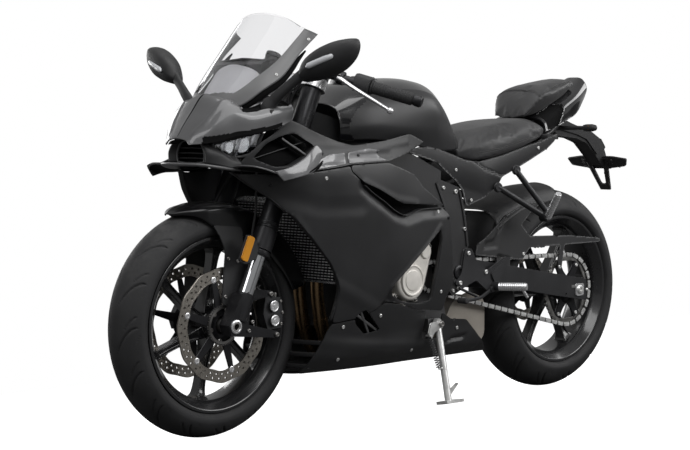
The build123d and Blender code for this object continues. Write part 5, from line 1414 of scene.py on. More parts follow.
trim_grey = finish("satin grey trim", (0.075, 0.075, 0.077), rough=0.38, coat=0.2,
                   coat_rough=0.3, bump=0.08)
CHEEK = np.array([[(744, 44, 766), (745, 56, 742), (745, 55, 714)],
                  [(757, 54, 772), (756, 76, 744), (756, 74, 713)],
                  [(728, 84, 752), (728, 98, 736), (734, 98, 709)],
                  [(704, 98, 736), (704, 118, 722), (712, 120, 703)],
                  [(688, 108, 734), (688, 132, 716), (690, 131, 698)]], float)
cheek = grid(smooth(smooth(CHEEK, 26), 12, axis=1), flip=True)
lip_line = np.array([(690, -130, 698), (716, -120, 701), (745, -103, 706), (775, -76, 711),
                     (789, -40, 712), (791, 0, 712), (789, 40, 712), (775, 76, 711), (745, 103, 706),
                     (716, 120, 701), (690, 130, 698)], float)
lip = swept(smooth(lip_line, 70), rounded([(-34, -1), (3, -5), (6, 0), (3, 4), (-34, 3)], 2, 3),
            scale=np.interp(np.linspace(0, 1, 70), [0, 0.15, 0.85, 1], [0.5, 1, 1, 0.5]))
shelf = [(745, 57), (788, 30), (788, -30), (745, -57)]
floor_plate = np.array([(x_, y_, 713.0) for x_, y_ in shelf])
mouth = np.array([(744, 20, 773), (744, 36, 769), (744, 47, 758), (744, 56, 738), (744, 53, 716),
                  (744, 22, 713)], float)
mouth = np.concatenate([mouth, mouth[::-1] * (1, -1, 1)])
mouth = rounded(mouth, 6, 4)
centre = mouth.mean(0)
frame_ring = swept(mouth, circle(3.4, 10), up=(1, 0, 0), closed=True)
# The throat is painted-shade black: painted shade for the inside of the intake.
throat = np.stack([centre + (mouth - centre) * k - (d, 0, 0)
                   for k, d in ((0.98, 0), (0.93, 12), (0.86, 30))], 1)
throat_skin = join(grid(throat, wrap_u=True, flip=True), cap(throat[:, -1]))
roof_line = np.array([(788, 0, 775), (787, 22, 772.5), (786, 34, 769), (784, 44, 761)], float)
roof_back = np.array([(744, 0, 773), (744, 22, 772), (744, 36, 768), (745, 46, 764)], float)
roof = both(grid(np.stack([smooth(roof_line, 12), smooth(roof_back, 12)], 1)))
fins = [swept(np.array([(736, -52, z), (740, 0, z + 1), (736, 52, z)]),
              rounded([(-5, -1.3), (5, -1.3), (5, 1.3), (-5, 1.3)], 1, 3)) for z in (726, 739, 752)]
piece("nose_chin", [(both(cheek), moulded)], "chassis", wall=3.0, smooth_by=50)
piece("nose_lip",
      [(lip, trim_grey), (cap(floor_plate), moulded), (cap(floor_plate - (0, 0, 2), flip=True), moulded)],
      "chassis", bevel=0.8)
piece("nose_intake", [(frame_ring, trim_grey), (throat_skin, painted_shade_black), (roof, moulded),
                      (join(*fins), moulded)], "chassis")


# %% Lamps
def clear_glass(name, colour, rough=0.02, ior=1.45):
    """Clear plastic: full transmission with a plain colour; a thin wall makes it read as a lens or screen."""
    material = bpy.data.materials.new(name)
    material.use_nodes = True
    shader = material.node_tree.nodes["Principled BSDF"]
    tree = material.node_tree
    place = tree.nodes.new("ShaderNodeTexCoord").outputs["Object"]
    speckle = add_node(tree, "ShaderNodeGroup", {"_node_tree": grain}, {})
    tree.links.new(place, speckle.inputs["Place"])
    tree.links.new(mapped(tree, speckle.outputs["Patches"], 0, 1, rough, rough + 0.03),
                   shader.inputs["Roughness"])
    shader.inputs["Base Color"].default_value = (*colour, 1)
    shader.inputs["Transmission Weight"].default_value = 1.0
    shader.inputs["IOR"].default_value = ior
    return material


lens_clear = clear_glass("clear lamp lens", (0.95, 0.96, 0.97))
screen_clear = clear_glass("light smoke screen", (0.82, 0.82, 0.83), ior=1.2)
TOP = smooth([(735, 74, 765), (706, 104, 776), (668, 132, 788), (633, 153, 798)], 30)
BOTTOM = smooth([(730, 72, 748), (706, 92, 733), (672, 114, 731), (644, 137, 744)], 30)
v = np.linspace(0, 1, 12)[None, :, None]
lamp_face = BOTTOM[:, None] * (1 - v) + TOP[:, None] * v
lamp_face = lamp_face + 3.5 * np.sin(np.pi * v) * np.array([0.7, 0.7, 0.1])
inward = np.array([-20, -16, 0])
shrunk = lamp_face.mean((0, 1)) + (lamp_face - lamp_face.mean((0, 1))) * 0.9 + inward
border = np.concatenate([lamp_face[:, 0], lamp_face[-1, 1:], lamp_face[-2::-1, -1], lamp_face[0, -2:0:-1]])
deep = np.concatenate([shrunk[:, 0], shrunk[-1, 1:], shrunk[-2::-1, -1], shrunk[0, -2:0:-1]])
pocket_skin = join(grid(shrunk, flip=False),
                   grid(np.stack([border - (1, 1, 0), deep], 1), wrap_u=True, flip=True))
rim_tube = swept(border, circle(5.0, 10), closed=True)
look_out = unit(np.array([0.86, 0.5, 0.0]))
bowl = [(0.5, -11), (7, -9.5), (11, -6), (13.6, -1), (14.6, 4), (14.0, 4.6), (12.6, -1), (10, -7)]
bowls = join(*[turned(np.array(bowl[:5]) * size, place, look_out, 32)
               for place, size in (((694, 84, 757), 1.25), ((663, 106, 764), 1.45))])
lights = join(*[turned([(0.2, 7), (5, 6), (7.5, 2.5), (8, -2), (7, -7)][::-1], place, look_out, 24)
                for place in ((690, 82, 757), (660, 104, 764))])
lamp_skin = finish("lamp housing", (0.20, 0.20, 0.21), rough=0.3, metal=0.7, bump=0.04)
vanes = join(*[grid(np.stack([lamp_face[k] + (-3, -3, 0), lamp_face[k] + inward * 0.9], 1))
               for k in (6, 14, 22)])
strip_line = BOTTOM[2:-2] + (-4, -4, 3)
glow_strip = swept(strip_line, circle(1.8, 8))
pale_strip = finish("pale light guide", (0.55, 0.56, 0.58), rough=0.25, coat=0.6, bump=0.02)
for side, flip in SIDES:
    lamp = piece(f"headlight_{side}_lens", [(flip(grid(lamp_face, flip=False)), lens_clear)], "chassis",
                 wall=1.8)
    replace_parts(lamp, f"headlight_{side}")
    piece(f"headlight_{side}_bowls",
          [(flip(pocket_skin), lamp_skin), (flip(rim_tube), moulded), (flip(bowls), chrome_bowl),
           (flip(lights), chrome_bowl), (flip(vanes), lamp_skin), (flip(glow_strip), pale_strip)],
          "chassis", smooth_by=60)

# %% [markdown]
# ## Windscreen, instruments and mirrors
# The screen is one clear sheet, curved both ways, with a grey band printed along its lower and side edges. It
# is a grid whose two edges run along curves, and the band is simply the faces near those edges. The mirrors
# are smooth shells on short stalks, with a flat glass towards the rider.

# %% Windscreen
SCREEN = [(702, [(0, 884), (20, 882), (40, 875), (60, 862)]),
          (668, [(0, 923), (40, 915), (75, 893), (94, 858)]),
          (612, [(0, 988), (60, 972), (105, 938), (128, 900)]),
          (560, [(0, 1048), (70, 1028), (122, 980), (146, 937)]),
          (505, [(0, 1112), (78, 1088), (130, 1034), (150, 996)]),
          (440, [(0, 1187), (85, 1155), (136, 1100), (152, 1052)])]
halves = np.array([half for _, half in SCREEN], float)
whole = smooth(np.concatenate([halves[:, :0:-1] * (-1, 1), halves], 1), 51, axis=1)
columns = whole[::-1, 25:].transpose(1, 2, 0)
s, u = np.linspace(0, 1, 26), np.linspace(0, 1, 60)
x_low, x_high = 704 - 12 * s ** 2, 509 - 67 * s ** 1.6
x = x_low + u[:, None] * (x_high - x_low)
stations = [x_ for x_, _ in SCREEN][::-1]
y = hermite(stations, np.broadcast_to(columns[None, :, 0], (60, 26, 6)), x)
z = hermite(stations, np.broadcast_to(columns[None, :, 1], (60, 26, 6)), x)
half = np.stack([x, y, z], -1)
sheet = np.concatenate([half[:, :0:-1] * (1, -1, 1), half], 1)
points, (quads,) = grid(sheet, flip=False)
row, col = quads[:, 0] // 51, quads[:, 0] % 51
edge_way = np.abs(col - 24.5) / 25
banded = (edge_way > 0.66) | (row < 1 + 14 * edge_way ** 2) | (row > 58)
screen = piece("windscreen_sheet",
               [((points, [quads[~banded]]), screen_clear), ((points, [quads[banded]]), trim_grey)],
               "chassis", wall=2.6, bevel=0.0, smooth_by=60, weld=0.05)
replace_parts(screen, "windscreen")
hold = half[[30, 54], [22, 23]]
hold_way = unit(np.array([(0.3, 0.8, 0.5), (0.3, 0.8, 0.5)]))
screws = at_places(socket_bolt(4.5, 3), hold + hold_way * 0.5, hold_way)
# A painted-shade black strip under the screen's side edge stands for the shade in the gap between screen and
# nose.
edge_shade_strip = swept(half[1:50, 25] - (5, 5, 8), circle(9, 12, 0.55), (0, 1, 0),
                  scale=np.interp(np.linspace(0, 1, 49), [0, 0.1, 0.8, 1], [0.5, 1, 1, 0.3]))
piece("windscreen_screws", [(both(screws), zinc), (both(edge_shade_strip), painted_shade_black)], "chassis")
hood_grey = finish("pale dash hood", (0.36, 0.36, 0.37), rough=0.6, bump=0.1)
dash_hood = sheet[1:27] * (1, 0.93, 1) - (18, 0, 12)
piece("dash_hood", [(grid(dash_hood), hood_grey)], "chassis", wall=2.0)

# %% Instruments and the tray below the screen
soften("instrument_panel", moulded, 5)
face = rounded([(-84, 902), (84, 902), (88, 968), (-88, 968)], 10, 5)
glass_face = np.array([(559.0 - (z_ - 935) * 0.02, y_, z_) for y_, z_ in face])
hood = swept(np.array([(556, -97, 980), (556, 0, 987), (556, 97, 980)]),
             rounded([(-16, -2), (14, -2), (14, 2), (-16, 2)], 1.5, 3))
piece("instrument_face", [(cap(glass_face), display), (hood, moulded)], "chassis", bevel=0.6)
tray = half_loft([(x_, [(0, z0 + 4), (y1, z1 + 4), (y1 * 1.35, z1 + 2)])
                  for x_, z0, y1, z1 in ((690, 884, 40, 878), (660, 876, 62, 870), (612, 868, 84, 868),
                                         (580, 884, 92, 884))], 20, 10)
piece("nose_tray", [(grid(tray), moulded)], "chassis", wall=2.0)

# %% Mirrors
def turned_in(points):
    """Points moved back with their distance outwards, which turns the mirror's face in to the rider."""
    return points - np.array([0.2, 0, 0]) * (points[..., 1:2] - 330)


OUTLINE = np.array([(238, 940), (256, 976), (300, 1006), (350, 1024), (396, 1029), (408, 1020),
                    (408, 1000), (396, 976), (366, 950), (320, 932), (262, 922), (244, 926)], float)
ring = smooth(OUTLINE, 72, closed=True)
middle = np.array([330, 982.0])
levels = [(0.90, 558), (0.985, 556), (1.0, 560), (0.99, 568), (0.95, 578), (0.86, 587), (0.70, 595),
          (0.48, 600), (0.24, 602.5), (0.06, 603)]
shell = np.stack([np.column_stack([np.full(72, x_), middle + (ring - middle) * k]) for k, x_ in levels], 1)
shell = turned_in(shell)
mirror_shell = join(grid(shell, wrap_u=True, flip=False), cap(shell[:, -1], flip=False))
glass_ring = turned_in(np.column_stack([np.full(72, 558.6), middle + (ring - middle) * 0.91]))
stalk_path = smooth([(612, 152, 862), (608, 184, 890), (598, 222, 920), (588, 258, 946), (580, 276, 954)],
                    30)
stalk_size = np.interp(np.linspace(0, 1, 30), [0, 0.12, 0.5, 0.85, 1], [1.7, 1.1, 0.9, 1.05, 1.3])
stalk_skin = swept(stalk_path, circle(15, 16, 0.6), (1, 0, 0), scale=stalk_size)
foot_pad = swept(smooth([(612, 140, 853), (612, 152, 862), (611, 160, 868)], 6), circle(19, 20, 0.8),
                 (1, 0, 0), scale=[1, 1.05, 1, 0.9, 0.75, 0.6])
signal = swept(smooth([(612, 286, 958), (605, 312, 968), (598, 340, 978), (588, 368, 988)], 24),
               circle(8, 12, 0.8), (1, 0, 0),
               scale=np.interp(np.linspace(0, 1, 24), [0, 0.1, 0.9, 1], [0.2, 1, 1, 0.2]))
for side, flip in SIDES:
    head = piece(f"mirror_{side}_shell",
                 [(flip(mirror_shell), moulded), (flip(join(stalk_skin, foot_pad)), moulded),
                  (flip(cap(glass_ring, flip=True)), mirror_face), (flip(signal), pale_strip)], "chassis",
                 smooth_by=60)
    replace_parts(head, f"mirror_{side}")

# %% [markdown]
# ## Tank and tail
# The tank is a pressed shell with knee hollows, so it is lofted through its sections and left smooth. The
# filler lid sits in a bolted ring. The tail narrows to a point over the lamp; its side covers are smooth
# satin plates.

# %% Tank and filler
FILLER_X = 150
TANK = [(332, [(0, 872), (70, 868), (112, 850), (126, 806), (118, 772)]),
        (230, [(0, 925), (80, 914), (136, 880), (155, 822), (148, 776)]),
        (100, [(0, 944), (85, 934), (150, 886), (165, 815), (150, 765)]),
        (-20, [(0, 945), (80, 930), (140, 880), (150, 815), (140, 748)]),
        (-110, [(0, 919), (60, 902), (104, 850), (116, 800), (114, 744)]),
        (-186, [(0, 806), (50, 802), (78, 783), (88, 766), (88, 750)])]
tank_points = half_loft(TANK, 90, 44, ridge=2.2, at=0.46, wide=0.05)
points, (quads,) = grid(tank_points)
quad_centres = points[quads].mean(1)
inside_cap = np.hypot(quad_centres[:, 0] - FILLER_X, quad_centres[:, 1]) < 54
kept = ~inside_cap | (quad_centres[:, 2] < 900)
quads, quad_centres = quads[kept], quad_centres[kept]
flank = (np.abs(quad_centres[:, 1])
         > np.interp(quad_centres[:, 0], [-110, 0, 120, 250], [96, 118, 122, 134]))
tank = piece("fuel_tank_shell", [((points, [quads[~flank]]), gloss), ((points, [quads[flank]]), satin)],
             "chassis", wall=2.0, bevel=0.0, smooth_by=60, weld=0.01)
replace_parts(tank, "fuel_tank")
collar_ring = turned([(52, 918), (52, 931), (56, 935), (58.6, 936), (58.6, 943), (60, 944.5), (67, 941),
                      (70, 934), (70, 926)][::-1], (FILLER_X, 0, 0), (0, 0, 1), 72)
# The well inside the filler ring is painted-shade black: painted shade in the recess.
well = turned([(0.5, 926), (30, 926), (31, 931), (53, 931)], (FILLER_X, 0, 0), (0, 0, 1), 48)
ring_bolts = at_places(socket_bolt(3.6, 2), [(FILLER_X + 63.5 * math.cos(a), 63.5 * math.sin(a), 942.4)
                                             for a in np.arange(6) * math.pi / 3 + 0.5], (0, 0, 1))
piece("filler_ring", [(collar_ring, anodised), (well, painted_shade_black), (ring_bolts, zinc)], "chassis",
      smooth_by=40)
soften("fuel_cap", anodised, 0.8)
latch = join(bar((FILLER_X, -14, 949.4), (FILLER_X, 14, 949.4), 3),
             turned([(9, 0), (9, 1.5), (7, 2.2)], (FILLER_X, 0, 949.0), (0, 0, 1), 24))
lid_bolts = at_places(socket_bolt(3.2, 1.6), [(FILLER_X + 44 * math.cos(a), 44 * math.sin(a), 949.2)
                                              for a in np.arange(7) * 2 * math.pi / 7], (0, 0, 1))
piece("filler_lid_details", [(latch, steel), (lid_bolts, zinc)], "filler_lid")

# %% Tail
TAIL = [(-560, [(0, 842), (70, 838), (100, 826), (112, 800)]),
        (-620, [(0, 873), (60, 868), (92, 850), (98, 812)]),
        (-700, [(0, 905), (56, 900), (82, 884), (86, 838)]),
        (-764, [(0, 931), (50, 926), (72, 908), (70, 862)]),
        (-840, [(0, 970), (30, 966), (48, 940), (40, 912)])]
TAIL_WINDOW = [(-572, 806), (-572, 848), (-618, 876), (-677, 884), (-673, 867), (-640, 818), (-622, 806)]
tail_points = half_loft(TAIL, 80, 40, 1.5, 0.7, 0.06)
window = within(tail_points[..., 0].ravel(), tail_points[..., 2].ravel(), TAIL_WINDOW, 5)
window = window.reshape(tail_points.shape[:2]) * (np.abs(tail_points[..., 1]) > 62)
tail_points[..., 1] -= 7 * window * np.sign(tail_points[..., 1])
tail_grid, (quads,) = grid(tail_points)
# The window faces, already sunk in, are painted-shade black: painted shade inside the tail's opening.
dark = window.ravel()[quads].mean(1) > 0.06
TAIL_SIDE = rounded([(94, 742), (60, 752), (17, 760), (-40, 750), (-93, 736), (-150, 719), (-215, 712),
                     (-320, 731), (-420, 756), (-500, 774), (-574, 796), (-558, 772), (-522, 748),
                     (-440, 714), (-382, 691), (-318, 668), (-300, 642), (-240, 606), (-162, 584),
                     (-146, 632), (-120, 655), (-94, 670), (-30, 712)], 7, 4)
flat, faces = cut_net(TAIL_SIDE, (), 5)
middle_line = np.interp(flat[:, 0], [-572, -440, -240, 94], [784, 734, 665, 742])
side_y = 149.5 - 5.0 * np.clip(np.abs(flat[:, 1] - middle_line) / 48, 0, 1) ** 2
side_y = side_y - 3.0 * near_line(flat[:, 0], flat[:, 1], [(-190, 716), (-240, 690), (-318, 668)], 5)
cover = (np.stack([flat[:, 0], side_y, flat[:, 1]], -1), [block[:, ::-1] for block in faces])
tail = piece("tail_shell",
             [((tail_grid, [quads[~dark]]), gloss), ((tail_grid, [quads[dark]]), painted_shade_black),
              (both(cover), satin)], "chassis", wall=4, bevel=1.2, smooth_by=60)
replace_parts(tail, "tail_cowl")
brace = swept(np.array([(-555, -146, 784), (-555, 0, 790), (-555, 146, 784)]),
              rounded([(-26, -7), (26, -7), (26, 7), (-26, 7)], 3, 3))
tail_bolts = at_places(socket_bolt(5, 3), [(-110, 149.6, 690), (-178, 149.6, 602), (-480, 149.6, 752)],
                       (0, 1, 0))
tray_side = rounded([(-560, 796), (-620, 810), (-700, 842), (-772, 884), (-760, 904), (-700, 884),
                     (-620, 850), (-560, 832)], 6, 4)
undertray = slab(rounded([(-60, 708), (-200, 700), (-330, 716), (-520, 764), (-560, 770), (-440, 720),
                          (-330, 672), (-290, 650), (-200, 640), (-90, 668)], 8, 4), -98, 98, 4)
piece("tail_brace", [(join(brace, undertray, slab(tray_side, -62, 62, 4)), moulded),
                     (both(tail_bolts), zinc)], "chassis", bevel=0.6)
soften("tail_light", red_lens, 4)

# %% [markdown]
# ## Seats
# A motorcycle seat is foam under a stretched vinyl cover: crowned, full between its edges, pulled in at the
# seams. It starts as a slightly small closed shape through the seat's sections. A voxel remesh gives it an
# even skin, a short cloth simulation with pressure fills it like foam under vinyl, and the movement is capped
# so that it stays in its place. The sewn channels come last, pressed in along lines, with thread over them.

# %% Pad shape and simulation
def pad_form(stations, base=0.97, shrink=0.975, rows=48, cols=64):
    """Closed rings through (x, half width, low, side, top) stations, from a flat base, base times as wide
    as the pad, over rounded shoulders."""
    x, half, low, side, top = np.array(stations, float).T
    half = half * shrink
    outline = [(0 * half, low + 4), (0.8 * base * half, low + 4), (base * half, low + 9),
               ((0.45 + 0.55 * base) * half, (low + side) / 2), (0.99 * half, side - 3),
               (0.86 * half, 0.45 * side + 0.55 * top), (0.6 * half, top - 2.5), (0.3 * half, top - 0.5)]
    right = np.array([[y, z] for y, z in outline] + [[0 * half, top + 0.5]])
    ring = np.concatenate([right, right[-2:0:-1] * np.array([-1, 1])[None, :, None]])
    ring = np.concatenate([np.broadcast_to(x, (len(ring), 1, len(x))), ring], 1).transpose(2, 0, 1)
    skin = smooth(smooth(ring, rows), cols, axis=1, closed=True)
    return join(grid(skin, wrap_v=True), cap(skin[0], flip=True), cap(skin[-1]))


def mesh_points(mesh):
    """A mesh's vertex positions as an array."""
    points = np.empty(len(mesh.vertices) * 3)
    mesh.vertices.foreach_get("co", points)
    return points.reshape(-1, 3)


def evaluated(obj):
    """The object's mesh after its modifiers, as a new mesh; the modifiers are then removed."""
    bpy.context.view_layer.update()
    mesh = bpy.data.meshes.new_from_object(obj.evaluated_get(bpy.context.evaluated_depsgraph_get()))
    obj.modifiers.clear()
    obj.data = mesh
    return mesh


def inflate(obj, low, limit, pressure=4.0):
    """Voxel remesh, cloth with pressure for 20 frames, pinned at its base, then each point moves at most
    limit mm."""
    even = obj.modifiers.new("even", "REMESH")
    even.mode, even.voxel_size, even.use_smooth_shade = "VOXEL", 0.006, True
    start = mesh_points(evaluated(obj))
    upright = (start - HOME) @ LEAN_TURN * 1000
    pins = obj.vertex_groups.new(name="base")
    pins.add(np.flatnonzero(upright[:, 2] < np.interp(-upright[:, 0], -low[:, 0],
                                                      low[:, 1] + 7)).tolist(), 1.0, "REPLACE")
    cloth = obj.modifiers.new("cloth", "CLOTH")
    settings = cloth.settings
    settings.use_pressure, settings.uniform_pressure_force, settings.quality = True, pressure, 5
    settings.effector_weights.gravity, settings.vertex_group_mass = 0, "base"
    cloth.point_cache.frame_start, cloth.point_cache.frame_end = 1, 20
    for step in range(1, 21):
        bpy.context.scene.frame_set(step)
    moved = mesh_points(evaluated(obj)) - start
    far = np.linalg.norm(moved, axis=1, keepdims=True)
    obj.data.vertices.foreach_set("co",
                                  (start + moved
                                   * np.minimum(1, limit / 1000 / np.maximum(far, 1e-9))).ravel())
    bpy.context.scene.frame_set(1)
    print(obj.name, "swelled by", round(float(far.max()) * 1000, 1), "mm")


def press_seams(obj, lines, depth=1.8, width=3.2):
    """After one subdivision, points near a seam line, seen from above or the side, go in along their
    normals."""
    finer = obj.modifiers.new("finer", "SUBSURF")
    finer.levels = finer.render_levels = 1
    mesh = evaluated(obj)
    points = mesh_points(mesh)
    normals = np.empty(len(points) * 3)
    mesh.vertex_normals.foreach_get("vector", normals)
    normals = normals.reshape(-1, 3)
    upright = (points - HOME) @ LEAN_TURN * 1000
    spots = []
    for line in lines:
        run = smooth(line, 140)
        gap = np.min(np.linalg.norm(upright[:, None] - run[None], axis=2), 1)
        points = points - normals * (depth * np.exp(-(gap / width) ** 2) / 1000)[:, None]
        spots.append(run)
    mesh.vertices.foreach_set("co", points.ravel())
    mesh.shade_smooth()
    mesh.update()
    return spots, upright, normals @ LEAN_TURN


def stitches(run, points, normals, aside, lift=0.4):
    """Thread dashes beside a seam: short six-sided bars laid on the nearest skin points, along the seam."""
    along = unit(np.gradient(run, axis=0))
    nearest = np.argmin(((run[:, None] - points[None]) ** 2).sum(-1), 1)
    up = normals[nearest]
    place = run + np.cross(along, up) * aside
    nearest = np.argmin(((place[:, None] - points[None]) ** 2).sum(-1), 1)
    place = place + up * ((points[nearest] - place) * up).sum(-1, keepdims=True) + up * lift
    dash = bar((0, 0, -2.4), (0, 0, 2.4), 0.7, 6, 0.4)
    return at_places(dash, place[3:-3:2], along[3:-3:2])


seat_vinyl = vinyl
SEATS = {"rider_seat": [(-193, 80, 717, 742, 752), (-240, 116, 710, 760, 785), (-320, 134, 722, 785, 811),
                        (-420, 141, 747, 805, 828), (-520, 131, 775, 811, 835),
                        (-565, 108, 791, 812, 832)],
         "pillion_seat": [(-522, 64, 837, 850, 862), (-568, 92, 849, 905, 927), (-640, 90, 875, 923, 944),
                          (-716, 78, 905, 942, 958), (-770, 58, 931, 951, 966)]}
LINES = {"rider_seat": [[(-240, 118, 735), (-320, 136, 748), (-420, 143, 772), (-520, 133, 790)],
                        [(-240, -118, 735), (-320, -136, 748), (-420, -143, 772), (-520, -133, 790)]],
         "pillion_seat": [[(-567, -88, 905), (-570, -50, 921), (-571, 0, 926), (-570, 50, 921),
                           (-567, 88, 905)],
                          [(-574, 84, 912), (-640, 74, 936), (-716, 62, 953), (-760, 48, 962)],
                          [(-574, -84, 912), (-640, -74, 936), (-716, -62, 953), (-760, -48, 962)]]}
thread = finish("dark thread", (0.03, 0.03, 0.03), rough=0.7, bump=0.2, sheen=0.3)
for name, stations in SEATS.items():
    pad = piece(name + "_cushion",
                [(pad_form(stations, 0.97 if name == "rider_seat" else 0.7), seat_vinyl)], "chassis",
                smooth_by=180)
    inflate(pad, np.array(stations, float)[:, [0, 2]], 6.0)
    runs, skin, outward = press_seams(pad, LINES[name])
    pad.data.materials.clear()
    pad.data.materials.append(seat_vinyl)
    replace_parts(pad, name)
    sewn = [stitches(run, skin, outward, aside) for run in runs for aside in (-2.6, 2.6)]
    piece(name + "_thread", [(join(*sewn), thread)], "chassis")

# %% [markdown]
# ## Plate holder and rear indicators
# The plate hangs on a moulded arm that ends in a bar with slots and an open V. They are flat shapes with
# windows, so the same net cutter that made the side panels cuts them in their own sloping plane.

# %% Plate holder
def sloped(outline, windows, origin, down, thick, pitch=5.0):
    """A flat shape given as (y, distance down) cut from a net, laid on the plane through origin, with a
    thickness."""
    flat, blocks = cut_net(outline, windows, pitch)
    way = unit(np.asarray(down, float))
    out = np.array([way[2], 0, -way[0]])
    face = origin + np.stack([0 * flat[:, 0], flat[:, 0], 0 * flat[:, 0]], -1) + flat[:, 1:] * way
    return (face + out * thick / 2, blocks), out


down = np.array([-57, 0, -103.0])
V_SHAPE = [(-46, 0), (46, 0), (20, 118), (-20, 118)]
T_BAR = rounded([(-119, -12), (-64, -20), (64, -20), (119, -12), (108, 14), (54, 22), (-54, 22),
                 (-108, 14)], 5, 4)
slots = [rounded([(a - 13, -6), (a + 13, -6), (a + 13, 1), (a - 13, 1)], 3, 3) for a in (-90, 90)]
holes = [np.array(circle(3.6, 10)) + (a, b) for a in (-58, -44, 44, 58) for b in (-8, 5)]
v_plate, out = sloped(V_SHAPE, [np.array([(-24, 16), (24, 16), (9, 96), (-9, 96)])],
                      np.array([-962, 0, 716.0]), down, 5)
bar_plate, _ = sloped(T_BAR, slots + holes, np.array([-972, 0, 704.0]), down, 6, 4)
tail_arm = rounded([(-709.5, 806), (-738, 790), (-825, 783), (-877, 768), (-925, 730), (-966, 690),
                    (-988, 705), (-956, 772), (-903, 798), (-800, 824), (-720, 850), (-709.5, 850)], 7, 4)
arm_side = rounded([(-722, 812), (-826, 793), (-874, 778), (-930, 728), (-944, 742), (-900, 788),
                    (-804, 814), (-730, 838)], 6, 4)
arm = join(slab(tail_arm, -26, 26, 3), slab(arm_side, 26, 31, 1.5), slab(arm_side, -31, -26, 1.5))
plate_lamp = slab(rounded([(-958, 778), (-982, 750), (-972, 744), (-946, 768)], 3, 3), -22, 22, 2)
stalk = swept(smooth([(-715, 28, 812), (-708, 70, 812), (-701, 130, 813), (-694, 160, 813)], 16),
              circle(7, 12), (1, 0, 0), scale=np.linspace(1.15, 0.75, 16))
lamp_way = unit(np.array([4.0, 48, 0]))
shell_ = turned([(0.5, -2), (6, 0), (9, 4), (11, 14), (11.4, 38), (9, 50), (5, 54), (0.5, 55)][::-1],
                (-694, 152, 813), lamp_way, 28)
glass_ = [turned([(0.4, 4), (5.2, 3), (8.6, 0)][::-1], (-694 + s * 9.6, 182, 813), (s, 0, 0), 20)
          for s in (-1, 1)]
holder = piece("plate_bar", [(join(v_plate, bar_plate), moulded)], "chassis",
               wall=5, bevel=0.8)
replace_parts(holder, "plate_holder")
arm_bolts = at_places(socket_bolt(4.2, 3), [(-965, y, 716) for y in (-14, 14)], out)
piece("plate_arm", [(arm, moulded), (plate_lamp, moulded), (arm_bolts, zinc)], "chassis",
      bevel=0.8)
piece("rear_indicators", [(both(join(stalk, shell_)), moulded), (both(join(*glass_)), amber)], "chassis",
      smooth_by=50)

# %% [markdown]
# ## Frame and engine
# The frame and subframe already have their shape in the solid model; castings and welded tubes have soft
# edges, so they are finished copies of it. The engine's side covers are what the eye goes to: pale castings
# with a raised rim, bosses and bolts, built as rings of the hull round circles at rising heights.

# %% Frame
soften("frame", frame_paint, 2.5)
soften("subframe", frame_paint, 0.8)
FRAME_BOLTS = [(-112, 148.5, 628, 7), (-152, 148.5, 520, 6), (-60, 148.5, 640, 5.5),
               (-163, 148.5, 452, 7), (-128, 148.5, 352, 7), (-105, 148.5, 345, 5)]
heads = join(*[at_places(socket_bolt(r, 5), [(x, y - 2, z)], (0, 1, 0)) for x, y, z, r in FRAME_BOLTS])
pivot_nut = turned([(21, -1), (21, 4), (18, 6), (11, 6), (10, 2), (0.5, 2)], (-130, 147, 396),
                   (0, 1, 0), 32)
ribs = [swept(smooth(np.array([(x, 147.0, z) for x, z in line]), 40),
              rounded([(-4, -4), (4, -4), (4, 4), (-4, 4)], 1.5, 3), (0, 1, 0))
        for line in ([(-30, 655), (-75, 560), (-98, 450), (-80, 365)],
                     [(-128, 630), (-150, 555), (-165, 470)])]
piece("frame_ribs", [(both(join(*ribs)), frame_paint)], "chassis", smooth_by=50)
piece("frame_bolts", [(both(heads), zinc), (both(pivot_nut), anodised)], "chassis", bevel=0.4)


# %% Engine covers
def hull_ring(circles, inset, y, count=96):
    """Boundary round circles (x, z, radius): in each direction, the circle that reaches furthest gives
    the point."""
    angle = np.linspace(0, 2 * np.pi, count, endpoint=False)
    way = np.stack([np.cos(angle), np.sin(angle)], -1)
    round_ = np.array(circles, float)
    pick = (way @ round_[:, :2].T + round_[:, 2]).argmax(1)
    flat = round_[pick, :2] + way * (round_[pick, 2:] - inset)
    return np.stack([flat[:, 0], np.full(count, float(y)), flat[:, 1]], -1)


def cover(circles, levels):
    """A domed cover: hull rings at (inset, y) levels, closed by its top face."""
    rings = np.stack([hull_ring(circles, inset, y) for inset, y in levels], 1)
    return join(grid(rings, wrap_u=True, flip=True), cap(rings[:, -1], flip=True))


bright_cast = finish("pale cast alloy", (0.80, 0.77, 0.72), rough=0.42, metal=0.35, grain_size=700,
                     bump=0.22, spread=0.1, patch=18)
LEFT = [(78, 385, 62), (24, 462, 34)]
base = cover(LEFT, [(0, 105), (0, 126), (3, 130)])
dome = cover(LEFT, [(3.5, 128), (3.5, 146), (5, 152), (8.5, 157), (13, 159), (16, 159), (18, 157.8)])
ring_at, small_at = (78, 0, 385), (24, 0, 462)
bosses = join(turned([(45, 157), (45, 162), (43, 164.5), (39, 164.5), (37.5, 162), (30, 162), (28.5, 164),
                      (20, 164.8), (0.5, 165)], ring_at, count=64),
              turned([(19, 157), (19, 161), (17, 163), (0.5, 163)], small_at, count=40))
edge_spots = hull_ring(LEFT, -3.5, 128, 9)
ears = join(*[turned([(8.5, 108), (8.5, 140), (7.5, 141.5), (0.5, 141.5)], (x, 0, z), count=20)
              for x, _, z in edge_spots])
ear_bolts = at_places(socket_bolt(5.2, 5), edge_spots * (1, 0, 1) + (0, 141.5, 0), (0, 1, 0))
left_cover = piece("engine_cover_cast",
                   [(base, cast_black), (join(dome, bosses), bright_cast), (ears, bright_cast),
                    (ear_bolts, steel)], "chassis", bevel=0.8, angle=40)
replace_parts(left_cover, "engine_cover_left")
RIGHT = [(10, 350, 82), (100, 320, 52)]
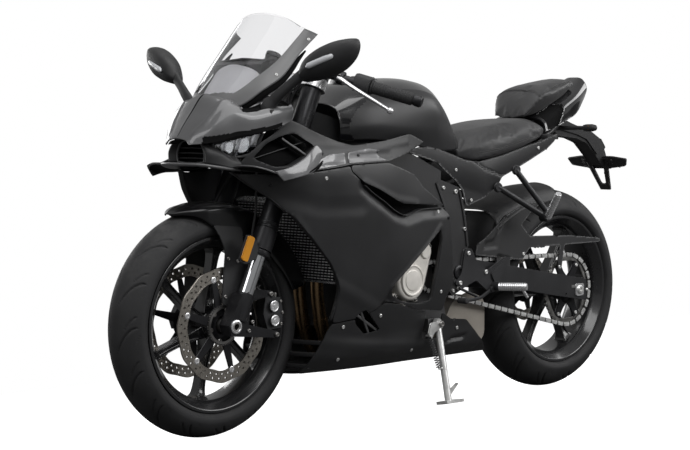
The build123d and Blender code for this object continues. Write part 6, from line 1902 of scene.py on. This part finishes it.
side_cover = cover(RIGHT, [(0, 105), (0, 130), (2, 137), (8, 144), (16, 147), (20, 147)])
raised = turned([(60, 144), (60, 149), (57, 151.5), (52, 151.5), (50, 149), (16, 149), (14, 151),
                 (0.5, 151)], (10, 0, 350), count=72)
spots = hull_ring(RIGHT, 7, 138, 11)
side_bolts = at_places(socket_bolt(5, 5), spots * (1, 0, 1) + (0, 143, 0), (0, 1, 0))
right_cover = piece("clutch_cover_cast",
                    [(mirror(join(side_cover, raised)), cast_black), (mirror(side_bolts), steel)],
                    "chassis", bevel=0.6)
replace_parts(right_cover, "clutch_cover_right")
soften("engine_block", cast_grey, 4)
# The battery box is painted-shade black: painted shade for the space inside the frame.
battery_box = slab(rounded([(128, 650), (40, 505), (-58, 476), (-88, 410), (-120, 440), (-104, 560),
                            (-60, 640), (40, 690)], 8, 4), -92, 92, 4)
mud_line = smooth([(-344, 562), (-322, 520), (-312, 470), (-318, 420), (-330, 384)], 24)
mud_half = np.linspace(-96, 96, 12)
mud = np.stack([np.broadcast_to(mud_line[:, :1], (24, 12)) - 14 * (mud_half / 96) ** 4,
                np.broadcast_to(mud_half, (24, 12)), np.broadcast_to(mud_line[:, 1:], (24, 12))], -1)
piece("inner_boxes",
      [(battery_box, painted_shade_black), (grid(mud), moulded), (grid(mud - (3, 0, 0), flip=True), moulded)],
      "chassis")

# %% [markdown]
# ## Radiator and exhaust
# A radiator core is a lattice of flat tubes and thin fins, and real slats catch the light where a painted
# grid would not. Between the tubes sit short bright fin blocks, in rows that step sideways and so read as
# slanting lines. The header pipes go bronze with heat; the silencer under the engine is pale,
# bead-blasted steel.

# %% Radiator
FOOT, HEAD = np.array([367.0, 0, 398]), np.array([430.0, 0, 612])
TUBES, FINS, CORE_HALF = 27, 83, 166
DASHES, DASH_PITCH = 25, 13.0   # in each row of bright fin blocks; a row steps sideways by a quarter pitch
climb = unit(HEAD - FOOT)
ahead = np.array([climb[2], 0, -climb[0]])


def brick(low, high):
    """A box as a shape: eight corners and six faces."""
    (a, b, c), (d, e, f) = low, high
    points = np.array([(a, b, c), (d, b, c), (d, e, c), (a, e, c), (a, b, f), (d, b, f), (d, e, f),
                       (a, e, f)], float)
    return points, [np.array([(0, 3, 2, 1), (4, 5, 6, 7), (0, 1, 5, 4), (1, 2, 6, 5), (2, 3, 7, 6),
                              (3, 0, 4, 7)])]


lean_in = np.stack([ahead, (0, 1, 0), climb], 1)
rises = np.linspace(6, 217, TUBES)
tubes = copies(brick((-13, -CORE_HALF, -1.9), (14.5, CORE_HALF, 1.9)),
               np.broadcast_to(lean_in, (TUBES, 3, 3)), FOOT + climb * rises[:, None])
places = np.linspace(3 - CORE_HALF, CORE_HALF - 3, FINS)
fins = copies(brick((-12, -0.6, 4), (13, 0.6, 219)), np.broadcast_to(lean_in, (FINS, 3, 3)),
              FOOT + places[:, None] * (0, 1, 0))
row, along = np.meshgrid(np.arange(TUBES - 1), np.arange(DASHES), indexing="ij")
dash_y = ((along - DASHES // 2) * DASH_PITCH + (row % 4 - 1.5) * DASH_PITCH / 4).reshape(-1, 1)
dash_at = FOOT + climb * ((rises[:-1] + rises[1:]) / 2).repeat(DASHES)[:, None] + dash_y * (0, 1, 0)
dashes = copies(brick((-8, -4.2, -1.5), (13.8, 4.2, 1.5)), np.broadcast_to(lean_in, (len(dash_at), 3, 3)),
                dash_at)
# A painted-shade black sheet behind the core: painted shade behind the fins.
sheet = copies(brick((-3, -CORE_HALF, 2), (-2, CORE_HALF, 221)), lean_in[None], [FOOT])
rim = [(-17, -CORE_HALF, 0), (19, CORE_HALF, 5)], [(-17, -CORE_HALF, 219), (17, CORE_HALF, 223)]
rims = join(*[copies(brick(*pair), lean_in[None], [FOOT]) for pair in rim])
tank_section = rounded([(-14, -7), (14, -7), (14, 7), (-14, 7)], 5, 4)
tank_line = FOOT + climb * np.array([0, 3, 220, 223.0])[:, None] + (0, 173, 0)
end_tank = swept(tank_line, tank_section, up=(0, 1, 0), scale=[0.9, 1, 1, 0.9])
filler = turned([(15, 0), (15, 10), (19, 11), (19, 17), (16, 19), (0.5, 19)],
                FOOT + climb * 196 + (0, 165, 0) + ahead * 4, ahead, 28)
core = piece("radiator_core",
             [(join(tubes, fins), anodised), (dashes, alloy_fin), (sheet, painted_shade_black), (rims, polished),
              (both(end_tank), anodised), (filler, steel)], "chassis")
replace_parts(core, "radiator")

# %% Exhaust
header = smooth([(290, 36, 560), (322, 36, 480), (322, 36, 330), (270, 36, 192), (120, 36, 178),
                 (-60, 36, 178), (-150, 36, 210)], 90)
pipes = swept(header, circle(18.5, 20), (0, 1, 0))
welds = [swept(header[k:k + 3], circle(20.6, 20), (0, 1, 0)) for k in (14, 34, 52)]
flange = turned([(19, -4), (30, -3), (30, 4), (19, 5)], (296, 36, 552), header[3] - header[0], 32)
can_outline = rounded([(-128, 197), (-97, 177), (-240, 169), (-318, 191), (-318, 299), (-250, 321),
                       (-190, 299)], 22, 6)
can = slab(can_outline, -91, 77, 9)
band = slab(can_outline * (0.985, 1) + (-3.6, 0), -20, -8, 1)
outlet = turned([(20, -20), (22, 60), (24.5, 66), (26, 64), (26, -10), (20, -20)][::-1],
                (-366, -92, 235.4), unit(np.array([-100.0, -48, -10])), 36, closed=False)
exhaust = piece("exhaust_pipes",
                [(both(join(pipes, *welds)), bronze), (both(flange), steel), (can, muffler_skin),
                 (outlet, steel)], "chassis", bevel=1.0, angle=50)
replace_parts(exhaust, "exhaust")

# %% [markdown]
# ## Swingarm, chain and sprocket
# A chain reads as a chain only when its links are there. One link is two waisted plates and a roller; it is
# copied along the loop that two tangents and two arcs make round the sprockets. The rear sprocket's edge is a
# radius that rises and falls once per tooth.

# %% Swingarm and its axle blocks
soften("swingarm", cast_black, 4)
block = slab(rounded([(-732, 294), (-698, 294), (-698, 328), (-732, 328)], 5, 4), 128, 134, 2)
marks = join(*[slab(np.array([(-696 + 5 * k, 318), (-694.6 + 5 * k, 318), (-694.6 + 5 * k, 326),
                              (-696 + 5 * k, 326)]), 129, 129.9, 0.1) for k in range(4)])
axle_nut = at_places(turned([(13, 0), (13, 4), (11, 6), (6, 6), (5, 2), (0.4, 2)], (0, 0, 0), (0, 0, 1),
                            30), [(-714, 133.5, 311)], (0, 1, 0))
pusher = bar((-748, 118, 309), (-772, 118, 306), 5)
piece("axle_blocks", [(both(block), polished), (both(join(axle_nut, pusher)), zinc), (both(marks), zinc)],
      "chassis", bevel=0.4)

# %% Chain
PITCH_R, FRONT_R, CHAIN_Y, TEETH = 108.8, 40.7, 95.0, 44
rear_c, front_c = np.array([-695.0, 310.0]), np.array([-60.0, 385.0])
reach_ = np.linalg.norm(front_c - rear_c)
u_ = (front_c - rear_c) / reach_
n_ = np.array([-u_[1], u_[0]])
sine = (PITCH_R - FRONT_R) / reach_
lift_angle = math.acos(sine)


def arc_points(centre, radius, first, last, count):
    """Points on a circle, with the angle measured from the line between the sprockets."""
    a = np.linspace(first, last, count)[:, None]
    return centre + radius * (np.cos(a) * u_ + np.sin(a) * n_)


loop = np.concatenate([arc_points(rear_c, PITCH_R, -math.pi, -lift_angle, 200),
                       arc_points(front_c, FRONT_R, -lift_angle, lift_angle, 200),
                       arc_points(rear_c, PITCH_R, lift_angle, math.pi, 200)])
steps = np.concatenate([[0], np.cumsum(np.linalg.norm(np.diff(loop, axis=0), axis=1))])
links = int(round(steps[-1] / (2 * math.pi * PITCH_R / TEETH) / 2)) * 2
at = np.linspace(0, steps[-1], links, endpoint=False)
joints = np.stack([np.interp(at, steps, loop[:, 0]), np.interp(at, steps, loop[:, 1])], -1)
following = np.roll(joints, -1, 0)
heading = np.degrees(np.arctan2(*(following - joints)[:, ::-1].T))
pitch_len = np.linalg.norm(following - joints, axis=1).mean()
a = np.linspace(0, 2 * np.pi, 14, endpoint=False)
waist = 1 - 0.25 * (np.abs(np.cos(a)) < 0.3)
plate_ = np.stack([pitch_len / 2 * (1 + np.sign(np.cos(a)) * np.abs(np.cos(a)) ** 0.5 * 1.62),
                   7.4 * np.sign(np.sin(a)) * np.abs(np.sin(a)) ** 0.8 * waist], -1)
oiled = finish("oiled inner link", (0.06, 0.058, 0.055), rough=0.4, metal=0.9, bump=0.1)
outer_link = join(slab(plate_, 5.4, 7.2, 0.3), slab(plate_, -7.2, -5.4, 0.3),
                  bar((0, -8, 0), (0, 8, 0), 2.6, 8), bar((pitch_len, -8, 0), (pitch_len, 8, 0), 2.6, 8))
inner_link = join(slab(plate_, 3.4, 5.0, 0.3), slab(plate_, -5.0, -3.4, 0.3),
                  bar((0, -3.4, 0), (0, 3.4, 0), 5, 8))
spots = np.stack([joints[:, 0], np.full(links, CHAIN_Y), joints[:, 1]], -1)
turns = side_turns(heading)
chain = piece("chain_links", [(copies(outer_link, turns[::2], spots[::2]), zinc),
                              (copies(inner_link, turns[1::2], spots[1::2]), oiled)], "chassis")
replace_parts(chain, "chain")
print("chain:", links, "links of", round(float(pitch_len), 2), "mm")

# %% Rear sprocket
def tooth(angle):
    """The edge's radius at an angle, lowest at the rearmost joint of the chain's loop."""
    return PITCH_R - 2.2 - 3.4 * np.cos(TEETH * (angle - math.atan2(-u_[1], -u_[0])))


rim_ring = plain_ring(lambda a_: 92 + 2.5 * np.cos(6 * a_), tooth, CHAIN_Y - 2.4, CHAIN_Y + 2.4,
                      count=TEETH * 10)
arm_ = rounded([(30, -20), (60, -11), (84, -10), (94, -16), (94, 16), (84, 10), (60, 11), (30, 20)], 6, 4)
spider = join(copies(slab(arm_, CHAIN_Y - 3.4, CHAIN_Y + 3.4, 1), side_turns(60 * np.arange(6)),
                     np.zeros((6, 3))), plain_ring(steady(22), steady(44), 84, CHAIN_Y + 3.4, 64))
fixings = at_places(socket_bolt(6, 4), ring_of(6, 86, (0, 0), CHAIN_Y + 3.2), (0, 1, 0))
about = (REAR_AXLE[0], 0, REAR_AXLE[2])
sprocket_shapes = (rim_ring, chain_steel), (spider, anodised), (fixings, zinc)
parts = [((points + about, faces), material) for (points, faces), material in sprocket_shapes]
sprocket = piece("rear_sprocket_toothed", parts, "rear_wheel", bevel=0.3, angle=50)
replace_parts(sprocket, "rear_sprocket")

# %% Hugger and shock
AX = REAR_AXLE[0]
HUGGER = [(AX + 355, [(0, 566), (60, 562), (98, 540), (110, 508)]),
          (AX + 295, [(0, 586), (60, 582), (98, 568), (110, 540)]),
          (AX + 215, [(0, 610), (60, 606), (98, 596), (110, 570)]),
          (AX + 135, [(0, 630), (56, 624), (90, 608), (106, 582)]),
          (AX + 43, [(0, 638), (50, 630), (78, 614), (92, 594)])]
over_tyre = half_loft(HUGGER, 40, 22, 1.0, 0.55, 0.08)
FLANK = rounded(np.array([(452, 438), (443, 470), (408, 486), (316, 550), (223, 586), (135, 590),
                          (195, 560), (243, 520), (202, 485), (7, 480), (-147, 466), (-147, 454),
                          (6, 452), (33, 451), (47, 376), (69, 376), (55, 451), (201, 450), (238, 414)],
                         float) + (AX, 0), 6, 4)
flat, blocks = cut_net(FLANK, (), 4.5)
hollow = within(flat[:, 0] - AX, flat[:, 1],
                [(410, 478), (372, 484), (330, 540), (300, 552), (340, 500), (352, 452), (420, 450)], 8)
flank = (np.stack([flat[:, 0], 112 - 4.5 * hollow, flat[:, 1]], -1), [b[:, ::-1] for b in blocks])
guard = piece("hugger_shell", [(grid(over_tyre), moulded), (flank, moulded)], "chassis",
              wall=4, bevel=0.8)
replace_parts(guard, "rear_hugger")
stay = slab(rounded([(AX + 355, 440), (AX + 295, 430), (AX + 295, 385), (AX + 355, 390)], 8, 4),
            106, 112, 1)
guard_bolts = at_places(socket_bolt(5.5, 4),
                        [(AX + 58, 111, 384), (AX + 232, 111, 432), (AX + 330, 111, 420)], (0, 1, 0))
piece("hugger_stay", [(stay, moulded), (guard_bolts, zinc)], "chassis", bevel=0.5)


def coil(start, end, radius, wire, rounds, sides=8):
    """A helix about the line between two points, swept by a round wire."""
    start, end = np.asarray(start, float), np.asarray(end, float)
    across, side_, along = basis(end - start)[0].T
    t = np.linspace(0, 1, int(rounds * 22))
    turn = 2 * np.pi * rounds * t
    path = start + (end - start) * t[:, None] + radius * (np.cos(turn)[:, None] * across
                                                          + np.sin(turn)[:, None] * side_)
    return swept(path, circle(wire, sides), along)


low_eye, high_eye = np.array([-250.0, 0, 408]), np.array([-302.0, 0, 600])
line = unit(high_eye - low_eye)
damper = join(turned([(8, 0), (8, 60), (16, 62), (16, 150), (26, 152), (26, 160), (14, 166), (14, 196)],
                     low_eye, line, 32),
              turned([(12, 12), (27, 14), (27, 20), (12, 22)], low_eye, line, 32),
              bar(low_eye + (0, -16, 0), low_eye + (0, 16, 0), 12),
              bar(high_eye + line * 14 + (0, -16, 0), high_eye + line * 14 + (0, 16, 0), 12))
shock = piece("shock_spring",
              [(coil(low_eye + line * 22, low_eye + line * 150, 23.5, 4.6, 7.5), spring_paint),
               (damper, anodised)], "chassis", smooth_by=50)
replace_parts(shock, "rear_shock")

# %% [markdown]
# ## Foot controls and stand
# The rider's pegs are bright, ribbed alloy with a small feeler under the tip, on dark forged hangers. The
# side stand is galvanised steel with a return spring; it hangs on its own body.

# %% Rider's footrests
def ribbed_peg(start, end, radius, ribs):
    """A round peg with ring grooves: the radius drops between ribs along its length."""
    start, end = np.asarray(start, float), np.asarray(end, float)
    length = np.linalg.norm(end - start)
    t = np.linspace(0, 1, ribs * 4)
    r = radius - 1.6 * (np.arange(ribs * 4) % 4 >= 2)
    profile = np.concatenate([[(0.5, 0)], np.stack([r, t * (length - 4) + 1], -1),
                              [(radius - 3, length), (0.5, length)]])
    return turned(profile, start, end - start, 24)


HANGER = rounded([(-150, 462), (-176, 462), (-200, 420), (-250, 392), (-330, 430), (-346, 428),
                  (-330, 400), (-290, 336), (-262, 330), (-200, 372), (-140, 352), (-108, 366),
                  (-136, 392)], 9, 5)
hanger = join(slab(HANGER, 147, 155, 2),
              slab(rounded([(-262, 386), (-322, 420), (-318, 398), (-284, 350)], 8, 4), 154, 160, 2))
hub = join(bar((-276, 147, 348), (-276, 180, 348), 14), bar((-262, 150, 340), (-262, 166, 340), 9))
lever_path = smooth([(-262, 158, 340), (-232, 161, 328), (-200, 166, 319), (-150, 170, 316),
                     (-110, 172, 318)], 30)
lever_arm = swept(lever_path, rounded([(-5, -3.5), (5, -3.5), (5, 3.5), (-5, 3.5)], 2, 3), (0, 1, 0))
link_rod = bar((-200, 158, 322), (-120, 158, 352), 4)
toe = turned([(0.5, 0), (8.5, 1), (8.5, 8), (7, 9), (8.5, 10), (8.5, 18), (7, 19), (8.5, 20), (8.5, 32),
              (6, 34), (0.5, 34)], (-110, 166, 318), (0, 1, 0), 20)
peg = join(ribbed_peg((-276, 176, 348), (-306, 256, 351), 12.2, 13),
           bar((-300, 240, 348), (-322, 246, 318), 4.2))
hanger_bolts = at_places(socket_bolt(7, 5), [(-163, 154, 450), (-128, 154, 366), (-240, 154, 392)],
                         (0, 1, 0))
for side, flip in SIDES:
    rest = piece(f"footrest_{side}_forged",
                 [(flip(hanger), cast_black), (flip(join(hub, lever_arm, link_rod)), cast_black),
                  (flip(toe), grip_rubber), (flip(peg), polished), (flip(hanger_bolts), zinc)], "chassis",
                 bevel=0.6)
    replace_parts(rest, f"footrest_{side}")
    struts = join(bar((-290, 150, 640), (-452, 200, 548), 8.6),
                  bar((-372, 150, 690), (-470, 200, 556), 8.6),
                  bar((-452, 188, 548), (-452, 214, 548), 15, 24, 2),
                  turned([(15, 0), (15, 3), (12, 5), (12, 9)], (-294, 150, 637), (0.2, 1, 0), 20),
                  turned([(15, 0), (15, 3), (12, 5), (12, 9)], (-376, 150, 687), (0.2, 1, 0), 20))
    passenger = ribbed_peg((-452, 213, 548), (-404, 290, 620), 10.8, 15)
    pillion = piece(f"pillion_footrest_{side}_forged",
                    [(flip(struts), cast_black), (flip(passenger), polished)], "chassis",
                    bevel=0.6)
    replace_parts(pillion, f"pillion_footrest_{side}")

# %% Side stand
soften("side_stand", zinc, 2.5)
pivot_at, foot_at = np.array([-18.0, 168, 258]), np.array([-10.0, 221, 50])
leg = unit(foot_at - pivot_at)
spring = coil(pivot_at + (38, 6, -34), pivot_at + leg * 124 + (22, 2, 0), 6.5, 1.5, 14, 6)
pin = join(bar(pivot_at + leg * 126, pivot_at + leg * 126 + (24, 2, 0), 3.2),
           bar(pivot_at + (38, -8, -32), pivot_at + (38, 14, -32), 3.2),
           slab(rounded([(-26, 266), (20, 262), (30, 232), (18, 220), (6, 238), (-26, 246)], 5, 4),
                176, 181, 1))
tab = slab(rounded([(-46, 92), (-54, 92), (-22, 62), (-12, 62), (-14, 74)], 3, 3), 214, 219, 1)
cap_bolt = at_places(socket_bolt(9, 6), [pivot_at + (-2, 13, 0)], (0, 1, 0))
piece("stand_spring", [(spring, spring_paint), (pin, zinc), (tab, zinc), (cap_bolt, steel)], "stand",
      bevel=0.4)

# %% Hoses
def hose(points, radius, count=50):
    """A smooth hose through its clip points."""
    return swept(smooth(points, count), circle(radius, 10), (0, 1, 0))


def clip_ring(place, way):
    """A collar that holds the brake line to its fork leg."""
    return turned([(4.2, -4), (6.6, -4), (6.6, 4), (4.2, 4)][::-1], place, way, 16, closed=True)


brake_line = hose([on_fork(470, 34, 20), on_fork(400, 46, 52), on_fork(310, 40, 84), on_fork(220, 18, 84),
                   on_fork(130, -26, 92), np.array([553, 104, 366.0])], 3.6)
upper_line = hose([on_fork(700, 60, 120), on_fork(640, 58, 88), on_fork(590, 36, 74),
                   on_fork(545, 24, 66), on_fork(500, 27, 42), on_fork(470, 34, 20)], 3.6)
cable = hose([on_fork(720, 50, 190), on_fork(680, 66, 140), on_fork(620, 50, 92), on_fork(560, 34, 76),
              on_fork(510, 34, 56), on_fork(470, 40, 34)], 3.2)
piece("front_hoses",
      [(both(join(brake_line, upper_line, cable)), grip_rubber),
       (both(clip_ring(on_fork(220, 18, 84), STEER_UP)), zinc)], "steering", smooth_by=60)

# %% [markdown]
# ## Floor, light and camera
# The machine is shown the way a catalogue does it: pale floor, white surroundings and large soft lights.
# On black lacquer the lights are seen as reflections, so their shapes matter more than their power. A
# large light overhead draws the lines along the tank and nose, and two broad ones on the left give the
# satin panels their grey. The world is white to the camera and dimmer to everything else, so that it
# doesn't wash the black parts out.

# %% Floor and world
floor_mesh = bpy.data.meshes.new("studio_floor")
reach = 30.0
floor_mesh.from_pydata([(-reach, -reach, 0), (reach, -reach, 0), (reach, reach, 0), (-reach, reach, 0)],
                       [], [(0, 1, 2, 3)])
floor = bpy.data.objects.new("studio_floor", floor_mesh)
bpy.context.scene.collection.objects.link(floor)
paper = finish("pale studio floor", (0.55, 0.55, 0.55), rough=0.8, bump=0.0, spread=0.01, specular=0.1)
glow, shade = paper.node_tree, paper.node_tree.nodes["Principled BSDF"]


def straight_ray(tree):
    """One for rays that come from the camera, directly or through clear glass."""
    path = tree.nodes.new("ShaderNodeLightPath")
    return add_node(tree, "ShaderNodeMath", {"_operation": "MAXIMUM"},
                    {0: path.outputs["Is Camera Ray"], 1: path.outputs["Is Transmission Ray"]}).outputs[0]


direct = straight_ray(glow)
glow.links.new(mapped(glow, direct, 0, 1, 0.0, 1.05), shade.inputs["Emission Strength"])
shade.inputs["Emission Color"].default_value = (1, 1, 1, 1)
tint = add_node(glow, "ShaderNodeMix",
                {"_data_type": "RGBA", 6: (0.10, 0.10, 0.10, 1), 7: (0.6, 0.6, 0.6, 1)}, {0: direct})
glow.links.new(tint.outputs[2], shade.inputs["Base Color"])
floor_mesh.materials.append(paper)

world = bpy.data.worlds.new("studio")
bpy.context.scene.world = world
world.use_nodes = True
sky = world.node_tree
background = sky.nodes["Background"]
sky.links.new(mapped(sky, straight_ray(sky), 0, 1, 0.30, 1.0), background.inputs["Strength"])
background.inputs["Color"].default_value = (1, 1, 1, 1)
bpy.context.scene.view_settings.view_transform = "Standard"


# %% Lights
def area_light(name, place, target, size, power, spread=180):
    """A rectangular soft light at a place, turned towards a target."""
    data = bpy.data.lights.new(name, "AREA")
    data.shape, data.size, data.size_y, data.energy = "RECTANGLE", size[0], size[1], power
    data.spread = math.radians(spread)
    lamp = bpy.data.objects.new(name, data)
    bpy.context.scene.collection.objects.link(lamp)
    turn = basis(np.subtract(place, target), (0, 0, 1))[0]
    matrix = np.eye(4)
    matrix[:3, 0], matrix[:3, 1], matrix[:3, 2], matrix[:3, 3] = turn[:, 1], turn[:, 0], turn[:, 2], place
    lamp.matrix_world = Matrix(matrix.tolist())
    return lamp


area_light("overhead", (0.9, 0.8, 3.6), (0, 0, 0.7), (2.6, 4.0), 65)
area_light("left rear", (-2.6, 4.4, 2.0), (-0.3, 0, 0.5), (3.4, 2.4), 130)
area_light("left front", (1.4, 3.4, 3.0), (0.2, 0, 0.6), (2.6, 1.8), 60)
area_light("front", (4.4, 0.6, 2.4), (0.4, 0, 0.7), (2.0, 1.4), 25)
area_light("right side", (0.0, -4.4, 2.4), (0, 0, 0.5), (3.0, 1.8), 60)
area_light("rear", (-4.2, 1.4, 2.4), (-0.4, 0, 0.6), (2.4, 1.6), 35)

# %% [markdown]
# The camera stands at the front left, lower than the wheel hubs, and looks slightly up through a long lens,
# with a slight roll.

# %% Camera
DISTANCE, SIDEWAYS, UPWARDS = 5.11157511, -0.06972422, 0.03339009   # metres, from half a metre above HOME
FOCAL, WIDTH, SENSOR = 1757.6, 690, 36   # the first two in pixels, the sensor in mm
azimuth, elevation, roll = (math.radians(a) for a in (135.162, -3.947, -6.623))
back = np.array([math.sin(azimuth) * math.cos(elevation), -math.cos(azimuth) * math.cos(elevation),
                 math.sin(elevation)])
right = unit(np.cross(-back, (0, 0, 1)))
above = np.cross(right, -back)
across = right * math.cos(roll) + above * math.sin(roll)
upward = above * math.cos(roll) - right * math.sin(roll)
eye = HOME + (0, 0, 0.5) + back * DISTANCE + across * SIDEWAYS + upward * UPWARDS
lens = bpy.data.cameras.new("camera")
lens.sensor_width, lens.lens = SENSOR, FOCAL / WIDTH * SENSOR
camera = bpy.data.objects.new("camera", lens)
bpy.context.scene.collection.objects.link(camera)
stand_at = np.eye(4)
stand_at[:3, 0], stand_at[:3, 1], stand_at[:3, 2], stand_at[:3, 3] = across, upward, back, eye
camera.matrix_world = Matrix(stand_at.tolist())
bpy.context.scene.camera = camera
print("camera at", eye.round(3))
